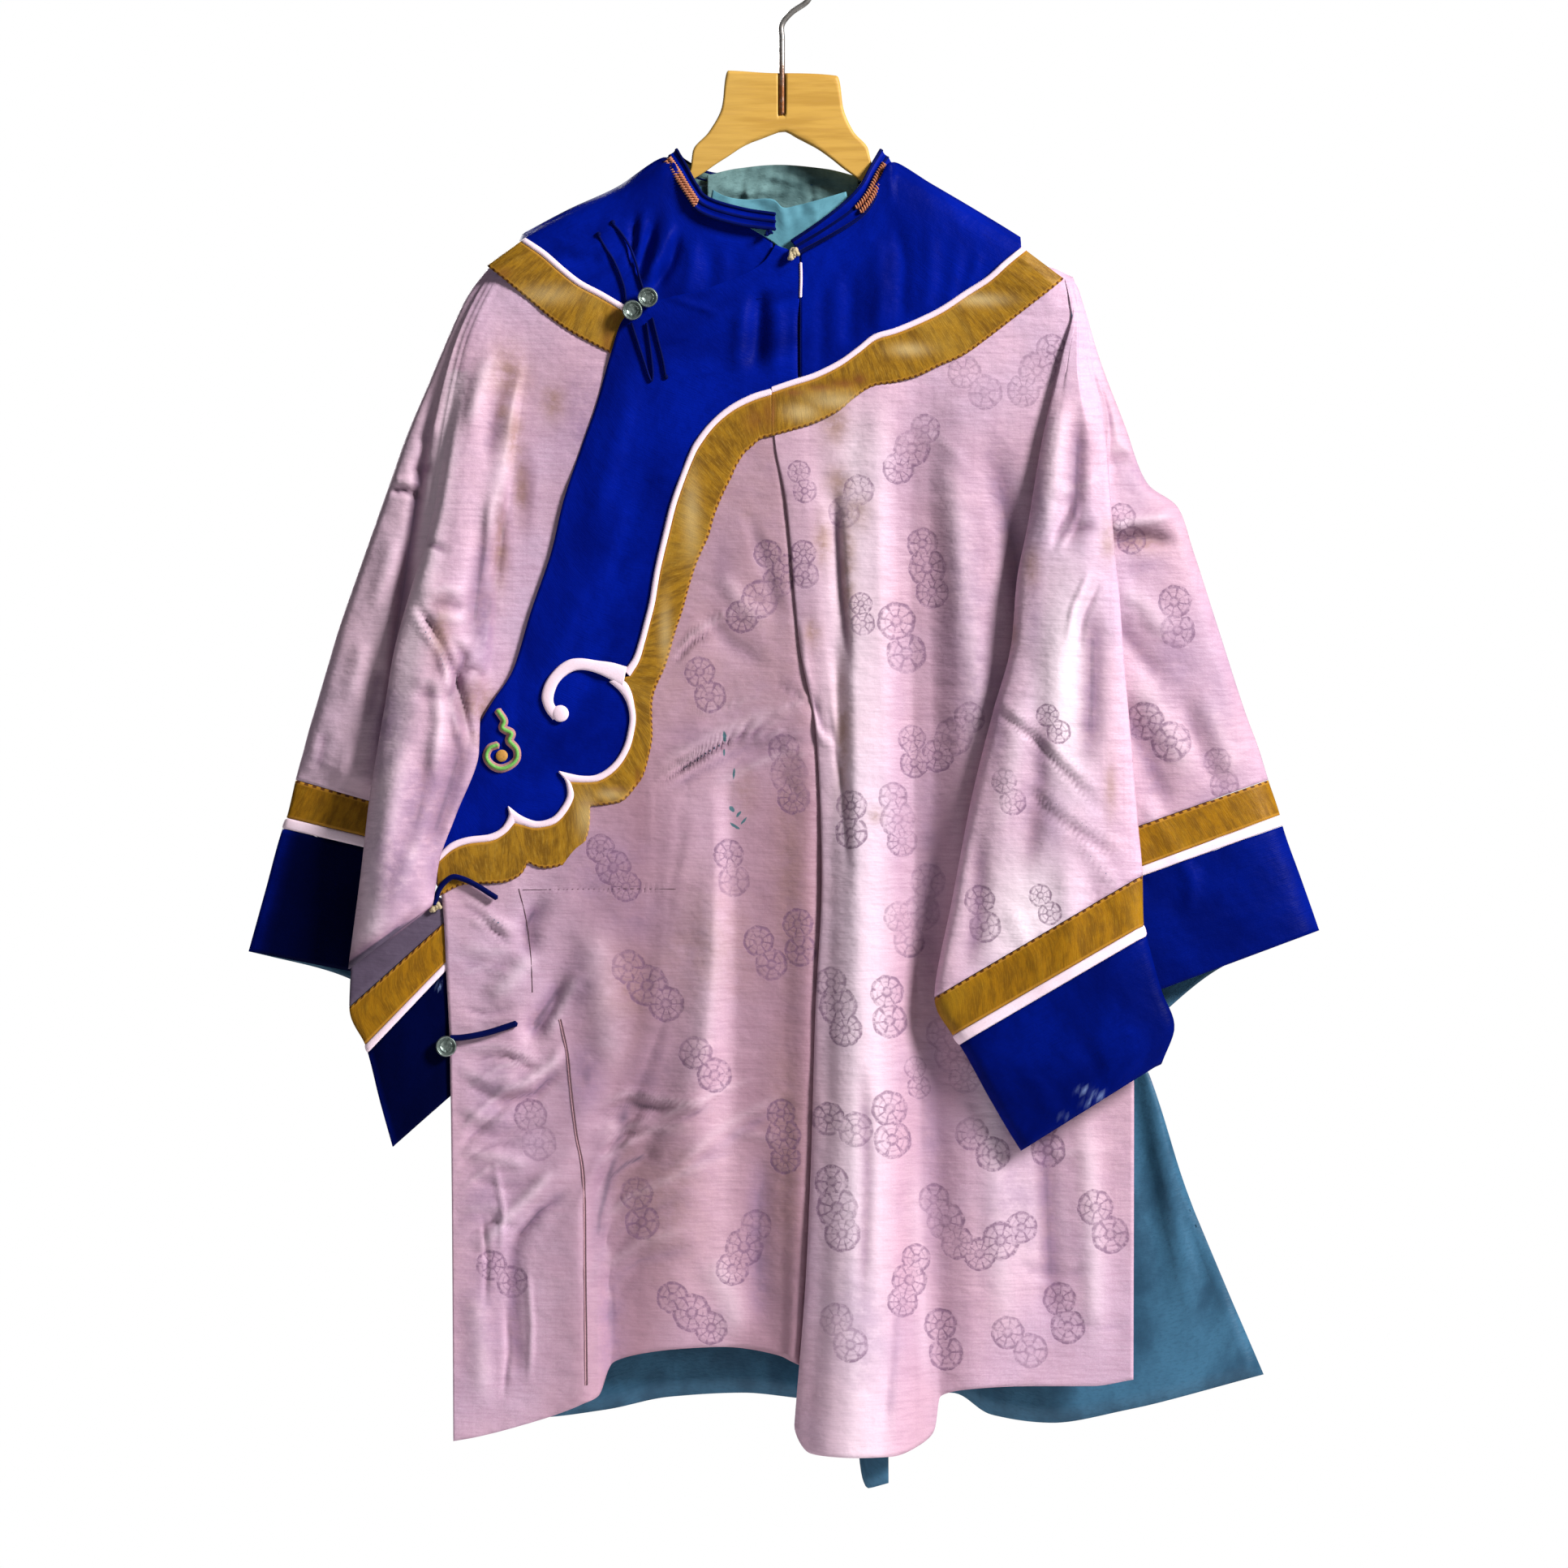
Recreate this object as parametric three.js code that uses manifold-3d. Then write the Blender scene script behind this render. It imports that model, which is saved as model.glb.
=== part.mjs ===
// A side-fastening, wide-sleeved silk robe hung flat on a wooden hanger.
// Millimetres, +Z up. The origin is the inner top of the hook, where a rail carries the hanger.
// The front faces -Y, the back faces +Y, and +X is the wearer's left side.
import * as THREE from 'three';
import Module from 'manifold-3d';
import { mergeVertices } from 'three/addons/utils/BufferGeometryUtils.js';

const wasm = await Module();
wasm.setup();

// ---------------------------------------------------------------- driving dimensions
const CLOTH = 1.2;            // wall of the silk panels
const TRIM = 1.0;             // wall of ribbon and piping
const FRONT_Y = -15.5;        // middle of the outer front panels
const UNDER_Y = -12.5;        // middle of the layer under the flap
const LINING_GAP = 1.7;       // back panel to lining, middle to middle
const TRIM_LIFT = 1.6;        // panel to the trim lying on it, middle to middle
const RIDGE_Y = 1.0;          // front and back panels stop this far from the shoulder ridge
const WOOD = 11;              // hanger thickness
const WIRE_R = 2.2;           // hook wire radius
const HOOK_R = 24.2;          // hook ring, to the wire's middle
const BUTTON_R = 7.75;
const PIPING = 4.3;           // width of the pink piping

const group = new THREE.Group();

const palette = {
  lilac: [0xd9b9cf, 0.55],
  blue: [0x0a1c8c, 0.4],
  gold: [0xa8842d, 0.6],
  pink: [0xf0d3e8, 0.6],
  teal: [0x3e7091, 0.6],
  neck: [0x6fa3a6, 0.7],
  copper: [0xb5654a, 0.6],
  navy: [0x0b1145, 0.6],
  wood: [0xebc47d, 0.5],
  wire: [0x6e6a66, 0.35],
  glass: [0x6f8580, 0.35],
  cream: [0xd9cba0, 0.5],
  green: [0x8fd35a, 0.7],
};

function add(name, geometry, colour) {
  const [hex, roughness] = palette[colour];
  const metalness = colour === 'wire' ? 0.9 : 0;
  const mesh = new THREE.Mesh(geometry, new THREE.MeshStandardMaterial({ color: hex, roughness, metalness }));
  mesh.name = name;
  group.add(mesh);
  return mesh;
}

// ---------------------------------------------------------------- small maths
const lerp = (a, b, t) => a + (b - a) * t;
const mix = (p, q, t) => p.map((value, i) => lerp(value, q[i], t));

// Value at `at` in rows of [key, value, ...], with keys in either order, held past the ends.
function lookUp(rows, at, column = 1) {
  const down = rows[0][0] > rows[rows.length - 1][0];
  const before = (row) => (down ? row[0] > at : row[0] < at);
  let i = 0;
  while (i < rows.length && before(rows[i])) i += 1;
  if (i === 0) return rows[0][column];
  if (i === rows.length) return rows[rows.length - 1][column];
  const t = (at - rows[i - 1][0]) / (rows[i][0] - rows[i - 1][0]);
  return lerp(rows[i - 1][column], rows[i][column], t);
}

// Point at fraction t along a polyline of [x, z], measured by length.
function along(path, t) {
  const steps = path.slice(1).map((p, i) => Math.hypot(p[0] - path[i][0], p[1] - path[i][1]));
  let left = t * steps.reduce((a, b) => a + b, 0);
  for (let i = 0; i < steps.length; i += 1) {
    if (left <= steps[i] || i === steps.length - 1) return mix(path[i], path[i + 1], left / steps[i]);
    left -= steps[i];
  }
  return path[path.length - 1];
}

// A polyline moved sideways, to its left as it runs, by `by`.
function beside(path, by) {
  return path.map((p, i) => {
    const a = path[Math.max(i - 1, 0)];
    const b = path[Math.min(i + 1, path.length - 1)];
    const length = Math.hypot(b[0] - a[0], b[1] - a[1]);
    return [p[0] - ((b[1] - a[1]) / length) * by, p[1] + ((b[0] - a[0]) / length) * by];
  });
}

// ---------------------------------------------------------------- cloth as a closed wall
// `rows` is a grid of [x, y, z] on the middle of the cloth. Both faces stand half the
// wall off it along the cloth's own normal, and four edge strips close it.
function clothWall(rows, wall = CLOTH) {
  const grid = rows.map((row) => row.map((p) => new THREE.Vector3(...p)));
  const m = grid.length;
  const n = grid[0].length;
  const normalAt = (i, j) => {
    const normal = new THREE.Vector3();
    for (const [di, dj] of [[0, 0], [0, -1], [-1, 0], [-1, -1]]) {
      const a = i + di;
      const b = j + dj;
      if (a < 0 || b < 0 || a >= m - 1 || b >= n - 1) continue;
      const acrossA = grid[a][b + 1].clone().sub(grid[a][b]);
      const acrossB = grid[a + 1][b + 1].clone().sub(grid[a + 1][b]);
      const downA = grid[a + 1][b].clone().sub(grid[a][b]);
      const downB = grid[a + 1][b + 1].clone().sub(grid[a][b + 1]);
      normal.add(acrossA.add(acrossB).cross(downA.add(downB)).normalize());
    }
    return normal.normalize();
  };
  const position = [];
  for (const side of [0.5, -0.5]) {
    for (let i = 0; i < m; i += 1) {
      for (let j = 0; j < n; j += 1) {
        const p = grid[i][j].clone().addScaledVector(normalAt(i, j), side * wall);
        position.push(p.x, p.y, p.z);
      }
    }
  }
  const at = (side, i, j) => side * m * n + i * n + j;
  const index = [];
  const quad = (a, b, c, d) => index.push(a, b, c, a, c, d);
  for (let i = 0; i < m - 1; i += 1) {
    for (let j = 0; j < n - 1; j += 1) {
      const corners = [[i, j], [i, j + 1], [i + 1, j + 1], [i + 1, j]];
      const top = corners.map(([a, b]) => at(0, a, b));
      const under = corners.map(([a, b]) => at(1, a, b));
      quad(...top);
      index.push(under[0], under[2], under[1], under[0], under[3], under[2]);
    }
  }
  const strip = (a, b) => quad(at(0, ...a), at(1, ...a), at(1, ...b), at(0, ...b));
  for (let j = 0; j < n - 1; j += 1) {
    strip([0, j], [0, j + 1]);
    strip([m - 1, j + 1], [m - 1, j]);
  }
  for (let i = 0; i < m - 1; i += 1) {
    strip([i + 1, 0], [i, 0]);
    strip([i, n - 1], [i + 1, n - 1]);
  }
  const geometry = new THREE.BufferGeometry();
  geometry.setAttribute('position', new THREE.Float32BufferAttribute(position, 3));
  geometry.setIndex(index);
  if (signedVolume(geometry) < 0) geometry.setIndex(index.slice().reverse());
  return geometry;
}

function signedVolume(geometry) {
  const p = geometry.getAttribute('position');
  const index = geometry.getIndex().array;
  const [a, b, c] = [new THREE.Vector3(), new THREE.Vector3(), new THREE.Vector3()];
  let sum = 0;
  for (let i = 0; i < index.length; i += 3) {
    a.fromBufferAttribute(p, index[i]);
    b.fromBufferAttribute(p, index[i + 1]);
    c.fromBufferAttribute(p, index[i + 2]);
    sum += a.dot(b.cross(c));
  }
  return sum / 6;
}

// Rails run down a panel, each a table of [z, x, y] from its top to its hem.
// Every level cuts each rail at the same share of that rail's own height.
function railGrid(rails, levels) {
  return levels.map((level) => rails.map((rail) => {
    const z = lerp(rail[0][0], rail[rail.length - 1][0], level);
    return [lookUp(rail, z, 1), lookUp(rail, z, 2), z];
  }));
}

const evenly = (count) => Array.from({ length: count + 1 }, (_, i) => i / count);

// ---------------------------------------------------------------- outlines, seen from the front, as [x, z]
const shoulderLeft = [[84, -164], [133, -192], [184, -222], [216, -249]];
const shoulderRight = [[-226, -238], [-195, -215.5], [-164, -200], [-127, -183], [-90, -160]];

// How far forward the cloth stands at a depth below the shoulder ridge.
const shoulderRoll = [[0, RIDGE_Y], [3, 8.5], [14, 13.2], [30, 15.5]];
const rollAt = (below, full) => Math.min(lookUp(shoulderRoll, below), full);

// ---------------------------------------------------------------- outer front, wearer's left half
// A rail is [z, x, y]. The seam is tucked behind a fold; the rounded fold beside it grows to the hem.
const frontLeftRails = [
  [[-353, 2, -13.5], [-417, 11, -12.5], [-530, 25, -12], [-601, 38, -12], [-811, 39, -11.5], [-1009, 33, -11.5],
    [-1086, 27, -11.5]],
  [[-353, -8, -15.8], [-376, -6, -16], [-417, 2, -18], [-530, 13, -19], [-601, 26, -20], [-707, 30, -21], [-811, 25, -22],
    [-915, 22, -24], [-1009, 18, -27], [-1126, 9, -29]],
  [[-350, 6, -15.5], [-376, 10, -15.5], [-417, 16, -20], [-530, 30, -21], [-601, 38, -22], [-811, 38, -26], [-1009, 33, -35],
    [-1147, 20, -39]],
  [[-342, 24, -15.5], [-376, 29, -15.5], [-417, 34, -18], [-530, 42, -19], [-700, 47, -23], [-905, 46, -31], [-1150, 36, -47]],
  [[-328, 50, -15.5], [-370, 51, -15.5], [-434, 52, -19], [-560, 56, -24], [-700, 58, -31], [-905, 60, -39], [-1151, 55, -52]],
  [[-312, 72, -15.5], [-350, 72, -15.5], [-434, 72, -20], [-560, 74, -26], [-700, 78, -34], [-905, 82, -42], [-1150, 82, -54]],
  [[-307, 92, -15.5], [-345, 91, -15.5], [-434, 88, -19], [-560, 92, -22], [-700, 94, -29], [-905, 98, -36], [-1141, 104, -46]],
  [[-304, 104, -15.5], [-434, 98, -16.5], [-560, 98.5, -18], [-707, 101, -22], [-895, 105, -27], [-1009, 107, -30],
    [-1130, 115, -34]],
  [[-302, 112, -15.5], [-434, 105, -15], [-560, 102, -14.5], [-707, 99, -14], [-905, 99, -14], [-1104, 106, -14]],
  [[-286, 138, -15.5], [-434, 138, -15.5], [-700, 140, -15.5], [-1098, 140, -16]],
  [[-262, 172, -15.5], [-434, 178, -15.5], [-700, 182, -15.5], [-1096, 190, -17]],
  [[-241, 200, -9.6], [-250, 200, -13.2], [-266, 201, -15.5], [-434, 222, -15.5], [-700, 232, -15.5], [-1096, 236, -17]],
  [[-252, 216.2, -8.5], [-263, 217, -13.2], [-279, 216.5, -15.5], [-400, 233.5, -15.5], [-545, 245, -15.5], [-745, 255, -15.5],
    [-832, 260, -16], [-864, 268, -16.5], [-1091, 267.5, -18]],
];
const frontLevels = [0, 0.03, 0.08, 0.16, 0.24, 0.32, 0.4, 0.49, 0.58, 0.67, 0.76, 0.85, 0.93, 1];
add('front_left', clothWall(railGrid(frontLeftRails, frontLevels)), 'lilac');

// ---------------------------------------------------------------- outer front, wearer's right half, below the flap
const frontRightRails = [
  [[-353, -3, -13.5], [-417, 6.5, -12.5], [-530, 20.5, -12], [-601, 33.5, -12], [-811, 34.5, -11.5],
    [-1009, 28.5, -11.5], [-1084, 22.5, -11.5]],
  [[-366, -34, -15], [-434, -25, -15], [-601, -5, -14], [-811, 0, -13], [-1009, 0, -12], [-1073, 3, -12]],
  [[-401, -61, -15.5], [-601, -40, -14], [-811, -35, -12], [-1066, -45, -9]],
  [[-445, -79, -15.5], [-601, -62, -15], [-811, -66, -12], [-1068, -84, -9]],
  [[-496, -94.5, -15.5], [-640, -76, -15], [-800, -82, -12], [-967, -136, -10], [-1078, -136, -10]],
  [[-546, -106.4, -15.5], [-640, -96, -15.5], [-700, -92, -17], [-800, -94, -19], [-967, -146, -22], [-1104, -142, -24]],
  [[-592, -107.4, -15.5], [-640, -104, -15.5], [-700, -102, -18], [-800, -108, -21], [-967, -160, -24], [-1110, -154, -27]],
  [[-633, -122.5, -15.5], [-670, -125, -15.5], [-800, -135, -20], [-967, -178, -22], [-1118, -174, -25]],
  [[-659.5, -159.5, -15.5], [-710, -160, -15.5], [-800, -170, -18], [-967, -200, -20], [-1126, -200, -22]],
  [[-685.5, -191, -15.5], [-725, -193, -15.5], [-800, -200, -17], [-967, -222, -18], [-1132, -222, -19]],
  [[-694.5, -228, -15.5], [-730, -229, -15.5], [-800, -232, -16], [-967, -240, -17], [-1136, -240, -18]],
  [[-706, -266, -15.5], [-714, -264, -15.5], [-722, -259.5, -15.5], [-789, -257, -15.5], [-828, -255, -15.5],
    [-967, -253, -16], [-1138, -252, -17]],
];
add('front_right', clothWall(railGrid(frontRightRails, [0, 0.04, ...evenly(11).slice(1)])), 'lilac');

// ---------------------------------------------------------------- satin yoke and flap
// The left yoke hangs from the neck and shoulder down to the join.
const yokeLeftTop = [
  [13, -233], [38, -219.5], [62, -205], [80, -178], [88, -171], [112, -184], [140, -200], [170, -217.5], [190, -230],
];
const yokeLeftFoot = [
  [13, -345], [42, -332], [69, -312], [86, -307.5], [102, -303], [120, -293.5], [138, -284], [165, -265], [190, -246],
];
const neckHalfWidth = 84;

function yokeGrid(top, foot, shoulder, full, shares) {
  return shares.map((share) => top.map((start, j) => {
    const [x, z] = mix(start, foot[j], share);
    const ridge = lookUp(shoulder, x);
    const below = Math.abs(x) < neckHalfWidth ? 60 : Math.max(ridge - z, 0);
    return [x, -rollAt(below, -full), z];
  }));
}
const yokeShares = [0, 0.12, 0.3, 0.5, 0.75, 1];
add('yoke_left', clothWall(yokeGrid(yokeLeftTop, yokeLeftFoot, shoulderLeft, FRONT_Y, yokeShares)), 'blue');

const yokeRightTop = [
  [-8, -216], [-36, -211.5], [-64, -203.5], [-80, -187], [-95, -166], [-127, -184.5], [-164, -201.5], [-198, -219.5],
];
const yokeRightFoot = [
  [-8, -262], [-50, -276], [-88, -286], [-106, -289], [-124, -290], [-142, -281], [-175, -260], [-206, -234],
];
const yokeRight = yokeGrid(yokeRightTop, yokeRightFoot, shoulderRight, UNDER_Y, yokeShares);
add('yoke_right', clothWall(yokeRight), 'blue');

// The flap crosses from the centre front to the wearer's right underarm.
// Each row runs from [x, z] on its free edge to [x, z] on the centre seam or the join.
const flapRows = [
  [[-6, -224], [12.4, -231]],
  [[-27, -245], [12.4, -258]],
  [[-61, -258], [12.4, -295]],
  [[-94, -266], [12.4, -345]],
  [[-112, -272], [-8, -352]],
  [[-123, -282], [-34, -364]],
  [[-132, -308], [-50, -384]],
  [[-143, -347], [-62, -400]],
  [[-155, -381], [-72, -424]],
  [[-168, -420], [-80, -444]],
  [[-177, -458], [-96, -495]],
  [[-193, -505], [-104, -528]],
  [[-206, -550], [-108, -545]],
  [[-217, -573], [-109, -592]],
  [[-226, -595], [-118, -620]],
  [[-238, -618], [-124, -632]],
  [[-245, -635], [-142, -645]],
  [[-257, -665], [-160, -658]],
  [[-264, -680], [-192, -684]],
  [[-267, -692], [-228, -693]],
];
const flapGrid = flapRows.map(([free, join]) => evenly(5).map((t) => {
  const [x, z] = mix(free, join, t);
  return [x, FRONT_Y, z];
}));
add('flap', clothWall(flapGrid), 'blue');

// ---------------------------------------------------------------- ribbon and piping along the joins
// Blue edge and outer edge of each border, as [x, z], running from the shoulder inwards.
const borderLeft = {
  inner: [[182, -226], [155, -249], [138, -260], [120, -272], [102, -281], [77, -290], [56, -303], [42, -313],
    [24, -322], [7, -328], [-6, -333]],
  outer: [[214, -251], [190, -269], [172, -283], [155, -296], [138, -308], [102, -325], [68, -332], [54, -341],
    [42, -351], [24, -360], [-6, -369]],
};
const borderUnder = {
  inner: [[-197, -219], [-182, -229], [-167, -242], [-154, -252], [-138, -262], [-128, -267]],
  outer: [[-224, -240], [-211, -252], [-193, -267], [-176, -281], [-157, -294], [-138, -304]],
};
const borderFlap = {
  inner: [[-10, -335], [-25, -340], [-42, -348], [-56, -360], [-67, -374], [-79, -402], [-91, -442], [-102, -496],
    [-110, -527], [-120, -548], [-119, -577], [-118, -592], [-122, -607], [-130, -620], [-142, -629], [-168, -628],
    [-166, -645], [-177, -662], [-189, -665], [-207, -656], [-211, -664], [-224, -675], [-242, -677], [-263, -690]],
  outer: [[-10, -370], [-24, -376], [-36, -390], [-44, -408], [-50, -421], [-57, -446], [-67, -469], [-78, -505],
    [-88, -536], [-95, -557], [-100, -574], [-100, -600], [-103, -615], [-107, -629], [-123, -649], [-140, -653],
    [-148, -668], [-158, -690], [-180, -698], [-198, -698], [-212, -707], [-230, -712], [-247, -713], [-263, -721]],
};

function bandGrid(from, to, depth, steps) {
  return evenly(steps).map((t) => {
    const a = along(from, t);
    const b = along(to, t);
    return evenly(2).map((s) => {
      const [x, z] = mix(a, b, s);
      return [x, depth(x, z), z];
    });
  });
}

// Piping takes the first PIPING millimetres of a border, the ribbon the rest.
function addBorder(name, border, depth) {
  const count = border.inner.length;
  const share = (i, width) => {
    const [a, b] = [border.inner[i], border.outer[i]];
    return mix(a, b, width / Math.hypot(b[0] - a[0], b[1] - a[1]));
  };
  const rows = (near, far) => Array.from({ length: count }, (_, i) => {
    const a = share(i, near);
    const b = far === null ? border.outer[i] : share(i, far);
    return evenly(far === null ? 2 : 1).map((s) => {
      const [x, z] = mix(a, b, s);
      return [x, depth(x, z), z];
    });
  });
  add(`${name}_piping`, clothWall(rows(0, PIPING), TRIM), 'pink');
  add(`${name}_ribbon`, clothWall(rows(PIPING + 0.4, null), TRIM), 'gold');
}
// Trim stands a little further off where the cloth rolls over the shoulder.
function onShoulder(shoulder, full, lift, extra) {
  return (x, z) => {
    const below = Math.max(lookUp(shoulder, x) - z, 0);
    return -rollAt(below, full) - lift - extra * Math.max(1 - below / 60, 0);
  };
}
const onLeft = onShoulder(shoulderLeft, -FRONT_Y, TRIM_LIFT, 4);
const onUnder = onShoulder(shoulderRight, -UNDER_Y, 1.15, 3);
addBorder('border_left', borderLeft, onLeft);
addBorder('border_under', borderUnder, onUnder);
addBorder('border_flap', borderFlap, () => FRONT_Y - TRIM_LIFT);

// ---------------------------------------------------------------- sleeves
// A sleeve is one cloth folded over its top edge `a`. Going round it from the back: `f` is
// the back armhole edge, `a` the outer edge, `b` the valley tucked behind the front fold,
// `c` the front fold's outer edge, `d` its inner edge, and `e` the front armhole edge.
// Points are [x, y, z]; `a` is [x, z] at y 0. `front`, `rear` and `turn` are the depths of the
// front fold's face, of the back layer and of the layer returning behind the front fold.
// `rise` lifts the middle of the back layer, so that its mouth follows the front one's.
const leftSleeve = [
  { a: [240, -308], b: [234, -12, -311], c: [230, -15.5, -312], front: -22, d: [213, -20.6, -310], turn: -18.6,
    e: [227, -17, -312], f: [226, 12.5, -312], rear: 13 },
  { a: [260, -361], b: [244, -17, -364], c: [245, -21, -366], front: -28, d: [198, -24, -375], turn: -19.5,
    e: [233, -17.5, -365], f: [233, 12.5, -365], rear: 14 },
  { a: [278, -407], b: [237, -25, -418], c: [250, -30, -422], front: -37, d: [187, -27, -440], turn: -20,
    e: [239, -17.5, -420], f: [239, 12.5, -420], rear: 14 },
  { a: [301, -425], b: [229, -28, -446], c: [253, -35, -459], front: -43, d: [179, -29, -480], turn: -20.5,
    e: [241, -17.5, -455], f: [242, 12.5, -455], rear: 14 },
  { a: [313, -459], b: [225, -29, -477], c: [256, -36, -487], front: -46, d: [175, -30, -527], turn: -20.5,
    e: [245, -14, -500], f: [245, 11, -495], rear: 14 },
  { a: [332, -518], b: [224, -29, -538], c: [260, -36, -542], front: -47, d: [161, -30, -580], turn: -20.5,
    e: [252, -1, -548], f: [252, 1, -545], rear: 14 },
  { a: [353, -583], b: [228, -29, -608], c: [266, -36, -610], front: -48, d: [145, -30, -644], turn: -20.5,
    e: [255, -1, -614], f: [255, 1, -612], rear: 14, rise: 5 },
  { a: [363, -610], b: [228, -29, -650], c: [270, -36, -660], front: -48, d: [130, -30, -722], turn: -20.5,
    e: [257, -1, -658], f: [257, 1, -656], rear: 14, rise: 10 },
  { a: [370, -633], b: [228, -29, -684], c: [274, -36, -706], front: -47, d: [116, -30, -799], turn: -20.5,
    e: [260, -1, -708], f: [260, 1, -706], rear: 14, rise: 15 },
  { a: [379, -660], b: [236, -29, -713], c: [275, -36, -744], front: -47, d: [130, -30, -828], turn: -20.5,
    e: [262, -1, -738], f: [262, 1, -736], rear: 14, rise: 15 },
  { a: [381, -668], b: [239, -29, -719], c: [277, -36, -752], front: -47, d: [135, -30, -835], turn: -20.5,
    e: [262, -1, -745], f: [262, 1, -743], rear: 14, rise: 15 },
  { a: [395, -708], b: [253, -29, -760], c: [289, -36, -795], front: -46, d: [158, -30, -876], turn: -20.5,
    e: [266, -1, -790], f: [266, 1, -788], rear: 14, rise: 15 },
  { a: [409, -748], b: [267, -29, -801], c: [297, -36, -838], front: -45, d: [182, -30, -916], turn: -20.5,
    e: [268, -1, -832], f: [268, 1, -830], rear: 14, rise: 15 },
];
const rightSleeve = [
  { a: [-217, -233], b: [-214, -7, -235], c: [-211, -9.5, -237], front: -12.5, d: [-168, -12.5, -270], turn: -12.5,
    e: [-125, -12.5, -294], f: [-219, 3, -236], rear: 2.5 },
  { a: [-240, -262], b: [-233, -10, -266], c: [-228, -13, -268], front: -12.9, d: [-190, -12.5, -291], turn: -12.5,
    e: [-130, -12.5, -318], f: [-221, 12.5, -266], rear: 11 },
  { a: [-255, -293], b: [-247, -12, -298], c: [-241, -15, -300], front: -16, d: [-197, -13, -322], turn: -12.5,
    e: [-137, -12.5, -345], f: [-226, 12.5, -300], rear: 13 },
  { a: [-270, -329], b: [-256, -13, -335], c: [-250, -15.5, -338], front: -23, d: [-203, -13.5, -362], turn: -12.5,
    e: [-148, -12.5, -385], f: [-233, 12.5, -340], rear: 14 },
  { a: [-288, -372], b: [-264, -14, -383], c: [-259, -17, -386], front: -26, d: [-208, -13.5, -408], turn: -12.5,
    e: [-160, -12.5, -428], f: [-239, 12.5, -390], rear: 14 },
  { a: [-301, -409], b: [-268, -15, -428], c: [-267, -19, -432], front: -29, d: [-212, -14, -455], turn: -12.5,
    e: [-172, -12.5, -472], f: [-243, 12.5, -430], rear: 14 },
  { a: [-320, -463], b: [-272, -16, -480], c: [-283, -22, -484], front: -32, d: [-218, -14.5, -505], turn: -12.5,
    e: [-186, -12.5, -520], f: [-247, 12.5, -480], rear: 14 },
  { a: [-340, -521], b: [-276, -18, -538], c: [-298, -26, -540], front: -37, d: [-225, -16, -556], turn: -12.7,
    e: [-205, -12.5, -566], f: [-250, 12.5, -540], rear: 14 },
  { a: [-348, -548], b: [-277, -19, -566], c: [-303, -28, -571], front: -40, d: [-232, -21, -586], turn: -12,
    e: [-233, -6, -590], f: [-250, 8, -580], rear: 14 },
  { a: [-355, -572], b: [-278, -21, -600], c: [-309, -30, -606], front: -43, d: [-233, -27, -612], turn: -20.7,
    e: [-248, -1, -618], f: [-248, 1, -616], rear: 14 },
  { a: [-361, -592], b: [-279, -22, -640], c: [-316, -31, -650], front: -45, d: [-251, -27, -661], turn: -20.7,
    e: [-264, -1, -665], f: [-264, 1, -663], rear: 14 },
  { a: [-364, -603], b: [-280, -22, -650], c: [-322, -32, -702], front: -46, d: [-264, -27, -694], turn: -20.7,
    e: [-277, -1, -697], f: [-277, 1, -695], rear: 14 },
  { a: [-366, -611], b: [-281, -21, -655], c: [-332, -32, -778], front: -43, d: [-272, -27, -729], turn: -21,
    e: [-278, -1, -725], f: [-277, 1, -723], rear: 14, rise: 4 },
  { a: [-368, -618], b: [-282, -16, -656], c: [-329, -22, -762], front: -24, d: [-276, -18, -720], turn: -12,
    e: [-270, 0, -726], f: [-269, 2, -724], rear: 14, rise: 8 },
  { a: [-372, -633], b: [-285, -8, -658], c: [-331, -15, -806], front: -17, d: [-248, -6, -732], turn: -2,
    e: [-258, 3, -735], f: [-258, 5, -733], rear: 13, rise: 4 },
  { a: [-379, -662], b: [-287, -8, -684], c: [-319, -15, -835], front: -17, d: [-247, -7, -761], turn: -2,
    e: [-258, 3, -762], f: [-258, 5, -760], rear: 13, rise: 9 },
  { a: [-382, -670], b: [-288, -8, -692], c: [-317, -15, -841], front: -17, d: [-247, -7, -767], turn: -2,
    e: [-258, 3, -768], f: [-258, 5, -766], rear: 13, rise: 10 },
  { a: [-395, -717], b: [-291, -8, -739], c: [-308, -15, -877], front: -17, d: [-247, -7, -818], turn: -2,
    e: [-258, 3, -812], f: [-258, 5, -810], rear: 13, rise: 20 },
  { a: [-408, -764], b: [-295, -8, -786], c: [-298, -15, -913], front: -17, d: [-247, -7, -868], turn: -2,
    e: [-258, 3, -858], f: [-258, 5, -856], rear: 13, rise: 26 },
];

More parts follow.
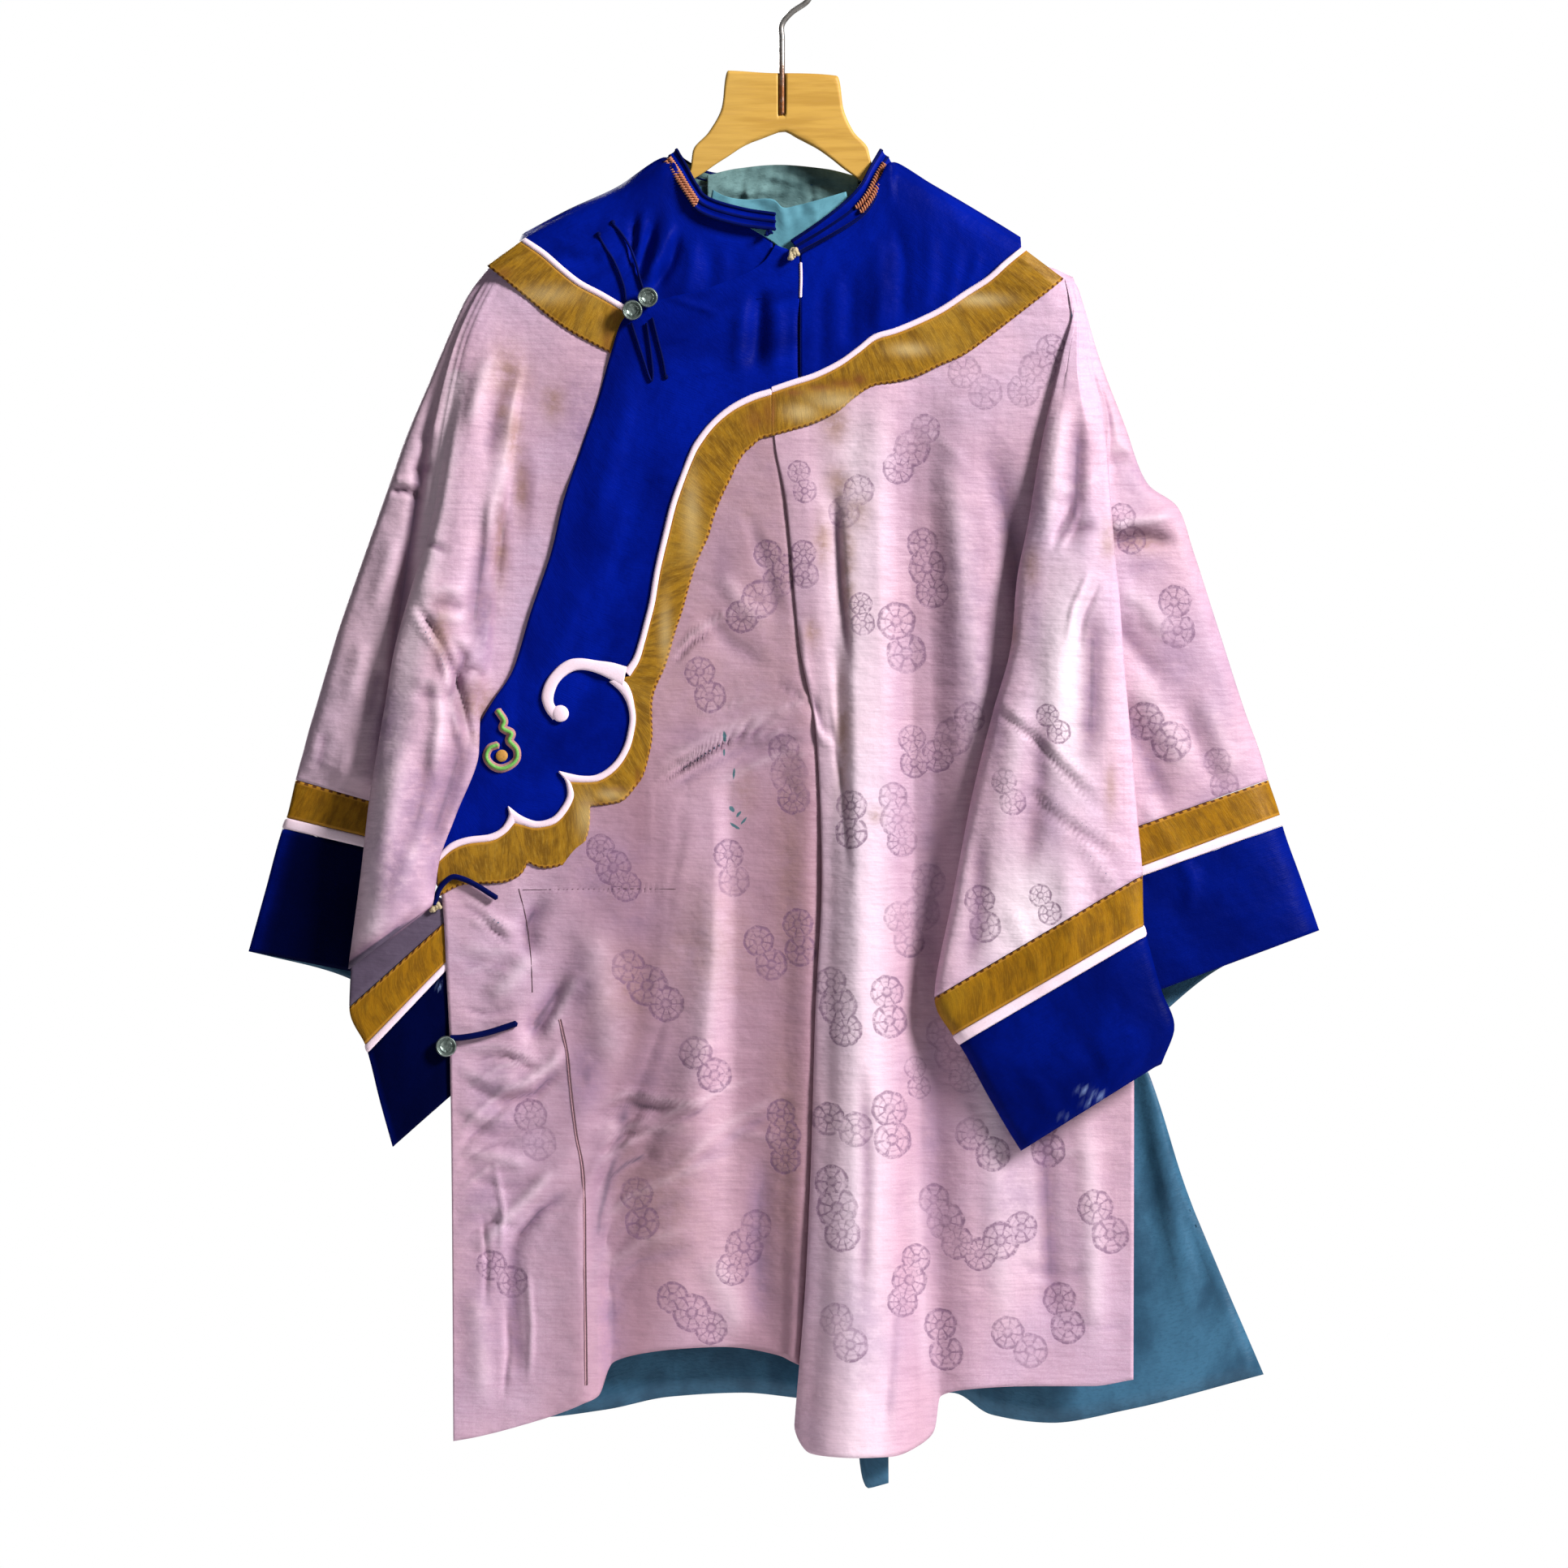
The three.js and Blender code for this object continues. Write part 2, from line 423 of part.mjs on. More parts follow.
// One row of the sleeve's grid: three points round each fold, with the depth set at each.
function sleeveRow(level) {
  const { b, c, d, e, f, front, rear, turn, rise = 0 } = level;
  const a = [level.a[0], 0, level.a[1]];
  const toward = (p, q, far, y) => {
    const span = Math.hypot(q[0] - p[0], q[2] - p[2]);
    const [x, , z] = mix(p, q, Math.min(far, span * 0.3) / span);
    return [x, y, z];
  };
  const between = (p, q, t, y) => {
    const [x, , z] = mix(p, q, t);
    return [x, y, z];
  };
  const raised = ([x, y, z], by) => [x, y, z + by];
  return [
    f,
    raised(between(f, a, 0.5, rear), rise),
    raised(between(f, a, 0.9, rear * 0.6), rise * 0.22),
    a,
    between(a, b, 0.1, b[1] * 0.3),
    between(a, b, 0.38, lerp(0, b[1], 0.5)),
    between(a, b, 0.7, lerp(0, b[1], 0.72)),
    toward(b, a, 6, b[1] + (c[1] - b[1] < -4 ? 3 : 0.5)),
    b,
    toward(b, c, 5, lerp(b[1], c[1], 0.4)),
    toward(c, b, 5, lerp(b[1], c[1], 0.6)),
    c,
    toward(c, d, 6, lerp(c[1], front, 0.45)),
    between(c, d, 0.35, front),
    between(c, d, 0.68, lerp(front, d[1], 0.2)),
    toward(d, c, 7, lerp(d[1], front, 0.5)),
    d,
    toward(d, e, 6, lerp(d[1], turn, 0.75)),
    between(d, e, 0.5, turn),
    between(d, e, 0.96, lerp(turn, e[1], 0.08)),
    e,
  ];
}

// The cap over the hanger's tip: half rings of 21 points, from the back round to the front.
function capRow(x, reach, halfDepth, z, drop) {
  return Array.from({ length: 21 }, (_, i) => {
    const turn = i < 3 ? lerp(Math.PI / 2, 0, i / 3) : lerp(0, -Math.PI / 2, (i - 3) / 17);
    return [x + reach * Math.cos(turn), halfDepth * Math.sin(turn), z - drop * Math.cos(turn)];
  });
}
const leftRows = [
  capRow(217.6, 2.2, 2.2, -249, 0.5),
  capRow(218.5, 5.5, 8.5, -252, 4),
  capRow(221, 7.5, 13.5, -268, 1),
  ...leftSleeve.map(sleeveRow),
];
const rightRows = rightSleeve.map(sleeveRow);

// The silk ends at the ribbon; ribbon, piping and satin cuff follow it as rings of their own.
const SEAM = 0.6;
function endAt(rows, from, to, trimStart, trimEnd) {
  const part = rows.slice(from, to + 1).map((row) => row.map((p) => p.slice()));
  const shorten = (row, next, by) => row.map((p, j) => {
    const span = Math.hypot(...p.map((value, k) => value - next[j][k]));
    return mix(p, next[j], Math.min(by / span, 0.4));
  });
  const last = part.length - 1;
  const start = trimStart ? shorten(part[0], part[1], trimStart) : part[0];
  const end = trimEnd ? shorten(part[last], part[last - 1], trimEnd) : part[last];
  part[0] = start;
  part[last] = end;
  return part;
}
function addSleeve(side, rows, goldTop) {
  const last = rows.length - 1;
  add(`sleeve_${side}`, clothWall(endAt(rows, 0, goldTop, 0, SEAM)), 'lilac');
  add(`cuff_ribbon_${side}`, clothWall(endAt(rows, goldTop, goldTop + 1, SEAM, SEAM)), 'gold');
  add(`cuff_piping_${side}`, clothWall(endAt(rows, goldTop + 1, goldTop + 2, SEAM, SEAM)), 'pink');
  add(`cuff_satin_${side}`, clothWall(endAt(rows, goldTop + 2, last, SEAM, 0)), 'blue');
}
addSleeve('left', leftRows, 11);
addSleeve('right', rightRows, 14);

// ---------------------------------------------------------------- back, lining and underlap
const backRails = [
  [[-233, -215, 1], [-236, -215, 8.5], [-266, -216, 12.5], [-340, -229, 13], [-430, -239, 13], [-540, -245, 13],
    [-620, -240, 13], [-720, -248, 14], [-1116, -246, 16]],
  [[-202, -170, 1], [-205, -170, 8.5], [-240, -172, 13], [-600, -185, 15], [-900, -188, 17], [-1120, -190, 20]],
  [[-184, -130, 1], [-187, -130, 8.5], [-220, -131, 13], [-600, -135, 13], [-900, -136, 13], [-1114, -136, 15]],
  [[-167, -90, 1], [-173, -90, 9], [-205, -87, 14], [-600, -84, 16], [-900, -84, 18], [-1104, -86, 20]],
  [[-181, -64, 13], [-220, -45, 15], [-600, -30, 14], [-1101, -30, 14]],
  [[-183, 0, 15], [-220, 0, 15.5], [-600, 10, 17], [-900, 20, 19], [-1106, 26, 21]],
  [[-182, 62, 13], [-220, 52, 15], [-600, 70, 14], [-1106, 84, 14]],
  [[-169, 87, 1], [-175, 87, 9], [-205, 88, 14], [-600, 110, 16], [-900, 120, 18], [-1101, 128, 21]],
  [[-191, 130, 1], [-194, 130, 8.5], [-220, 131, 13], [-600, 150, 13], [-900, 158, 14], [-1118, 160, 15]],
  [[-213, 168, 1], [-216, 168, 8.5], [-245, 170, 13], [-600, 188, 15], [-900, 200, 18], [-1124, 206, 23]],
  [[-236, 198, 1], [-239, 198, 8.5], [-265, 200, 13], [-600, 222, 13], [-830, 238, 15], [-960, 262, 19],
    [-1113, 268, 22]],
  [[-249, 215, 1], [-252, 215.5, 8.5], [-275, 218, 12.5], [-400, 234, 13], [-545, 245, 13], [-745, 255, 14],
    [-832, 268, 15], [-859, 280, 15], [-941, 306, 19], [-967, 316, 20], [-1087, 367, 26]],
];
const backLevels = [0, 0.0036, 0.03, 0.09, 0.18, 0.28, 0.38, 0.48, 0.58, 0.67, 0.74, 0.8, 0.86, 0.93, 1];
const backGrid = railGrid(backRails, backLevels);
add('back', clothWall(backGrid), 'lilac');

// The lining follows the back panel's lower part, and again round the back of the neck.
const inward = (grid, by) => grid.map((row) => row.map(([x, y, z]) => [x, y - by, z]));
add('back_lining', clothWall(inward(backGrid.slice(8), LINING_GAP), TRIM), 'teal');

const neckLiningRails = [
  [[-171, -58, 9], [-205, -58, 10.5], [-238, -50, 11]],
  [[-166, -36, 12], [-200, -34, 12], [-245, -30, 12]],
  [[-163, -4, 12.6], [-200, -2, 12.6], [-250, 0, 12.6]],
  [[-166, 32, 12], [-200, 34, 12], [-245, 30, 12]],
  [[-172, 57, 9], [-205, 58, 10.5], [-238, 50, 11]],
];
add('neck_lining', clothWall(railGrid(neckLiningRails, evenly(5)), TRIM), 'neck');

// The under front hangs behind the outer front, and one corner of it reaches below the hem.
const underlapRails = [
  [[-300, -118, -9.5], [-600, -190, -8.5], [-1040, -225, -6]],
  [[-300, -80, -9.5], [-600, -110, -8.5], [-1048, -120, -3]],
  [[-292, -40, -9.5], [-600, -20, -8.5], [-1056, -10, -4]],
  [[-284, 0, -9.5], [-600, 40, -8], [-1072, 26, -6]],
  [[-300, 30, -9.5], [-600, 60, -8], [-1173, 62, -8]],
  [[-330, 50, -9.5], [-600, 78, -8], [-1175, 81, -8]],
];
add('underlap', clothWall(railGrid(underlapRails, evenly(7)), CLOTH), 'teal');

// ---------------------------------------------------------------- collar
// A low stand collar in two front pieces and one back piece; `foot` and `top` are [x, y, z].
const collarRight = [
  { foot: [-92, -1, -161], top: [-81, -1, -151] },
  { foot: [-84, -10, -172], top: [-74, -9, -163] },
  { foot: [-74, -15.5, -187], top: [-66, -13.5, -178] },
  { foot: [-63, -17.5, -200], top: [-57, -15, -188] },
  { foot: [-35, -18.8, -209], top: [-31, -16, -196] },
  { foot: [-6, -19, -213], top: [-6, -16.5, -200] },
];
const collarLeft = [
  { foot: [84, -1, -163.5], top: [74, -1, -151] },
  { foot: [77, -10, -175], top: [66, -9, -165] },
  { foot: [70, -15.5, -190], top: [59, -13.5, -178] },
  { foot: [60, -18, -203], top: [47, -15.5, -191] },
  { foot: [38, -19, -217], top: [28, -17, -206] },
  { foot: [12, -19.2, -231], top: [6, -17.5, -221] },
];
const collarBack = [
  { foot: [-92, 1, -161], top: [-81, 1, -151] },
  { foot: [-84, 10, -171], top: [-74, 8.5, -160] },
  { foot: [-58, 16.6, -181], top: [-50, 14.5, -170] },
  { foot: [0, 18, -179], top: [0, 15.5, -168] },
  { foot: [58, 16.6, -182], top: [50, 14.5, -172] },
  { foot: [82, 10, -173], top: [69, 8.5, -162] },
  { foot: [84.4, 1, -163.5], top: [74.4, 1, -151.4] },
];
const COLLAR_WALL = 2;
const collarGrid = (stations, from, to) => evenly(2).map((s) => stations.map(({ foot, top }) => (
  mix(foot, top, lerp(from, to, s)))));
add('collar_right', clothWall(collarGrid(collarRight, 0, 1), COLLAR_WALL), 'blue');
add('collar_left', clothWall(collarGrid(collarLeft, 0, 1), COLLAR_WALL), 'blue');
add('collar_back', clothWall(collarGrid(collarBack, 0, 1), COLLAR_WALL), 'blue');

// Copper braid lies on the outer faces near the shoulder ends.
const outward = (stations, by) => stations.map(({ foot, top }) => ({
  foot: [foot[0], foot[1] - by, foot[2] + 0.4],
  top: [top[0], top[1] - by, top[2] + 0.4],
}));
const braidOf = (stations) => collarGrid(outward(stations.slice(1, 4), 2.4), 0.3, 0.75);
add('braid_right', clothWall(braidOf(collarRight), TRIM), 'copper');
add('braid_left', clothWall(braidOf(collarLeft), TRIM), 'copper');

// ---------------------------------------------------------------- cords, buttons and ornament
function cord(points, radius, sides = 6, steps = 12) {
  const path = new THREE.CatmullRomCurve3(points.map((p) => new THREE.Vector3(...p)), false, 'centripetal');
  const ring = evenly(sides).slice(0, sides).map((t) => (
    new THREE.Vector2(radius * Math.cos(t * 2 * Math.PI), radius * Math.sin(t * 2 * Math.PI))));
  const geometry = new THREE.ExtrudeGeometry(new THREE.Shape(ring), { steps, extrudePath: path, bevelEnabled: false });
  return merged(geometry);
}

function merged(geometry) {
  geometry.deleteAttribute('normal');
  geometry.deleteAttribute('uv');
  return mergeVertices(geometry, 1e-4);
}

const flat = (y, points) => points.map(([x, z]) => [x, y, z]);
const CORD_R = 1.3;
const onYoke = UNDER_Y - CLOTH / 2 - CORD_R - 0.3;
const onFlap = FRONT_Y - CLOTH / 2 - CORD_R - 0.3;
add('frog_upper_a', cord(flat(onYoke, [[-141, -217], [-130, -234], [-123, -250], [-122, -258]]), CORD_R), 'navy');
add('frog_upper_b', cord(flat(onYoke, [[-130, -208], [-117, -224], [-112, -240], [-110, -252]]), CORD_R), 'navy');
add('frog_lower_a', cord(flat(onFlap, [[-115, -284], [-107, -305], [-101, -329]]), CORD_R), 'navy');
add('frog_lower_b', cord(flat(onFlap, [[-103, -279], [-99, -300], [-93, -316], [-89, -327]]), CORD_R), 'navy');

// A domed button: flat back, rounded rim, shallow crown. It is turned to face the front.
function button(x, y, z, radius, height) {
  const profile = [[0, 0], [radius * 0.86, 0], [radius, height * 0.35], [radius * 0.9, height * 0.75],
    [radius * 0.5, height], [0, height]];
  const geometry = new THREE.LatheGeometry(profile.map(([r, h]) => new THREE.Vector2(r, h)), 16);
  geometry.scale(1, -1, 1);
  geometry.translate(x, y, z);
  const solid = merged(geometry);
  if (signedVolume(solid) < 0) solid.setIndex(Array.from(solid.getIndex().array).reverse());
  return solid;
}
const BUTTON_BACK = onFlap - CORD_R - 0.4;
add('button_lower', button(-117, BUTTON_BACK, -274, BUTTON_R, 6.5), 'glass');
add('button_upper', button(-102.8, BUTTON_BACK, -264.4, BUTTON_R, 6.5), 'glass');
add('neck_knot', button(8, -20.5, -231, 4.6, 6), 'cream');

const sideY = FRONT_Y - TRIM_LIFT - TRIM / 2 - 0.3;
add('side_cord', cord(flat(sideY - 2.1, [[-262.5, -716], [-259, -708], [-253, -704], [-245, -708], [-234, -715],
  [-219, -724]]), 2.1), 'navy');
add('side_knot', button(-263.5, -16.6, -731, 3.6, 4), 'cream');
add('side_strap', cord(flat(FRONT_Y - CLOTH / 2 - 5, [[-246, -829], [-234, -828], [-218, -824], [-203, -819]]), 2.4),
  'navy');
add('side_button', button(-257, FRONT_Y - CLOTH / 2 - 1.6, -837, BUTTON_R, 6), 'glass');

// Scroll of piping on the flap, ending in a ball, and a small embroidered cloud beside it.
const scrollPath = [[-121, -548], [-137, -548], [-155, -546], [-169, -552], [-178, -565], [-177, -577]];
function ribbonAlong(path, width, y, steps) {
  const left = beside(path, width / 2);
  const right = beside(path, -width / 2);
  return bandGrid(left, right, () => y, steps);
}
add('scroll', clothWall(ribbonAlong(scrollPath, 8.5, FRONT_Y - TRIM_LIFT, 12), TRIM), 'pink');
add('scroll_ball', button(-170.5, FRONT_Y - 1.1, -584.8, 6.4, 2.2), 'pink');
const cloudPath = [[-218, -578], [-211, -590], [-215, -600], [-204, -606], [-203, -618], [-214, -625], [-224, -617]];
add('cloud', clothWall(ribbonAlong(cloudPath, 9, FRONT_Y - TRIM_LIFT, 12), TRIM), 'green');

// ---------------------------------------------------------------- hanger
const hangerOutline = [
  [-43, -91], [42, -95], [46, -120], [54, -138], [64.5, -150], [67, -160], [70, -170], [77, -178], [100, -187], [133, -200],
  [184, -229], [208, -249], [212, -257], [208, -265], [196, -263], [150, -236], [100, -204], [63, -178], [30, -153],
  [0, -137], [-30, -149], [-62, -170], [-100, -192], [-150, -216], [-196, -245], [-208, -252], [-212, -245],
  [-208, -237], [-184, -219], [-133, -193], [-100, -182], [-77, -176], [-71, -166], [-69, -152], [-57, -138],
  [-47, -119],
];
const asSolid = (geometry) => new wasm.Manifold(new wasm.Mesh({
  numProp: 3,
  vertProperties: new Float32Array(geometry.getAttribute('position').array),
  triVerts: new Uint32Array(geometry.getIndex().array),
}));
const outline = new THREE.Shape(hangerOutline.map(([x, z]) => new THREE.Vector2(x, z)));
const plank = new THREE.ExtrudeGeometry(outline, { depth: WOOD, bevelEnabled: false });
plank.rotateX(Math.PI / 2);
plank.translate(0, WOOD / 2, 0);

// The wire lies in a groove in the front face.
const SHANK_X = -1;
const SHANK_Y = -WOOD / 2 + 1.5;
const grooveDepth = 5;
const groove = new THREE.BoxGeometry(2 * WIRE_R + 0.8, grooveDepth, 60);
groove.translate(SHANK_X, -WOOD / 2 - 1 + grooveDepth / 2, -127 + 30);
const wood = asSolid(merged(plank)).subtract(asSolid(merged(groove))).getMesh();
const woodGeometry = new THREE.BufferGeometry();
woodGeometry.setAttribute('position', new THREE.Float32BufferAttribute(wood.vertProperties, 3));
woodGeometry.setIndex(Array.from(wood.triVerts));
add('hanger_wood', woodGeometry, 'wood');

// Hook: straight shank, a kink to the side, then three fifths of a ring.
const ringMiddle = [0, -(HOOK_R - WIRE_R)];
const ringPoint = (degrees) => {
  const turn = THREE.MathUtils.degToRad(degrees);
  return [ringMiddle[0] + HOOK_R * Math.cos(turn), 0, ringMiddle[1] + HOOK_R * Math.sin(turn)];
};
const hookPath = [
  [SHANK_X, SHANK_Y, -124], [SHANK_X, SHANK_Y, -104], [SHANK_X, SHANK_Y, -86], [SHANK_X, -1, -66],
  [SHANK_X, 0, -56], [6, 0, -47],
  ...[-48, -25, 0, 25, 50, 75, 100, 125, 150, 175, 195].map(ringPoint),
];
add('hanger_hook', cord(hookPath, WIRE_R, 8, 44), 'wire');

export default group;
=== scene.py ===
"""A side-fastening, wide-sleeved silk robe hung flat on a wooden hanger: the looks.

Sizes are millimetres in the part's own frame until a mesh is made. The front faces -Y and
+X is the wearer's left. Every cloth piece is a thin shell on the form of its solid.
"""
import math

import bpy
import numpy as np
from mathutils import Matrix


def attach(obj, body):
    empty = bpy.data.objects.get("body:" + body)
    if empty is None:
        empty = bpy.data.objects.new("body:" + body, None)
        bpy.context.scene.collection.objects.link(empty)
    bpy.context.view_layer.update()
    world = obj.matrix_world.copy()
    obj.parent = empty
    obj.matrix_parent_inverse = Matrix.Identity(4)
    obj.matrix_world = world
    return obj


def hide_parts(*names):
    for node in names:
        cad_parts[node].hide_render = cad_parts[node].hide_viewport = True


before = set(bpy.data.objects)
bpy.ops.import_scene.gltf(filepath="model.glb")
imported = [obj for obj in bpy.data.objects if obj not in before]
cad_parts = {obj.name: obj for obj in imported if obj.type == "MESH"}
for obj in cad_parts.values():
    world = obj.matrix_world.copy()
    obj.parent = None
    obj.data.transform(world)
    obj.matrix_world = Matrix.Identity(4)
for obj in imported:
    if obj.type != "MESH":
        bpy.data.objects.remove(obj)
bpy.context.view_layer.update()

# ---------------------------------------------------------------- camera, light and floor
EYE = (0.0006, -4.0, -0.636)  # metres
SENSOR = 36
SEEN_WIDTH = 1.1978  # metres across the picture at the robe
scene = bpy.context.scene
scene.view_settings.view_transform = "Standard"

camera = bpy.data.objects.new("camera", bpy.data.cameras.new("camera"))
camera.location = EYE
camera.rotation_euler = (math.pi / 2, 0, 0)
camera.data.sensor_width = SENSOR
camera.data.lens = SENSOR * -EYE[1] / SEEN_WIDTH
camera.data.clip_start = 0.05
bpy.context.collection.objects.link(camera)
scene.camera = camera


def area_light(name, place, target, size, power, colour=(1, 1, 1)):
    data = bpy.data.lights.new(name, "AREA")
    data.shape = "DISK"
    data.size = size
    data.energy = power
    data.color = colour
    light = bpy.data.objects.new(name, data)
    light.location = place
    aim = [t - p for t, p in zip(target, place)]
    flat_aim = math.hypot(aim[0], aim[1])
    light.rotation_euler = (math.atan2(flat_aim, -aim[2]), 0, math.atan2(aim[1], aim[0]) - math.pi / 2)
    bpy.context.collection.objects.link(light)


area_light("key", (3.6, -2.6, 2.0), (0, 0, -0.6), 1.4, 490, (1.0, 0.985, 0.97))
area_light("fill", (-1.6, -3.0, 0.1), (0, 0, -0.6), 2.0, 5, (0.95, 0.97, 1.0))
area_light("back", (-1.2, 2.6, 0.6), (0, 0, -0.6), 1.6, 90)

world = bpy.data.worlds.new("studio")
scene.world = world
world.use_nodes = True
sky = world.node_tree
sky.nodes.clear()
seen = sky.nodes.new("ShaderNodeBackground")
seen.inputs["Color"].default_value = (1, 1, 1, 1)
lit = sky.nodes.new("ShaderNodeBackground")
lit.inputs["Color"].default_value = (0.97, 0.98, 1, 1)
lit.inputs["Strength"].default_value = 0.13
ray = sky.nodes.new("ShaderNodeLightPath")
both = sky.nodes.new("ShaderNodeMixShader")
shown = sky.nodes.new("ShaderNodeOutputWorld")
sky.links.new(ray.outputs["Is Camera Ray"], both.inputs[0])
sky.links.new(lit.outputs[0], both.inputs[1])
sky.links.new(seen.outputs[0], both.inputs[2])
sky.links.new(both.outputs[0], shown.inputs[0])


# ---------------------------------------------------------------- curves and grids
def ease(knots, values, at):
    """Smooth curve through values at rising knots, with no overshoot (monotone cubic)."""
    knots, values, at = (np.asarray(v, float) for v in (knots, values, at))
    flat = values.reshape(len(knots), -1)
    step = np.diff(knots)[:, None]
    slope = np.diff(flat, axis=0) / step
    tangent = np.zeros_like(flat)
    tangent[0], tangent[-1] = slope[0], slope[-1]
    if len(knots) > 2:
        a, b = slope[:-1], slope[1:]
        w1, w2 = 2 * step[1:] + step[:-1], step[1:] + 2 * step[:-1]
        same = a * b > 0
        safe_a, safe_b = np.where(same, a, 1), np.where(same, b, 1)
        tangent[1:-1] = np.where(same, (w1 + w2) / (w1 / safe_a + w2 / safe_b), 0)
    i = np.clip(np.searchsorted(knots, at, side="right") - 1, 0, len(knots) - 2)
    h = step[i]
    t = ((at - knots[i])[:, None]) / h
    out = ((2 * t**3 - 3 * t**2 + 1) * flat[i] + (t**3 - 2 * t**2 + t) * h * tangent[i]
           + (3 * t**2 - 2 * t**3) * flat[i + 1] + (t**3 - t**2) * h * tangent[i + 1])
    return out.reshape((len(at),) + values.shape[1:])


def through(points, count, cusps=()):
    """A curve through points by their own order, smooth but for a corner at each cusp."""
    points = np.asarray(points, float)
    at = np.linspace(0, len(points) - 1, count)
    if len(points) < 3:
        return ease([0, 1], points, at)
    before = np.vstack([2 * points[0] - points[1], points, 2 * points[-1] - points[-2]])
    i = np.minimum(at.astype(int), len(points) - 2)
    t = (at - i)[:, None]
    p0, p1, p2, p3 = before[i], before[i + 1], before[i + 2], before[i + 3]
    m1, m2 = (p2 - p0) / 2, (p3 - p1) / 2
    for c in cusps:
        m1 = np.where((i == c)[:, None], (p2 - p1) * 0.9, m1)
        m2 = np.where((i + 1 == c)[:, None], (p2 - p1) * 0.9, m2)
    return ((2 * t**3 - 3 * t**2 + 1) * p1 + (t**3 - 2 * t**2 + t) * m1
            + (3 * t**2 - 2 * t**3) * p2 + (t**3 - t**2) * m2)


def reach(grid, axis):
    """Running length along an axis, averaged over the other one."""
    steps = np.linalg.norm(np.diff(grid, axis=axis), axis=-1).mean(axis=1 - axis)
    return np.concatenate([[0], np.cumsum(np.maximum(steps, 1e-3))])


def running(grid, axis=0):
    """Length from a line's first point, or a grid's first row or column, to each point."""
    steps = np.linalg.norm(np.diff(grid, axis=axis), axis=-1)
    return np.concatenate([np.zeros_like(np.take(steps, [0], axis)), np.cumsum(steps, axis=axis)],
                          axis=axis)


LEVELS = 60  # heights at which a panel's rails are read
TALL = 1.6  # a cell's height over its width: most folds hang, so columns lie closer than rows


def dense(grid, cell, rows=None):
    """A fine grid through a coarse one, and each fine row's and column's place in the coarse one."""
    grid = np.asarray(grid, float)
    across, down = reach(grid, 1), reach(grid, 0)
    columns = max(int(across[-1] / cell), 4)
    rows = rows or max(int(down[-1] / (cell * TALL)), 4)
    at_u = np.linspace(0, across[-1], columns + 1)
    at_v = np.linspace(0, down[-1], rows + 1)
    fine = ease(across, grid.transpose(1, 0, 2), at_u).transpose(1, 0, 2)
    fine = ease(down, fine, at_v)
    return fine, np.interp(at_v, down, np.arange(len(down))), np.interp(at_u, across,
                                                                        np.arange(len(across)))


def panel(rails, cell, levels=LEVELS):
    """Rails are tables of [z, x, y] from top to hem, each read at the same shares of its height."""
    share = np.linspace(0, 1, levels)
    lines = []
    for rail in rails:
        table = np.asarray(rail, float)
        z = table[0, 0] + (table[-1, 0] - table[0, 0]) * share
        xy = ease(-table[:, 0], table[:, 1:], -z)
        lines.append(np.column_stack([xy, z]))
    return dense(np.stack(lines, axis=1), cell)


def normals(grid):
    n = np.cross(np.gradient(grid, axis=1), np.gradient(grid, axis=0))
    return n / np.maximum(np.linalg.norm(n, axis=-1, keepdims=True), 1e-9)


def strokes(grid, creases):
    """The height of each crease, and its soft mark, 0 to 1, on the grid."""
    flat = grid[..., [0, 2]]
    for height, width, *path in creases:
        path = np.asarray(path, float)
        lengths = np.linalg.norm(np.diff(path, axis=0), axis=1)
        total = lengths.sum()
        nearest, place = np.full(flat.shape[:2], FAR), np.zeros(flat.shape[:2])
        run = 0.0
        for a, b, length in zip(path[:-1], path[1:], lengths):
            t = np.clip(((flat - a) @ (b - a)) / length**2, 0, 1)
            away = np.linalg.norm(flat - a - t[..., None] * (b - a), axis=-1)
            closer = away < nearest
            nearest = np.where(closer, away, nearest)
            place = np.where(closer, run + t * length, place)
            run += length
        end = np.clip(np.minimum(place, total - place) / (0.3 * total), 0, 1)
        yield height, np.exp(-(nearest / width) ** 2) * end * end * (3 - 2 * end)


CREASE_GAIN = 1.5  # how much deeper the folds are cut than their tables say
WAVES = 9


def creased(grid, creases, where=1.0, toward=-1):
    """Adds soft ridges (height above 0) and troughs: [height, half width, [x, z], [x, z], ...]."""
    for height, mark in strokes(grid, creases):
        grid[..., 1] += toward * height * CREASE_GAIN * mark * where
    return grid


def crease_shading(grid, creases, where=1.0):
    """Painted light along the creases: 0 to 1 of painted shade in the troughs, and 0 to 1 of painted
    highlight on the ridges.
    """
    dark, painted_highlight = np.zeros(grid.shape[:2]), np.zeros(grid.shape[:2])
    for height, mark in strokes(grid, creases):
        share = mark**1.5 * min(abs(height) / 2.2, 1)
        if height < 0:
            dark = np.maximum(dark, share)
        else:
            painted_highlight = np.maximum(painted_highlight, share)
    return dark * where, painted_highlight * where


def ripple(grid, seed, size, height, where=1.0, stretch=(1, 1), toward=-1):
    """Small uneven puckers: a few crossed waves with seeded directions and phases."""
    rng = np.random.default_rng(seed)
    x, z = grid[..., 0] / stretch[0], grid[..., 2] / stretch[1]
    total = 0
    for _ in range(WAVES):
        angle, phase, pitch = rng.uniform(0, math.pi), rng.uniform(0, 2 * math.pi), size * rng.uniform(0.6,
                                                                                                       1.9)
        total = total + np.sin((x * math.cos(angle) + z * math.sin(angle)) * 2 * math.pi / pitch + phase
                               + 1.3 * np.sin(z / size / 1.7 + phase * 2))
    grid[..., 1] += toward * height * total / WAVES * 1.6 * where
    return grid


def blob(grid, spots):
    """0 to 1 near each [x, z, rx, rz] spot."""
    total = np.zeros(grid.shape[:2])
    for x, z, rx, rz in spots:
        d = ((grid[..., 0] - x) / rx) ** 2 + ((grid[..., 2] - z) / rz) ** 2
        total = np.maximum(total, np.exp(-d * 1.6))
    return total


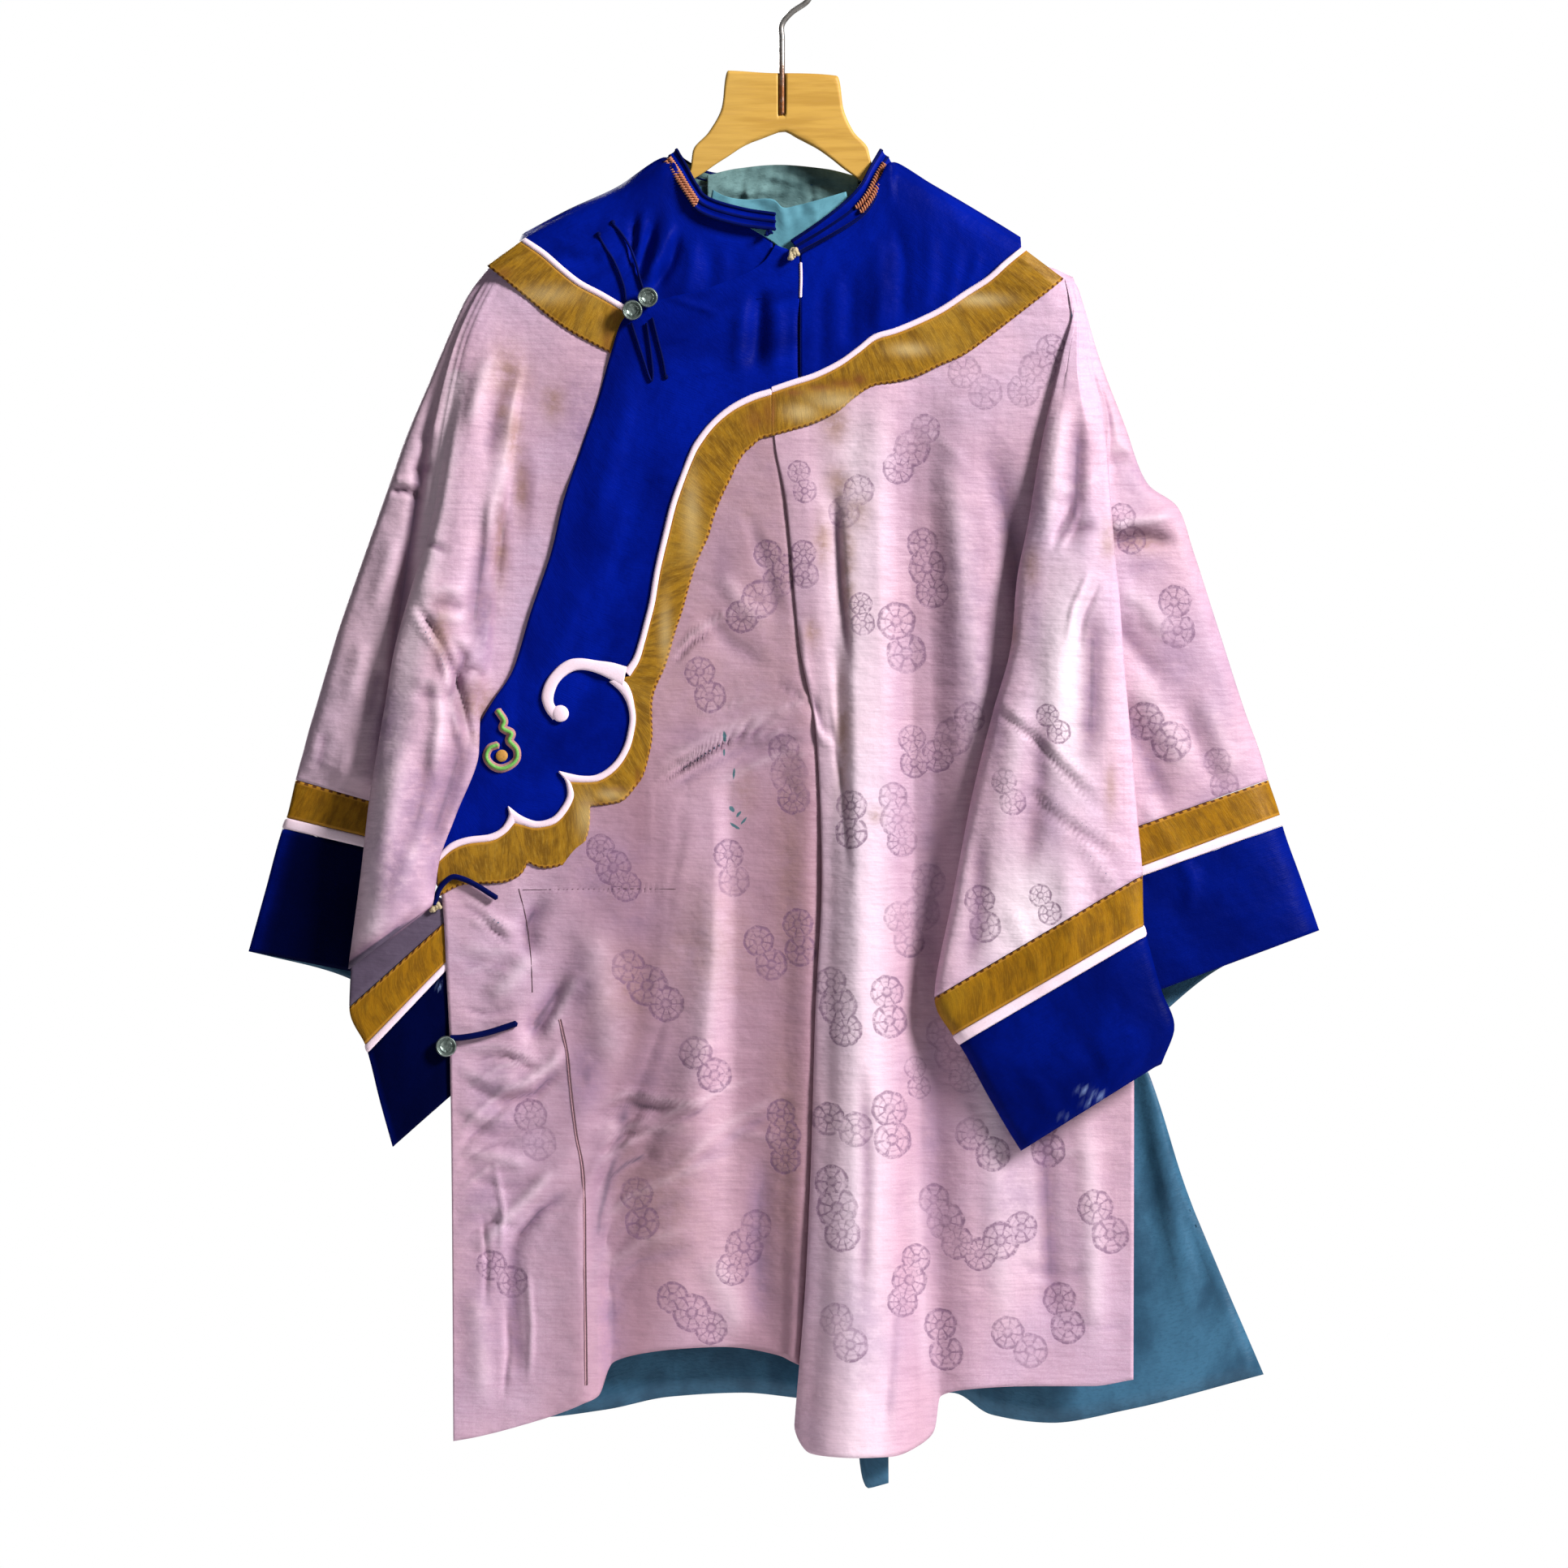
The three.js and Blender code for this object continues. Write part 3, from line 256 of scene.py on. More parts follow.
# ---------------------------------------------------------------- meshes
CAMERA_Z = EYE[2] * 1000
CAMERA_Y = EYE[1] * 1000


def settle(points):
    """Draws what stands forward in by the little that it would look larger from the front."""
    points = np.array(points, float)
    shrink = (points[..., 1:2] - CAMERA_Y) / -CAMERA_Y
    points[..., 0:1] *= shrink
    points[..., 2:3] = CAMERA_Z + (points[..., 2:3] - CAMERA_Z) * shrink
    return points


def piece(name, points, faces, materials, slot, hides=(), layers=None, index=None, tint=None):
    """One mesh object in metres. layers are corner UV maps: name to an array of one [u, v] per corner."""
    points, faces = settle(points).reshape(-1, 3) / 1000, np.asarray(faces)
    mesh = bpy.data.meshes.new(name)
    mesh.vertices.add(len(points))
    mesh.vertices.foreach_set("co", points.ravel())
    width = faces.shape[1]
    mesh.loops.add(faces.size)
    mesh.loops.foreach_set("vertex_index", faces.ravel())
    mesh.polygons.add(len(faces))
    mesh.polygons.foreach_set("loop_start", np.arange(len(faces)) * width)
    mesh.polygons.foreach_set("use_smooth", np.ones(len(faces), bool))
    for material in materials:
        mesh.materials.append(material)
    if index is not None:
        mesh.polygons.foreach_set("material_index", index)
    for key, corners in (layers or {}).items():
        mesh.uv_layers.new(name=key).data.foreach_set("uv", np.asarray(corners, float).ravel())
    if tint is not None:
        colours = np.ones((len(points), 4))
        colours[:, : tint.shape[-1]] = tint.reshape(-1, tint.shape[-1])
        mesh.color_attributes.new("tint", "FLOAT_COLOR", "POINT").data.foreach_set("color", colours.ravel())
    mesh.update(calc_edges=True)
    mesh.validate()
    made = bpy.data.objects.new(name, mesh)
    bpy.context.collection.objects.link(made)
    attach(made, "root")
    if hides:
        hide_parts(*hides)
    return made


CUTS = {}
LEAST_SHARE = 0.31  # of its rectangle that a sheet's cut fills
FAR = 1e9
FLOWER_REACH = 1.35  # radii from a flower's centre that carry its drawing
OFF_FLOWER = 9.0


def shell(name, grid, wall, outer, inner, slot, hides=(), out=1, flowers=None, tint=None, cloth=True,
          maps=None):
    """A thin closed wall on a grid. out is +1 where across x down faces outward, else -1. flowers is as in
    flower_layers, tint has a colour for each point of the grid, and maps has more UV maps of it."""
    m, n = grid.shape[:2]
    normal = normals(grid) * out
    points = np.concatenate([(grid + normal * wall / 2).reshape(-1, 3),
                             (grid - normal * wall / 2).reshape(-1, 3)])
    at = np.arange(m * n).reshape(m, n)
    quads = np.stack([at[:-1, :-1], at[:-1, 1:], at[1:, 1:], at[1:, :-1]], axis=-1).reshape(-1, 4)
    if out < 0:
        quads = quads[:, ::-1]
    edge = np.concatenate([at[0, :], at[1:, -1], at[-1, -2::-1], at[-2:0:-1, 0]])
    following = np.roll(edge, -1)
    rim = np.stack([edge, edge + m * n, following + m * n, following], axis=-1)
    if out < 0:
        rim = rim[:, ::-1]
    faces = np.concatenate([quads, quads[:, ::-1] + m * n, rim])
    u, v = running(grid, 1), running(grid)
    layers = {}
    for key, spread in {"cloth": np.stack([u, v], axis=-1) / 1000, **(maps or {})}.items():
        layers[key] = np.concatenate([spread.reshape(-1, 2)] * 2)[faces.ravel()]
    if flowers is not None:
        layers.update(flower_layers(grid, quads, len(faces), flowers))
    index = np.zeros(len(faces), int)
    index[len(quads): 2 * len(quads)] = 1
    both_tint = None if tint is None else np.concatenate([tint.reshape(m * n, -1)] * 2)
    made = piece(name, points, faces, [outer, inner], slot, hides, layers, index, both_tint)
    if cloth:
        cut = np.linalg.norm(np.cross(grid[1:, :-1] - grid[:-1, :-1], grid[:-1, 1:] - grid[:-1, :-1]),
                             axis=-1).sum()
        wide, long = u[:, -1].max() / 1000, v[-1].max() / 1000
        area = min(max(cut / 1e6, LEAST_SHARE * wide * long), wide * long)
        CUTS[name] = [round(wide, 3), round(long, 3), round(area, 4)]
    return made


def flower_layers(grid, quads, count, flowers):
    """Corner coordinates of each face about its nearest ball flower, and that flower's petals and turn.
    flowers has spots, each [x, z, radius, petals, turn], and where (above 0.5) the faces may carry them."""
    flat = grid.reshape(-1, 3)
    centre = flat[quads].mean(axis=1)
    near, which = np.full(len(quads), FAR), np.full(len(quads), -1)
    for k, (x, z, radius) in enumerate(spot[:3] for spot in flowers["spots"]):
        d = np.hypot(centre[:, 0] - x, centre[:, 2] - z) / radius
        near, which = np.where(d < near, d, near), np.where(d < near, k, which)
    if "where" in flowers:
        which = np.where((flowers["where"][:-1, :-1] > 0.5).reshape(-1), which, -1)
    which = np.where(near < FLOWER_REACH, which, -1)
    table = np.array(flowers["spots"] + [[0, 0, 1, 0, 0]], float)
    chosen = table[which]
    corner = flat[quads]
    a = (corner[..., 0] - chosen[:, None, 0]) / chosen[:, None, 2]
    b = (corner[..., 2] - chosen[:, None, 1]) / chosen[:, None, 2]
    ball = np.stack([a, b], axis=-1)
    ball[which < 0] = OFF_FLOWER
    kind = np.repeat(chosen[:, None, 3:5], 4, axis=1)
    full_ball, full_kind = np.full((count, 4, 2), OFF_FLOWER), np.zeros((count, 4, 2))
    full_ball[: len(quads)], full_kind[: len(quads)] = ball, kind
    return {"ball": full_ball, "kind": full_kind}


def round_faces(rows, sides, flipped=False):
    """The numbers of a closed wall's points, row by row, and its faces."""
    at = np.arange(rows * sides).reshape(rows, sides)
    following = np.roll(at, -1, axis=1)
    corners = [at[:-1], following[:-1], following[1:], at[1:]]
    if flipped:
        corners = [at[:-1], at[1:], following[1:], following[:-1]]
    return at, np.stack(corners, axis=-1).reshape(-1, 4)


def tube(path, radius, sides=10, steps=None, twist=None):
    """A round cord along a smooth path, as (points, faces). twist is (turn, lift, phase) of a strand."""
    path = np.asarray(path, float)
    steps = steps or max(len(path) * 8, 12)
    line = through(path, steps)
    tangent = np.gradient(line, axis=0)
    tangent /= np.maximum(np.linalg.norm(tangent, axis=1, keepdims=True), 1e-9)
    side = np.cross(tangent, [0, 1, 0])
    side /= np.maximum(np.linalg.norm(side, axis=1, keepdims=True), 1e-9)
    up = np.cross(side, tangent)
    if twist:
        turn, lift, phase = twist
        angle = running(line) / turn * 2 * math.pi + phase
        line = line + side * (np.cos(angle) * lift)[:, None] + up * (np.sin(angle) * lift)[:, None]
    around = np.arange(sides) / sides * 2 * math.pi
    ring = (line[:, None] + side[:, None] * (np.cos(around)[None, :, None] * radius)
            + up[:, None] * (np.sin(around)[None, :, None] * radius))
    at, faces = round_faces(steps, sides)
    points = np.concatenate([ring.reshape(-1, 3), line[:1] - tangent[:1] * radius * 0.6,
                             line[-1:] + tangent[-1:] * radius * 0.6])
    caps = []
    for row, tip, turned in ((at[0], steps * sides, False), (at[-1], steps * sides + 1, True)):
        for k in range(0, sides, 2):
            a, b, c = row[k], row[(k + 1) % sides], row[(k + 2) % sides]
            caps.append([tip, a, b, c] if turned else [tip, c, b, a])
    return points, np.concatenate([faces, np.array(caps)])


def joined(name, parts, material, slot, hides=()):
    """Several closed bodies, each (points, faces of 4), as one piece."""
    points, faces, start = [], [], 0
    for p, f in parts:
        points.append(np.asarray(p, float).reshape(-1, 3))
        faces.append(np.asarray(f) + start)
        start += len(points[-1])
    points, faces = np.concatenate(points), np.concatenate(faces)
    uv = points[:, [0, 2]] / 1000
    return piece(name, points, faces, [material], slot, hides, {"cloth": uv[faces.ravel()]})


# ---------------------------------------------------------------- materials
class Paint:
    """A node material built from short calls. Colours are linear."""

    def __init__(self, name, **constant):
        self.material = bpy.data.materials.new(name)
        self.material.use_nodes = True
        self.tree = self.material.node_tree
        self.shader = self.tree.nodes["Principled BSDF"]
        for key, value in constant.items():
            self.shader.inputs[key.replace("_", " ")].default_value = value

    def put(self, kind, inputs=(), **settings):
        node = self.tree.nodes.new("ShaderNode" + kind)
        for key, value in settings.items():
            setattr(node, key, value)
        for key, value in dict(inputs).items():
            if hasattr(value, "links"):
                self.tree.links.new(value, node.inputs[key])
            else:
                node.inputs[key].default_value = value
        return node

    def uv(self, layer):
        return self.put("UVMap", uv_map=layer).outputs[0]

    def place(self):
        return self.put("TexCoord").outputs["Object"]

    def stretch(self, vector, x, y, z=1.0):
        return self.put("Mapping", {"Vector": vector, "Scale": (x, y, z)}).outputs[0]

    def noise(self, vector, scale=1.0, detail=3.0, rough=0.55):
        return self.put("TexNoise", {"Vector": vector, "Scale": scale, "Detail": detail,
                                     "Roughness": rough}).outputs[0]

    def math(self, op, a, b=0.0):
        return self.put("Math", {0: a, 1: b}, operation=op).outputs[0]

    def span(self, value, low, high, to_low=0.0, to_high=1.0):
        return self.put("MapRange", {"Value": value, "From Min": low, "From Max": high, "To Min": to_low,
                                     "To Max": to_high}, interpolation_type="SMOOTHSTEP").outputs[0]

    def mix(self, share, a, b):
        node = self.put("Mix", data_type="RGBA", blend_type="MIX")
        for socket, value in ((node.inputs[0], share), (node.inputs[6], a), (node.inputs[7], b)):
            if hasattr(value, "links"):
                self.tree.links.new(value, socket)
            else:
                socket.default_value = (*value, 1) if isinstance(value, tuple) else value
        return node.outputs[2]

    def split(self, vector):
        return self.put("SeparateXYZ", {0: vector}).outputs

    def tint(self):
        return self.put("SeparateColor", {0: self.put("VertexColor", layer_name="tint").outputs[0]}).outputs

    def bleach_and_highlight(self):
        return self.math("SUBTRACT", 1.0, self.put("VertexColor", layer_name="tint").outputs[1])

    def finish(self, colour, height=None, strength=0.3, distance=0.0006, rough=None):
        self.tree.links.new(colour, self.shader.inputs["Base Color"])
        if rough is not None:
            self.tree.links.new(rough, self.shader.inputs["Roughness"])
        if height is not None:
            bump = self.put("Bump", {"Height": height, "Strength": strength, "Distance": distance})
            self.tree.links.new(bump.outputs[0], self.shader.inputs["Normal"])
        return self.material


def ball_flower(p):
    """Line drawing of one ball flower, 0 to 1, from the 'ball' and 'kind' maps."""
    ball, kind = p.split(p.uv("ball")), p.split(p.uv("kind"))
    a, b = ball[0], ball[1]
    radius = p.math("SQRT", p.math("ADD", p.math("MULTIPLY", a, a), p.math("MULTIPLY", b, b)))
    angle = p.math("ADD", p.math("ARCTAN2", b, a), kind[1])
    petals = kind[0]
    wave = p.math("ABSOLUTE", p.math("SINE", p.math("MULTIPLY", p.math("MULTIPLY", angle, petals), 0.5)))
    wobble = p.math("MULTIPLY", p.math("SUBTRACT", p.noise(p.stretch(p.uv("ball"), 2.2, 2.2), 1.0, 2.0),
                                       0.5), 0.16)
    radius = p.math("ADD", radius, wobble)

    def line(value, at, half):
        return p.span(p.math("ABSOLUTE", p.math("SUBTRACT", value, at)), half, half * 0.25)

    petal = p.math("MULTIPLY", p.span(wave, 0.22, 0.5), p.math("MULTIPLY", p.span(radius, 0.28, 0.38),
                                                              p.span(radius, 0.86, 0.74)))
    light = p.math("MAXIMUM", petal, p.math("MULTIPLY", p.span(radius, 0.22, 0.12), 0.8))
    rim = p.math("MULTIPLY", line(radius, p.math("ADD", p.math("MULTIPLY", wave, 0.05), 0.88), 0.11), 0.85)
    stroke = p.math("MULTIPLY", line(radius, 0.58, 0.07), 0.45)
    drawn = p.math("MULTIPLY", p.span(radius, 0.98, 0.9),
                   p.math("SUBTRACT", 1.0, p.math("MULTIPLY", light, 0.92)))
    drawn = p.math("MAXIMUM", p.math("MULTIPLY", drawn, 0.8), p.math("MAXIMUM", rim, stroke))
    rubbed = p.span(p.noise(p.stretch(p.place(), 230, 230, 230), 1.0, 4.0, 0.8), 0.34, 0.58, 0.2, 1.0)
    faded = p.span(p.noise(p.stretch(p.place(), 15, 15, 19), 1.0, 2.0), 0.32, 0.56, 0.5, 1.0)
    return p.math("MULTIPLY", drawn, p.math("MULTIPLY", rubbed, faded))


def worn_spot(p, x, z, wide, tall, lean):
    """0 to 1 in a ragged worn-through spot, in millimetres on the front."""
    place = p.put("Mapping", {"Vector": p.place(), "Location": (-x / 1000, 0, -z / 1000)},
                  vector_type="POINT").outputs[0]
    turned = p.put("Mapping", {"Vector": place, "Rotation": (0, lean, 0)}).outputs[0]
    scaled = p.put("Mapping", {"Vector": turned, "Scale": (1000 / wide, 0, 1000 / tall)}).outputs[0]
    away = p.put("VectorMath", {0: scaled}, operation="LENGTH").outputs[1]
    ragged = p.math("ADD", away, p.math("MULTIPLY", p.noise(p.stretch(p.place(), 700, 700, 700), 1.0, 3.0),
                                        0.9))
    return p.span(ragged, 1.45, 1.1)


def damask(name, marks=()):
    """Lilac silk: weft slubs, faint pile of shades, ball flowers, and stains, wear, painted shade and
    painted highlight from the tint map.
    """
    p = Paint(name, Roughness=0.56, Specular_IOR_Level=0.3, Sheen_Weight=0.0)
    cloth, place = p.uv("cloth"), p.place()
    tint = p.tint()
    cloud = p.noise(p.stretch(place, 9, 6, 7), 1.0, 4.0, 0.6)
    slub = p.noise(p.stretch(place, 34, 60, 460), 1.0, 3.0, 0.6)
    warp = p.noise(p.stretch(place, 380, 60, 12), 1.0, 2.0)
    grain = p.noise(p.stretch(cloth, 900, 900), 1.0, 1.0)
    colour = p.mix(p.span(cloud, 0.35, 0.68), (0.64, 0.405, 0.52), (0.55, 0.375, 0.52))
    colour = p.mix(p.span(slub, 0.42, 0.72, 0.0, 0.42), colour, (0.40, 0.23, 0.34))
    colour = p.mix(p.span(warp, 0.5, 0.75, 0.0, 0.22), colour, (0.44, 0.26, 0.38))
    colour = p.mix(p.span(grain, 0.4, 0.7, 0.0, 0.12), colour, (0.95, 0.80, 0.90))
    mottle = p.noise(p.stretch(place, 30, 30, 44), 1.0, 5.0, 0.7)
    colour = p.mix(p.span(mottle, 0.46, 0.68, 0.0, 0.4), colour, (0.46, 0.28, 0.40))
    # the pale colour mixed in here is mostly painted highlight, with some bleaching
    colour = p.mix(p.bleach_and_highlight(), colour, (0.90, 0.76, 0.84))
    # tint: red is brown staining, green is a rosy tone and painted shade, blue is violet bloom and painted
    # shade, and alpha under 1 is bleaching and painted highlight
    patch = p.span(p.noise(p.stretch(place, 60, 50, 70), 1.0, 5.0, 0.7), 0.3, 0.62, 0.35, 1.0)
    colour = p.mix(p.math("MULTIPLY", tint[1], 0.85), colour, (0.29, 0.15, 0.195))
    colour = p.mix(p.math("MULTIPLY", p.math("MULTIPLY", tint[2], patch), 0.85), colour,
                   (0.265, 0.16, 0.275))
    colour = p.mix(p.math("MULTIPLY", p.math("MULTIPLY", tint[0], patch), 0.85), colour,
                   (0.27, 0.15, 0.085))
    # where rosy and violet are both strong, a near-black painted deep shade
    deep = p.span(p.math("MULTIPLY", tint[1], tint[2]), 0.6, 1.0)
    colour = p.mix(deep, colour, (0.085, 0.06, 0.10))
    crumple = p.noise(p.stretch(place, 42, 42, 60), 1.0, 3.0, 0.55)
    slanted = p.put("Mapping", {"Vector": place, "Rotation": (0, 0.75, 0),
                                "Scale": (34, 30, 150)}).outputs[0]
    pulls = p.noise(slanted, 1.0, 2.0, 0.5)
    height = p.math("ADD", p.math("MULTIPLY", slub, 0.6), p.math("MULTIPLY", grain, 0.2))
    height = p.math("ADD", height, p.math("ADD", p.math("MULTIPLY", crumple, 4.0),
                                          p.math("MULTIPLY", pulls, 1.6)))
    for x, z, wide, tall, lean in marks:
        colour = p.mix(worn_spot(p, x, z, wide, tall, lean), colour, (0.06, 0.13, 0.16))
    drawn = ball_flower(p)
    colour = p.mix(p.math("MULTIPLY", drawn, 0.9), colour, (0.15, 0.07, 0.145))
    height = p.math("SUBTRACT", height, p.math("MULTIPLY", drawn, 0.3))
    return p.finish(colour, height, 0.5, 0.0009)


def satin(name, base=(0.0004, 0.0092, 0.27), deep=(0.0002, 0.0042, 0.14), sheen=0.0, rough=0.42):
    p = Paint(name, Roughness=rough, Specular_IOR_Level=0.02, Sheen_Weight=sheen, Sheen_Roughness=0.5)
    cloth = p.uv("cloth")
    cloud = p.noise(p.stretch(cloth, 14, 10), 1.0, 4.0)
    thread = p.noise(p.stretch(cloth, 60, 1400), 1.0, 2.0)
    rub = p.noise(p.stretch(cloth, 110, 40), 1.0, 4.0, 0.7)
    colour = p.mix(p.span(cloud, 0.32, 0.66), base, deep)
    colour = p.mix(p.span(p.noise(p.stretch(cloth, 60, 45), 1.0, 4.0, 0.7), 0.45, 0.75, 0.0, 0.45), colour,
                   deep)
    colour = p.mix(p.span(thread, 0.45, 0.75, 0.0, 0.4), colour, deep)
    colour = p.mix(p.span(rub, 0.66, 0.8, 0.0, 0.25), colour, (0.01, 0.03, 0.40))
    # tint: red is white scuffing, green is painted shade, near black, blue is rubbed lighter
    tint = p.tint()
    broken = p.span(rub, 0.35, 0.55)
    colour = p.mix(p.math("MULTIPLY", tint[1], 0.96), colour, (0.0001, 0.0006, 0.008))
    colour = p.mix(p.math("MULTIPLY", tint[2], 0.5), colour, (0.004, 0.04, 0.42))
    colour = p.mix(p.math("MULTIPLY", tint[0], broken), colour, (0.22, 0.30, 0.55))
    crumple = p.noise(p.stretch(p.place(), 48, 48, 60), 1.0, 5.0, 0.6)
    return p.finish(colour, p.math("ADD", thread, p.math("MULTIPLY", crumple, 6.0)), 0.3, 0.0007)


def ribbon(name, base, dark, light, pitch):
    """Gold ribbon: cross streaks, a brighter selvedge at both edges and dark picots along the outer one.
    'cloth' runs along and in from the piping, 'edge' along and in from the outer edge."""
    p = Paint(name, Roughness=0.5, Metallic=0.0, Specular_IOR_Level=0.12)
    cloth, edge = p.uv("cloth"), p.split(p.uv("edge"))
    from_piping = p.split(cloth)[1]
    blotch = p.noise(p.stretch(cloth, 150, 40), 1.0, 4.0, 0.7)
    thread = p.noise(p.stretch(cloth, 900, 120), 1.0, 2.0)
    rib = p.noise(p.stretch(cloth, 240, 1900), 1.0, 2.0)
    broad = p.noise(p.stretch(cloth, 16, 8), 1.0, 3.0)
    colour = p.mix(p.span(blotch, 0.36, 0.64), base, dark)
    colour = p.mix(p.span(broad, 0.48, 0.72, 0.0, 0.5), colour, light)
    colour = p.mix(p.span(thread, 0.48, 0.8, 0.0, 0.45), colour, light)
    colour = p.mix(p.span(rib, 0.5, 0.75, 0.0, 0.3), colour, dark)
    selvedge = p.math("MAXIMUM", p.span(from_piping, 0.0026, 0.0014), p.span(edge[1], 0.0030, 0.0018))
    colour = p.mix(p.math("MULTIPLY", selvedge, 0.6), colour, (0.50, 0.235, 0.028))
    wave = p.math("SINE", p.math("MULTIPLY", edge[0], 2 * math.pi / pitch))
    picot = p.math("MULTIPLY", p.span(wave, -0.3, 0.4), p.span(edge[1], 0.0021, 0.0013))
    colour = p.mix(p.math("MULTIPLY", picot, 0.9), colour, (0.07, 0.018, 0.008))
    # tint: red is darkening, painted shade in the ribbon's folds, pleat and notch, and stains; blue is
    # rubbed pale patches and painted highlight on the folds
    tint = p.tint()
    colour = p.mix(tint[0], colour, (0.20, 0.07, 0.015))
    colour = p.mix(p.math("MULTIPLY", tint[2], 0.6), colour, (0.74, 0.57, 0.28))
    height = p.math("ADD", p.math("MULTIPLY", rib, 0.6), p.math("MULTIPLY", thread, 0.8))
    return p.finish(colour, height, 0.45, 0.0006, p.span(blotch, 0.3, 0.7, 0.38, 0.58))


def plain(name, base, shade, weave=(300, 500), rough=0.6, sheen=0.1, strength=0.25, mottle=0.5):
    p = Paint(name, Roughness=rough, Specular_IOR_Level=0.2, Sheen_Weight=sheen)
    cloth = p.uv("cloth")
    cloud = p.noise(p.stretch(cloth, 22, 16), 1.0, 4.0, 0.6)
    thread = p.noise(p.stretch(cloth, *weave), 1.0, 3.0)
    colour = p.mix(p.span(cloud, 0.35, 0.68, 0.0, mottle), base, shade)
    colour = p.mix(p.span(thread, 0.45, 0.75, 0.0, 0.45), colour, shade)
    return p.finish(colour, p.math("ADD", thread, p.math("MULTIPLY", cloud, 0.3)), strength, 0.0006)


LILAC = damask("lilac_damask")
LILAC_WORN = damask("lilac_damask_worn", marks=[
    (-44.6, -600, 1.6, 5.2, 0.1), (-45, -612, 0.9, 3, 0.0), (-37.5, -628, 1.1, 5, -0.1),
                                                (-39, -655, 2.2, 3.0, 0.6),
    (-34, -659, 3.4, 1.2, 0.9), (-37, -668, 1.4, 4.6, 1.0), (-30, -664, 1.0, 4, -0.7)])
BLUE = satin("blue_satin")
CUFF_BLUE = satin("cuff_satin", (0.0004, 0.0075, 0.20), (0.0002, 0.0035, 0.10))
GOLD = ribbon("gold_ribbon", (0.34, 0.17, 0.012), (0.17, 0.078, 0.006), (0.46, 0.28, 0.045), 0.0045)
CUFF_GOLD = ribbon("cuff_gold", (0.31, 0.14, 0.005), (0.18, 0.078, 0.003), (0.38, 0.21, 0.012), 0.0065)
PINK = plain("pink_piping", (0.90, 0.72, 0.84), (0.80, 0.56, 0.62), (700, 700), 0.55, 0.2, 0.2, 0.35)
TEAL = plain("teal_lining", (0.038, 0.122, 0.21), (0.017, 0.060, 0.112), (240, 520), 0.45, 0.03, 0.5, 1.0)
NECK = plain("neck_facing", (0.15, 0.27, 0.275), (0.04, 0.09, 0.095), (160, 300), 0.7, 0.05, 1.0, 1.0)
AQUA = plain("throat_facing", (0.11, 0.31, 0.39), (0.06, 0.19, 0.25), (160, 300), 0.7, 0.1, 0.3, 0.7)
NAVY = satin("navy_binding", (0.0012, 0.005, 0.095), (0.0006, 0.002, 0.04), 0.02, 0.5)
COPPER = plain("copper_braid", (0.55, 0.22, 0.115), (0.30, 0.10, 0.05), (900, 900), 0.5, 0.1, 0.5)
CREAM = plain("cream_knot", (0.62, 0.52, 0.34), (0.30, 0.22, 0.10), (900, 900), 0.6, 0.1, 0.5)


# ---------------------------------------------------------------- ball flowers
PETALS = 8


def cluster(x, z, lean=0.0, size=12.5):
    """Three overlapping balls, the middle one larger, strung along a leaning line."""
    dx, dz = math.sin(lean) * size * 1.45, math.cos(lean) * size * 1.45
    return [[x, z, size * 1.15, PETALS, 0.3], [x - dx, z + dz, size * 0.95, 6, 1.1],
            [x + dx, z - dz, size, 10, 0.0]]


def pair(x, z, lean=0.0, size=12.5):
    dx, dz = math.sin(lean) * size * 0.85, math.cos(lean) * size * 0.85
    return [[x - dx, z + dz, size, PETALS, 0.2], [x + dx, z - dz, size * 1.05, 6, 0.9]]


FLOWERS_LEFT = (
    cluster(98, -380, -0.6) + cluster(110, -471, 0.2, 13) + pair(90, -524, 0.3, 15) + cluster(130, -600,
                                                                                              -0.7, 13)
    + pair(99, -611, 0.1, 11) + pair(52, -663, 0.0, 12) + cluster(87, -663, 0.2, 12) + pair(108, -722,
                                                                                            -0.2, 14)
    + pair(92, -747, 0.4, 12) + cluster(42, -806, 0.3, 13) + pair(80, -806, 0.1, 13) + cluster(130, -843,
                                                                                               0.5, 13)
    + pair(45, -896, 1.2, 13) + pair(82, -896, 0.1, 14) + pair(102, -860, 0.2, 9) + pair(152, -911, 0.8, 13)
    + cluster(41, -960, 0.2, 14) + cluster(124, -970, 0.5, 13) + cluster(96, -1015, -0.3, 12) + pair(46,
                                                                                                     -1055,
                                                                                                     0.5,
                                                                                                     13)
    + pair(122, -1060, 0.2, 13) + cluster(166, -985, -1.0, 13) + pair(244, -970, 0.5, 14) + cluster(194,
                                                                                                    -320,
                                                                                                    -0.6,
                                                                                                    13)
    + pair(146, -329, 0.8, 13) + pair(52, -420, -0.6, 12) + pair(14, -405, 0.3, 9) + pair(16, -468, 0.1, 10)
    + pair(60, -506, 0.1, 9) + pair(214, -1040, 0.3, 13) + pair(200, -905, 0.2, 13) + pair(180, -1062, 0.9,
                                                                                           13)
)
FLOWERS_RIGHT = (
    cluster(-18, -495, -0.8, 13) + pair(-5, -466, 0.9, 11) + cluster(4, -628, 0.2, 13) + pair(-14, -765,
                                                                                              0.5, 12)
    + pair(12, -753, 0.1, 12) + cluster(-104, -790, 0.8, 14) + pair(-40, -700, 0.2, 12) + cluster(-130,
                                                                                                  -700,
                                                                                                  0.6, 12)
    + pair(-60, -850, 0.7, 13) + cluster(0, -905, 0.1, 12) + pair(-190, -900, 0.3, 13) + cluster(-30, -990,
                                                                                                 -0.5, 13)
    + pair(-110, -960, 0.2, 13) + pair(-215, -1010, 0.9, 12) + cluster(-70, -1040, 0.9, 13) + pair(-60,
                                                                                                   -560,
                                                                                                   0.4, 12)
)
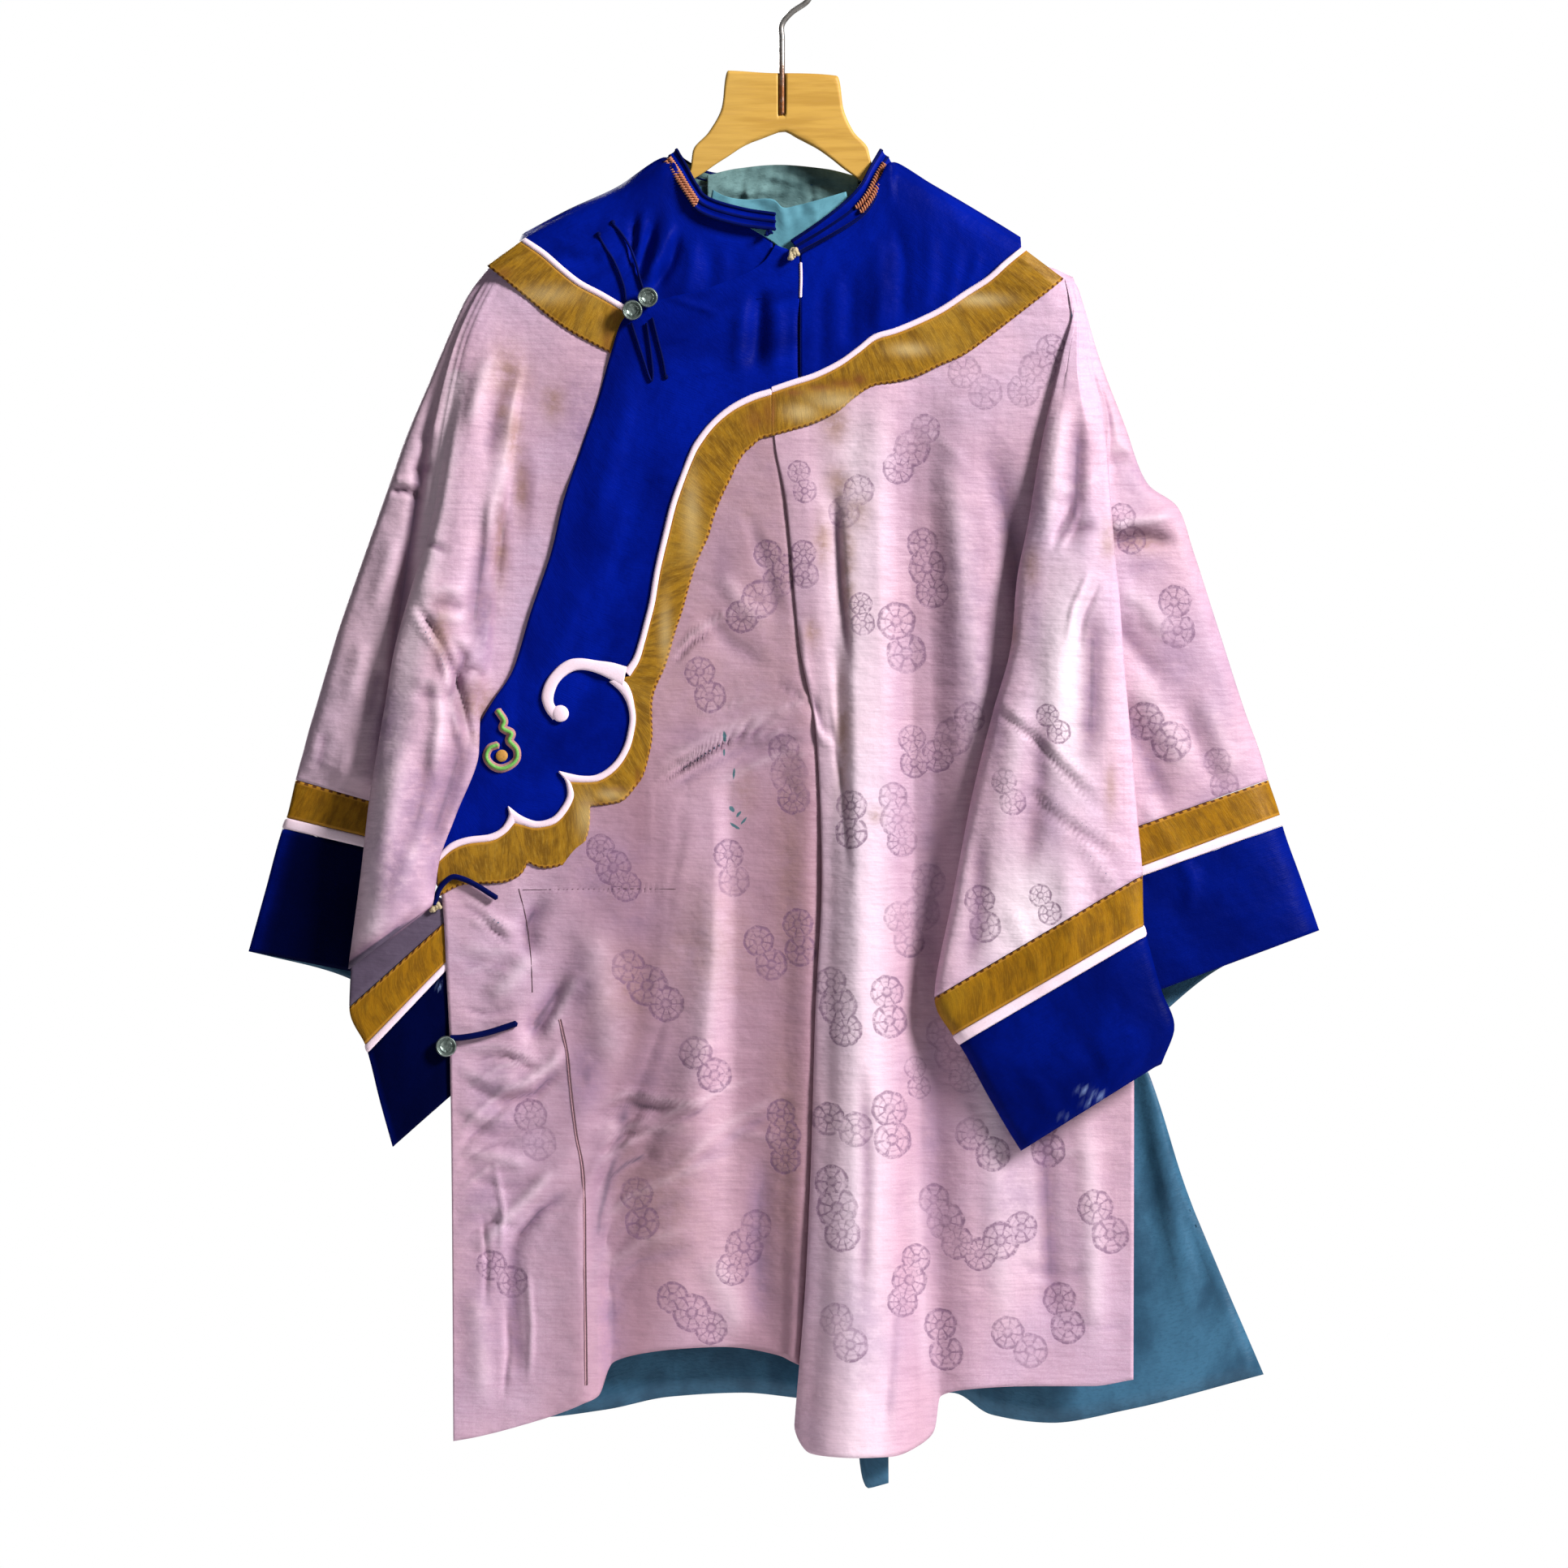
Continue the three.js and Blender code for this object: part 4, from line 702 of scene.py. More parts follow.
FLOWERS_SLEEVE_LEFT = (
    pair(262, -441, 0.4, 11) + pair(300, -508, 0.1, 13) + pair(286, -596, 0.9, 15) + pair(172, -642, 0.4,
                                                                                          10)
    + pair(152, -735, 0.2, 12) + pair(200, -728, 0.5, 9) + pair(334, -628, 0.3, 11) + pair(206, -590, 0.6,
                                                                                           9)
)
FLOWERS_SLEEVE_RIGHT = (
    pair(-156, -372, -0.3, 11) + pair(-172, -330, 0.2, 11)
)
# Behind, the same balls in a plain half-drop repeat.
FLOWERS_BACK = [ball for row in range(11) for column in range(6)
                for ball in (cluster if (row + column) % 2 else pair)(
                    -230 + column * 98 + (49 if row % 2 else 0), -290 - row * 78,
                                                                      0.5 * ((row * 3 + column) % 5 - 2),
                                                                      13)]

# Millimetres that the upper cloth and the cloth below it stand before the hanger.
FRONT, UNDER_FRONT = 15.5, 12.5
CLOTH, LINING = 1.1, 0.9  # thickness

# ---------------------------------------------------------------- outer front, wearer's left half
FRONT_LEFT_RAILS = [
    [[-353, 2, -13.5], [-417, 11, -12.5], [-530, 25, -12], [-601, 38, -12], [-811, 39, -11.5],
     [-1009, 33, -11.5],
     [-1086, 27, -11.5]],
    [[-353, -8, -15.8], [-376, -6, -16.5], [-417, 2, -18], [-530, 13, -18.5], [-601, 26, -18.5],
     [-707, 30, -20],
     [-811, 25, -22], [-915, 22, -24], [-1009, 18, -28], [-1126, 9, -30]],
    [[-350, 6, -15.8], [-376, 10, -16.5], [-417, 16, -19.5], [-530, 30, -19.5], [-601, 38, -20.5],
     [-811, 36, -27],
     [-1009, 31, -36], [-1147, 20, -41]],
    [[-342, 24, -15.5], [-376, 29, -15.0], [-417, 33, -15], [-530, 40, -16.5], [-700, 45, -27],
     [-905, 45, -37],
     [-1150, 36, -50]],
    [[-328, 50, -15.5], [-370, 51, -15.0], [-434, 50, -20], [-560, 55, -26], [-700, 58, -33],
     [-905, 60, -40.5],
     [-1151, 55, -53]],
    [[-312, 72, -15.5], [-350, 72, -17.5], [-434, 71, -22], [-560, 74, -25], [-700, 78, -28],
     [-905, 80, -34],
     [-1150, 82, -46]],
    [[-307, 92, -15.5], [-345, 91, -15.5], [-434, 88, -15], [-560, 92, -15], [-700, 94, -17],
     [-905, 96, -20],
     [-1141, 104, -27]],
    [[-304, 104, -15.5], [-434, 99, -12.5], [-560, 100, -12], [-707, 102, -12.5], [-895, 106, -13],
     [-1009, 108, -14],
     [-1130, 115, -16]],
    [[-302, 112, -15.5], [-434, 110, -12.6], [-560, 112, -12], [-707, 114, -12], [-905, 116, -12],
     [-1104, 120, -13]],
    [[-286, 138, -15.5], [-434, 136, -18.5], [-560, 136, -20], [-700, 140, -20.5], [-905, 142, -19],
     [-1098, 146, -18]],
    [[-262, 172, -15.5], [-434, 178, -16.5], [-700, 182, -16.5], [-1096, 190, -17]],
    [[-241, 200, -9.6], [-250, 200, -13.2], [-266, 201, -15.5], [-434, 222, -15.5], [-700, 232, -15.5],
     [-1096, 236, -17]],
    [[-249, 221, -4.5], [-258, 225, -10.5], [-279, 227, -13], [-310, 230, -14], [-400, 236, -15.5],
     [-545, 245, -15.5],
     [-745, 255, -15.5], [-832, 260, -16], [-864, 268, -16.5], [-1091, 267.5, -18]],
]
# Widths of a cell in the fine fronts, the back and the hidden panels.
FINE, BACK_CELL, COARSE = 2.15, 4.1, 5.0

front_left = panel(FRONT_LEFT_RAILS, FINE)[0]
below_ribbon = np.clip((-front_left[..., 2] - 345) / 60, 0, 1)
FRONT_LEFT_CREASES = [
    # the pleat beside the centre fold, and small tucks where it opens
    [-2.2, 4, [38, -400], [44, -480], [52, -560]],
    [1.2, 5, [26, -395], [34, -470], [42, -560]],
    [-1.2, 3, [29, -560], [36, -590], [46, -640], [52, -720]],
    [1.0, 2.5, [14, -505], [17, -545], [24, -575]],
    [-1.6, 3.0, [22, -565], [29, -592], [38, -604]],
    [1.6, 3.5, [20, -578], [29, -600], [44, -612]],
    # slack folds on the flat side, below the ribbon and beside the sleeve
    [-1.6, 2.5, [198, -266], [208, -274], [217, -283]], [-1.4, 3, [146, -312], [160, -322], [170, -336]],
    [1.2, 3, [150, -306], [166, -318], [178, -332]],
    [-3.0, 13, [150, -330], [168, -420], [190, -520], [205, -600]],
    [2.4, 12, [120, -350], [134, -450], [146, -560], [150, -660]],
    [2.0, 10, [186, -300], [205, -352], [222, -420]],
    [-1.6, 6, [92, -330], [112, -345], [140, -372]],
    [1.4, 4, [96, -362], [120, -372], [142, -394]],
    # long soft waves towards the hem
    [2.6, 14, [150, -760], [160, -880], [166, -1000], [176, -1096]],
    [-2.6, 12, [192, -800], [200, -920], [208, -1092]],
    [2.2, 10, [228, -860], [236, -960], [240, -1090]],
    [-1.5, 6, [60, -830], [64, -930], [60, -1060]],
    [1.3, 7, [100, -900], [104, -1000], [110, -1120]],
    [-1.2, 5, [88, -1010], [84, -1080], [78, -1146]],
    # cross tucks near the hem and the slit
    [1.2, 4, [180, -905], [214, -918], [262, -914]],
    [-1.2, 4, [172, -1002], [204, -1012], [240, -1008]],
    [-1.0, 3, [214, -1046], [240, -1052], [266, -1050]],
    [0.9, 3, [40, -1012], [66, -1020], [88, -1015]],
]
creased(front_left, FRONT_LEFT_CREASES, below_ribbon)
# painted shade in the crease troughs and painted highlight on their ridges
dark, painted_highlight = crease_shading(front_left, FRONT_LEFT_CREASES, below_ribbon)
ripple(front_left, 3, 46, 0.5, below_ribbon, (1, 1.8))
ripple(front_left, 8, 13, 0.16, below_ribbon, (1.5, 1))
x, z = front_left[..., 0], front_left[..., 2]
below = np.clip((-z - 330) / 50, 0, 1)
# painted rosy shade: none on the centre fold's crest, most on its flanks and beside the pleat
rosy_tone_and_shade = np.interp(x, [-10, 20, 40, 54, 74, 90, 104, 124, 160, 230],
                 [0.5, 0.42, 0.3, 0.0, 0.1, 0.4, 0.55, 0.5, 0.2, 0.3]) * below
stain = blob(front_left, [[40, -360, 14, 22], [42, -408, 12, 20], [30, -450, 9, 26], [56, -430, 14, 16],
                          [22, -520, 8, 14], [70, -660, 7, 7], [50, -470, 8, 60], [46, -600, 7, 60]]) * 0.85
# violet bloom, with painted shade in narrow strips right of the centre fold and in the crease troughs
violet_bloom_and_shade = blob(front_left, [[180, -960, 40, 60], [150, -560, 30, 60], [112, -700, 12, 120],
                           [60, -1050, 30, 80],
                           [114, -900, 14, 140], [140, -480, 24, 90], [176, -620, 20, 60]]) * 0.6
violet_bloom_and_shade = np.maximum(violet_bloom_and_shade, dark * 0.85)
rosy_tone_and_shade = np.maximum(rosy_tone_and_shade, dark * 0.85) * (1 - 0.5 * painted_highlight)
faded = blob(front_left, [[180, -967, 34, 60]]) * 0.4
# alpha: painted highlight along the centre fold's crest and the crease ridges, and a faded patch
clear_of_fade_and_highlight = 1 - np.maximum(np.interp(x, [22, 40, 54, 72, 88], [0.1, 0.4, 0.55, 0.4, 0.0]) * below,
                      np.maximum(faded, 0.35 * painted_highlight))
shell("robe_front_left", front_left, CLOTH, LILAC, TEAL, "lilac_silk", ["front_left"], -1,
      {"spots": FLOWERS_LEFT}, np.stack([stain, rosy_tone_and_shade, violet_bloom_and_shade, clear_of_fade_and_highlight], -1))

# ---------------------------------------------------------------- outer front, wearer's right half
FRONT_RIGHT_RAILS = [
    [[-353, -3, -13.5], [-417, 6.5, -12.5], [-530, 20.5, -12], [-601, 33.5, -12], [-811, 34.5, -11.5],
     [-1009, 28.5, -11.5], [-1084, 22.5, -11.5]],
    [[-357, -12, -15], [-417, -4, -16.5], [-530, 7, -17], [-601, 18, -18], [-811, 18, -20],
     [-1009, 12, -24],
     [-1078, 8, -26]],
    [[-366, -34, -15], [-434, -22, -16], [-601, -2, -16], [-811, 0, -15.5], [-1009, -2, -18],
     [-1073, -2, -20]],
    [[-401, -61, -15.5], [-601, -40, -15], [-811, -35, -13], [-967, -36, -12], [-1066, -45, -12]],
    [[-445, -79, -15.5], [-601, -62, -16.5], [-700, -54, -21], [-811, -58, -24], [-900, -68, -22],
     [-967, -74, -18],
     [-1068, -84, -14]],
    [[-496, -94.5, -15.5], [-640, -76, -17], [-700, -74, -20], [-811, -84, -20], [-900, -104, -13],
     [-967, -126, -10.5],
     [-1078, -130, -10]],
    [[-546, -106.4, -15.5], [-640, -96, -16.5], [-700, -88, -18.8], [-811, -98, -18], [-900, -122, -12.5],
     [-967, -144, -19], [-1104, -142, -24]],
    [[-592, -107.4, -15.5], [-640, -104, -16.5], [-700, -102, -18], [-800, -112, -16], [-900, -136, -16],
     [-967, -158, -25], [-1110, -154, -28]],
    [[-633, -122.5, -15.5], [-670, -125, -16.5], [-740, -132, -18.5], [-810, -144, -17.5],
     [-900, -160, -21],
     [-967, -178, -23], [-1118, -174, -25]],
    [[-659.5, -159.5, -15.5], [-710, -160, -18], [-800, -172, -17], [-967, -200, -20], [-1126, -200, -22]],
    [[-685.5, -191, -15.5], [-725, -193, -15.5], [-800, -200, -19], [-967, -222, -18], [-1132, -222, -19]],
    [[-694.5, -228, -15.5], [-730, -229, -15.5], [-800, -232, -16], [-967, -240, -17], [-1136, -240, -18]],
    [[-697, -267, -15.5], [-708, -266.5, -15.5], [-722, -261, -15.5], [-789, -257, -15.5],
     [-828, -255, -15.5],
     [-967, -253, -16], [-1138, -252, -17]],
]
front_right, level = panel(FRONT_RIGHT_RAILS, FINE)[:2]
# Under the ribbon the panel stays flat; below it the folds begin.
clear_of_ribbon = np.clip(level[:, None] / (LEVELS - 1) * 12 - 0.35 + 0 * front_right[..., 0], 0, 1)
FRONT_RIGHT_CREASES = [
    # long pulls from the ribbon's fold to the centre seam
    [2.0, 2.4, [-104, -640], [-92, -628], [-74, -618], [-52, -604], [-30, -594], [-8, -588], [20, -574]],
    [-2.2, 1.8, [-100, -640], [-74, -622], [-52, -608], [-30, -598], [-8, -592], [16, -580]],
    [-1.8, 1.6, [-44, -598], [-20, -589], [4, -578], [18, -566]],
                       [1.4, 1.8, [-40, -602], [-16, -598], [10, -596], [22, -603]],
    [1.6, 2.2, [-86, -540], [-70, -522], [-48, -508], [-24, -500]],
                       [-1.4, 2.0, [-88, -548], [-70, -528], [-46, -514]],
    [-1.2, 1.6, [-10, -560], [8, -566], [22, -578]], [1.2, 1.8, [-4, -604], [10, -612], [22, -616]],
    [-1.2, 1.6, [-8, -628], [8, -640], [20, -652]], [1.0, 2.0, [-76, -584], [-40, -576], [-10, -566]],
    [1.6, 5, [-106, -632], [-84, -614], [-46, -594], [-10, -582], [16, -570]],
    [-1.6, 4, [-100, -646], [-74, -632], [-40, -614], [4, -598]],
    [1.4, 4, [-60, -640], [-24, -622], [20, -603]],
    [-1.3, 3.5, [-50, -630], [-16, -612], [22, -598]],
    [1.2, 3, [-10, -582], [12, -574], [22, -566]],
    # the broad bright fold below the cloud, and the dark valley beside it
    [1.6, 12, [-58, -690], [-52, -760], [-60, -830], [-78, -890]],
    [-2.4, 10, [-110, -840], [-124, -900], [-140, -965], [-146, -1030]],
    [2.4, 5, [-166, -830], [-176, -850], [-200, -866], [-232, -872]],
                       [-2.6, 5, [-164, -846], [-190, -872], [-236, -884]],
    [2.2, 5, [-158, -930], [-180, -936], [-206, -962], [-240, -1000]],
                       [-2.4, 5, [-160, -944], [-186, -962], [-214, -996]],
    [2.0, 4, [-150, -936], [-126, -914], [-100, -900], [-60, -896]],
                       [-2.2, 5, [-148, -950], [-120, -926], [-90, -914]],
    [1.8, 4, [-150, -980], [-116, -950], [-84, -936], [-40, -916]],
                       [-1.8, 4, [-148, -996], [-110, -966], [-70, -950]],
    [-2.4, 7, [-166, -788], [-176, -806], [-200, -836]], [2.2, 6, [-150, -776], [-166, -796], [-184, -836]],
    [-1.8, 6, [-150, -1030], [-110, -1000], [-60, -990]],
                       [1.6, 5, [-148, -1014], [-110, -986], [-64, -974]],
    [3.4, 14, [-150, -730], [-138, -800], [-126, -870]],
    [-3.6, 11, [-160, -776], [-180, -806], [-202, -836]],
    [2.4, 8, [-186, -760], [-212, -790], [-232, -800]],
    [-2.6, 8, [-182, -716], [-196, -744], [-192, -776]],
    # pulls at the knee of the hem
    [2.0, 2.6, [-150, -884], [-120, -872], [-84, -878], [-40, -886]],
                       [-2.0, 2.2, [-150, -892], [-118, -880], [-80, -886]],
    [1.8, 2.4, [-112, -900], [-80, -884], [-50, -872], [-14, -858]],
                       [-1.8, 2.2, [-112, -908], [-80, -892], [-46, -880]],
    [1.6, 2.4, [-146, -916], [-116, -896], [-92, -890]],
                       [-1.6, 2.2, [-146, -926], [-118, -904], [-94, -898]],
    [1.3, 2.2, [-96, -936], [-66, -916], [-34, -906], [4, -900]],
                       [-1.3, 2.0, [-94, -944], [-62, -924], [-30, -914]],
    [1.4, 2.4, [-250, -838], [-214, -836], [-176, -852]],
                       [-1.5, 2.2, [-250, -846], [-210, -844], [-178, -862]],
    [1.6, 2.4, [-252, -906], [-236, -890], [-212, -868], [-180, -858]],
                       [-1.6, 2.2, [-250, -916], [-232, -900], [-206, -878]],
    [1.4, 2.2, [-248, -872], [-216, -852], [-184, -846]],
                       [-1.4, 2.0, [-252, -930], [-230, -916], [-196, -906]],
    [1.3, 2.2, [-250, -948], [-226, -930], [-190, -918]],
                       [-1.3, 2.0, [-248, -984], [-222, -970], [-196, -976]],
    [1.2, 2.4, [-222, -920], [-214, -960], [-216, -1000]],
                       [-1.2, 2.2, [-230, -960], [-226, -1000], [-228, -1040]],
    [1.0, 2.4, [-196, -1000], [-192, -1050], [-194, -1100]],
                       [-1.2, 2.4, [-212, -1030], [-210, -1070], [-214, -1110]],
    [1.6, 2.4, [-252, -716], [-234, -728], [-206, -752]],
                       [-1.4, 2.2, [-252, -726], [-230, -738], [-204, -764]],
    [1.2, 2.2, [-250, -782], [-230, -776], [-204, -784]],
                       [-1.3, 2.0, [-250, -806], [-226, -812], [-200, -806]],
    [-1.5, 4, [-154, -897], [-124, -890], [-96, -882]],
    [1.4, 4, [-150, -905], [-120, -898], [-92, -892]],
    [1.3, 4, [10, -868], [-33, -890], [-88, -928]],
    [-1.2, 4, [8, -878], [-30, -900], [-84, -938]],
    [1.1, 3, [-54, -895], [-24, -903], [8, -912]],
    [-1.0, 3, [-150, -1000], [-120, -1010], [-84, -1004]],
    # many small crossing tucks by the free edge
    [1.3, 4, [-252, -852], [-226, -862], [-196, -858]],
    [-1.4, 4, [-250, -862], [-222, -874], [-190, -872]],
    [1.5, 4, [-250, -880], [-230, -892], [-204, -890]],
    [-1.3, 4, [-251, -898], [-218, -904], [-178, -896]],
    [1.6, 5, [-250, -916], [-222, -920], [-186, -930]],
    [-1.2, 4, [-248, -934], [-214, -944], [-180, -940]],
    [1.2, 4, [-250, -962], [-224, -958], [-200, -968]],
    [-1.0, 4, [-250, -990], [-220, -996], [-190, -986]],
    [1.8, 9, [-236, -1010], [-232, -1060], [-228, -1120]],
    [-2.0, 8, [-206, -960], [-206, -1040], [-200, -1110]],
    [1.2, 5, [-250, -758], [-222, -764], [-200, -758]],
    [-1.0, 4, [-250, -770], [-226, -778], [-206, -772]],
    [1.2, 5, [-246, -738], [-220, -742], [-198, -752]],
    [-1.0, 1.2, [-199, -717], [-150, -716], [-82, -716]],
    # rumples under the ribbon on the chest
    [1.5, 7, [-52, -470], [-30, -500], [-8, -520]],
    [-1.4, 7, [-64, -500], [-40, -530], [-10, -548]],
    [-1.2, 6, [-30, -420], [-14, -470], [0, -520]],
    [2.2, 12, [-60, -990], [-40, -1030], [-34, -1066]],
    [-2.0, 12, [-14, -900], [-20, -980], [-16, -1066]],
]
creased(front_right, FRONT_RIGHT_CREASES, clear_of_ribbon)
# painted shade in the crease troughs and painted highlight on their ridges
dark, painted_highlight = crease_shading(front_right, FRONT_RIGHT_CREASES, clear_of_ribbon)
ripple(front_right, 11, 42, 0.55, clear_of_ribbon, (1, 1.5))
ripple(front_right, 12, 12, 0.18, clear_of_ribbon, (1.6, 1))
front_right[..., 1] = np.minimum(front_right[..., 1], -10.4)
x, z = front_right[..., 0], front_right[..., 2]
low = np.clip((-z - 570) / 80, 0, 1)
# rosy tone and painted shade: even over the chest, and across the lower panel darkest in its valleys and
# towards the centre seam
rosy_tone_and_shade = (1 - low) * 0.62 + low * np.interp(x, [-200, -150, -110, -70, -46, -30, 0, 30],
                                          [0.25, 0.7, 1.0, 0.5, 0.4, 0.8, 0.95, 0.95])
# violet bloom, and painted shade in the lower panel's valleys
violet_bloom_and_shade = blob(front_right, [[-225, -955, 30, 40], [-140, -700, 34, 40], [-110, -740, 40, 30],
                            [-215, -880, 36, 60],
                            [-104, -880, 28, 100], [-118, -980, 26, 70], [-70, -600, 30, 14],
                            [-46, -470, 14, 40],
                            [-16, -600, 40, 8], [-140, -690, 50, 16], [-150, -790, 30, 40],
                            [-230, -1040, 24, 60]]) * 0.66
stain = np.maximum(0.22 * (1 - low), blob(front_right, [
    [-30, -640, 14, 26], [-28, -432, 10, 14], [6, -700, 18, 120], [2, -920, 18, 120], [-100, -950, 60, 90],
    [-60, -760, 60, 60], [-120, -800, 30, 60]]) * 0.4)
# painted shade down the dark valley beside the open seam
valley_shade = blob(front_right, [[-138, -960, 16, 100], [-132, -1040, 16, 70], [-150, -860, 20, 40],
                            [-128, -820, 26, 30]]) * 0.87
violet_bloom_and_shade = np.maximum(np.maximum(violet_bloom_and_shade, valley_shade), dark * 0.9) * (1 - 0.3 * painted_highlight)
rosy_tone_and_shade = np.maximum(np.maximum(rosy_tone_and_shade, valley_shade), dark * 0.9) * (1 - 0.35 * painted_highlight)
# alpha: painted highlight on the crease ridges
shell("robe_front_right", front_right, CLOTH, LILAC_WORN, TEAL, "lilac_silk", ["front_right"], 1,
      {"spots": FLOWERS_RIGHT}, np.stack([stain, rosy_tone_and_shade, violet_bloom_and_shade, 1 - 0.3 * painted_highlight], -1))

# ---------------------------------------------------------------- satin yoke and flap
SHOULDER_LEFT = [[84, -164], [133, -192], [184, -222], [216, -249]]
SHOULDER_RIGHT = [[-226, -238], [-195, -215.5], [-164, -200], [-127, -183], [-90, -160]]
ROLL = [[-1.6, -1.5], [0, 2.4], [3, 9.0], [14, 13.4], [30, 15.5]]


def roll_at(shoulder, full, x, z):
    ridge = np.interp(x, *np.array(shoulder, float).T)
    below = np.where(np.abs(x) < 84, 60, np.maximum(ridge - z, -1.6))
    return -np.minimum(np.interp(below, *np.array(ROLL).T), full)


def yoke(top, foot, shoulder, full, cell):
    top, foot = through(top, 60), through(foot, 60)
    share = (np.linspace(0, 1, 40) ** 1.25)[:, None, None]
    flat = top[None] * (1 - share) + foot[None] * share
    y = roll_at(shoulder, full, flat[..., 0], flat[..., 1])
    return dense(np.stack([flat[..., 0], y, flat[..., 1]], -1), cell)[0]


YOKE_CELL = 2.4
yoke_left = yoke(
    [[13, -230], [36, -214], [57, -199], [73, -174], [84, -161], [112, -177.2], [140, -193.6], [164, -208],
     [181, -218.6]],
    [[13, -345], [42, -332], [69, -312], [86, -307.5], [102, -303], [120, -293.5], [138, -284],
     [163, -266], [184, -248]],
    SHOULDER_LEFT, FRONT, YOKE_CELL)
flat_part = np.clip((np.interp(yoke_left[..., 0], *np.array(SHOULDER_LEFT).T) - yoke_left[..., 2]) / 30, 0,
                    1)
creased(yoke_left, [
    [-1.6, 7, [50, -232], [52, -270], [48, -310]], [1.5, 7, [70, -214], [74, -260], [72, -300]],
    [-1.6, 6, [86, -200], [92, -240], [90, -290]], [1.2, 7, [112, -206], [112, -250], [106, -290]],
    [-1.0, 6, [30, -246], [30, -290], [28, -330]], [1.0, 6, [134, -220], [130, -250], [124, -280]],
    [-0.9, 3, [66, -300], [90, -292], [120, -270]], [0.8, 4, [150, -226], [146, -244], [138, -262]],
], flat_part)
shell("yoke_satin_left", yoke_left, CLOTH, BLUE, BLUE, "blue_satin", ["yoke_left"], -1)

yoke_right = yoke(
    [[-8, -211], [-36, -206], [-60, -196], [-74, -180], [-90, -157.5], [-127, -180.4], [-164, -197.4],
     [-199, -216]],
    [[-8, -262], [-50, -276], [-88, -286], [-106, -289], [-124, -290], [-142, -281], [-175, -260],
     [-206, -234]],
    SHOULDER_RIGHT, UNDER_FRONT, YOKE_CELL)
flat_part = np.clip((np.interp(yoke_right[..., 0], *np.array(SHOULDER_RIGHT).T) - yoke_right[..., 2]) / 26,
                    0, 1)
creased(yoke_right, [
    [2.6, 4.0, [-84, -204], [-92, -232], [-108, -258]], [-2.8, 4.0, [-78, -212], [-86, -240], [-102, -262]],
    [-3.0, 4.0, [-96, -200], [-104, -226], [-112, -250]],
                     [2.4, 3.6, [-91, -208], [-98, -236], [-109, -256]],
    [-2.4, 3.2, [-114, -196], [-114, -220], [-116, -244]],
                     [1.8, 3.2, [-106, -196], [-109, -220], [-113, -246]],
    [1.3, 5, [-68, -214], [-70, -240], [-76, -268]], [-1.2, 6, [-56, -220], [-56, -246], [-60, -272]],
    [-1.0, 3, [-172, -232], [-152, -238], [-136, -232]], [0.9, 4, [-178, -224], [-150, -226], [-130, -216]],
    [1.0, 6, [-130, -200], [-134, -220], [-140, -240]], [-0.8, 6, [-40, -222], [-36, -240], [-34, -262]],
], flat_part)
shell("yoke_satin_right", yoke_right, CLOTH, BLUE, BLUE, "blue_satin", ["yoke_right"], 1)

FLAP_FREE = [[-6, -224], [-14, -236], [-27, -245], [-44, -252], [-61, -258], [-78, -262], [-94, -266],
             [-112, -272],
             [-123, -282], [-132, -308], [-143, -347], [-155, -381], [-168, -420], [-177, -458],
             [-193, -505],
             [-207, -550], [-222, -573], [-234, -594], [-242, -615], [-247, -635], [-258, -665],
             [-266, -680],
             [-270, -694]]
FLAP_JOIN = [[12.4, -231], [12.4, -244], [12.4, -258], [12.4, -276], [12.4, -295], [12.4, -320],
             [12.4, -345],
             [-8, -352], [-34, -364], [-50, -384], [-62, -400], [-72, -424], [-80, -444], [-96, -495],
             [-104, -528],
             [-108, -545], [-109, -592], [-118, -620], [-124, -632], [-142, -645], [-160, -658],
             [-192, -684],
             [-228, -693]]
flap = np.array([[(1 - t) * np.array(a) + t * np.array(b) for t in np.linspace(0, 1, 14)]
                 for a, b in zip(FLAP_FREE, FLAP_JOIN)])
flap = dense(np.stack([flap[..., 0], np.full(flap.shape[:2], -FRONT), flap[..., 1]], -1), YOKE_CELL,
             rows=190)[0]
creased(flap, [
    # the dark fold beside the centre front, and its lighter edge
    [-3.4, 6, [-17, -250], [-19, -290], [-22, -326]], [1.6, 6, [-4, -262], [-5, -300], [-8, -330]],
    [1.4, 5, [-30, -262], [-34, -300], [-36, -330]], [-1.2, 2.2, [12, -262], [12, -300], [12, -340]],
    # old press lines and slack
    [0.9, 2.4, [-100, -302], [-70, -290], [-34, -272]], [-0.9, 3, [-96, -308], [-66, -297], [-28, -282]],
    [0.8, 2.4, [-92, -262], [-70, -270], [-44, -278]], [0.7, 3, [-110, -336], [-76, -322], [-44, -316]],
    [-1.4, 9, [-128, -300], [-150, -360], [-166, -420]], [1.4, 9, [-112, -320], [-132, -390], [-150, -450]],
    [-1.0, 8, [-96, -380], [-116, -440], [-136, -500]], [1.0, 8, [-150, -470], [-166, -520], [-178, -560]],
    [-1.2, 8, [-130, -520], [-150, -566], [-176, -600]], [0.9, 8, [-140, -580], [-158, -600], [-180, -620]],
    [-0.9, 6, [-190, -560], [-210, -600], [-222, -640]], [0.8, 5, [-70, -392], [-86, -400], [-110, -402]],
], np.clip((-flap[..., 2] - 240) / 24, 0, 1))
shell("flap_satin", flap, CLOTH, BLUE, TEAL, "blue_satin", ["flap"], -1)


# ---------------------------------------------------------------- ribbon and piping along the joins
def matched(inner, outer, count, cusps_in=(), cusps_out=()):
    return through(inner, count, cusps_in), through(outer, count, cusps_out)


def even_pairs(inner, outer, count):
    """Two lines of any length, each cut into the same shares of its own length."""
    lines = []
    for line in (inner, outer):
        fine = through(line, 400)
        run = running(fine)
        at = np.linspace(0, run[-1], count)
        lines.append(np.stack([np.interp(at, run, fine[:, 0]), np.interp(at, run, fine[:, 1])], -1))
    return lines


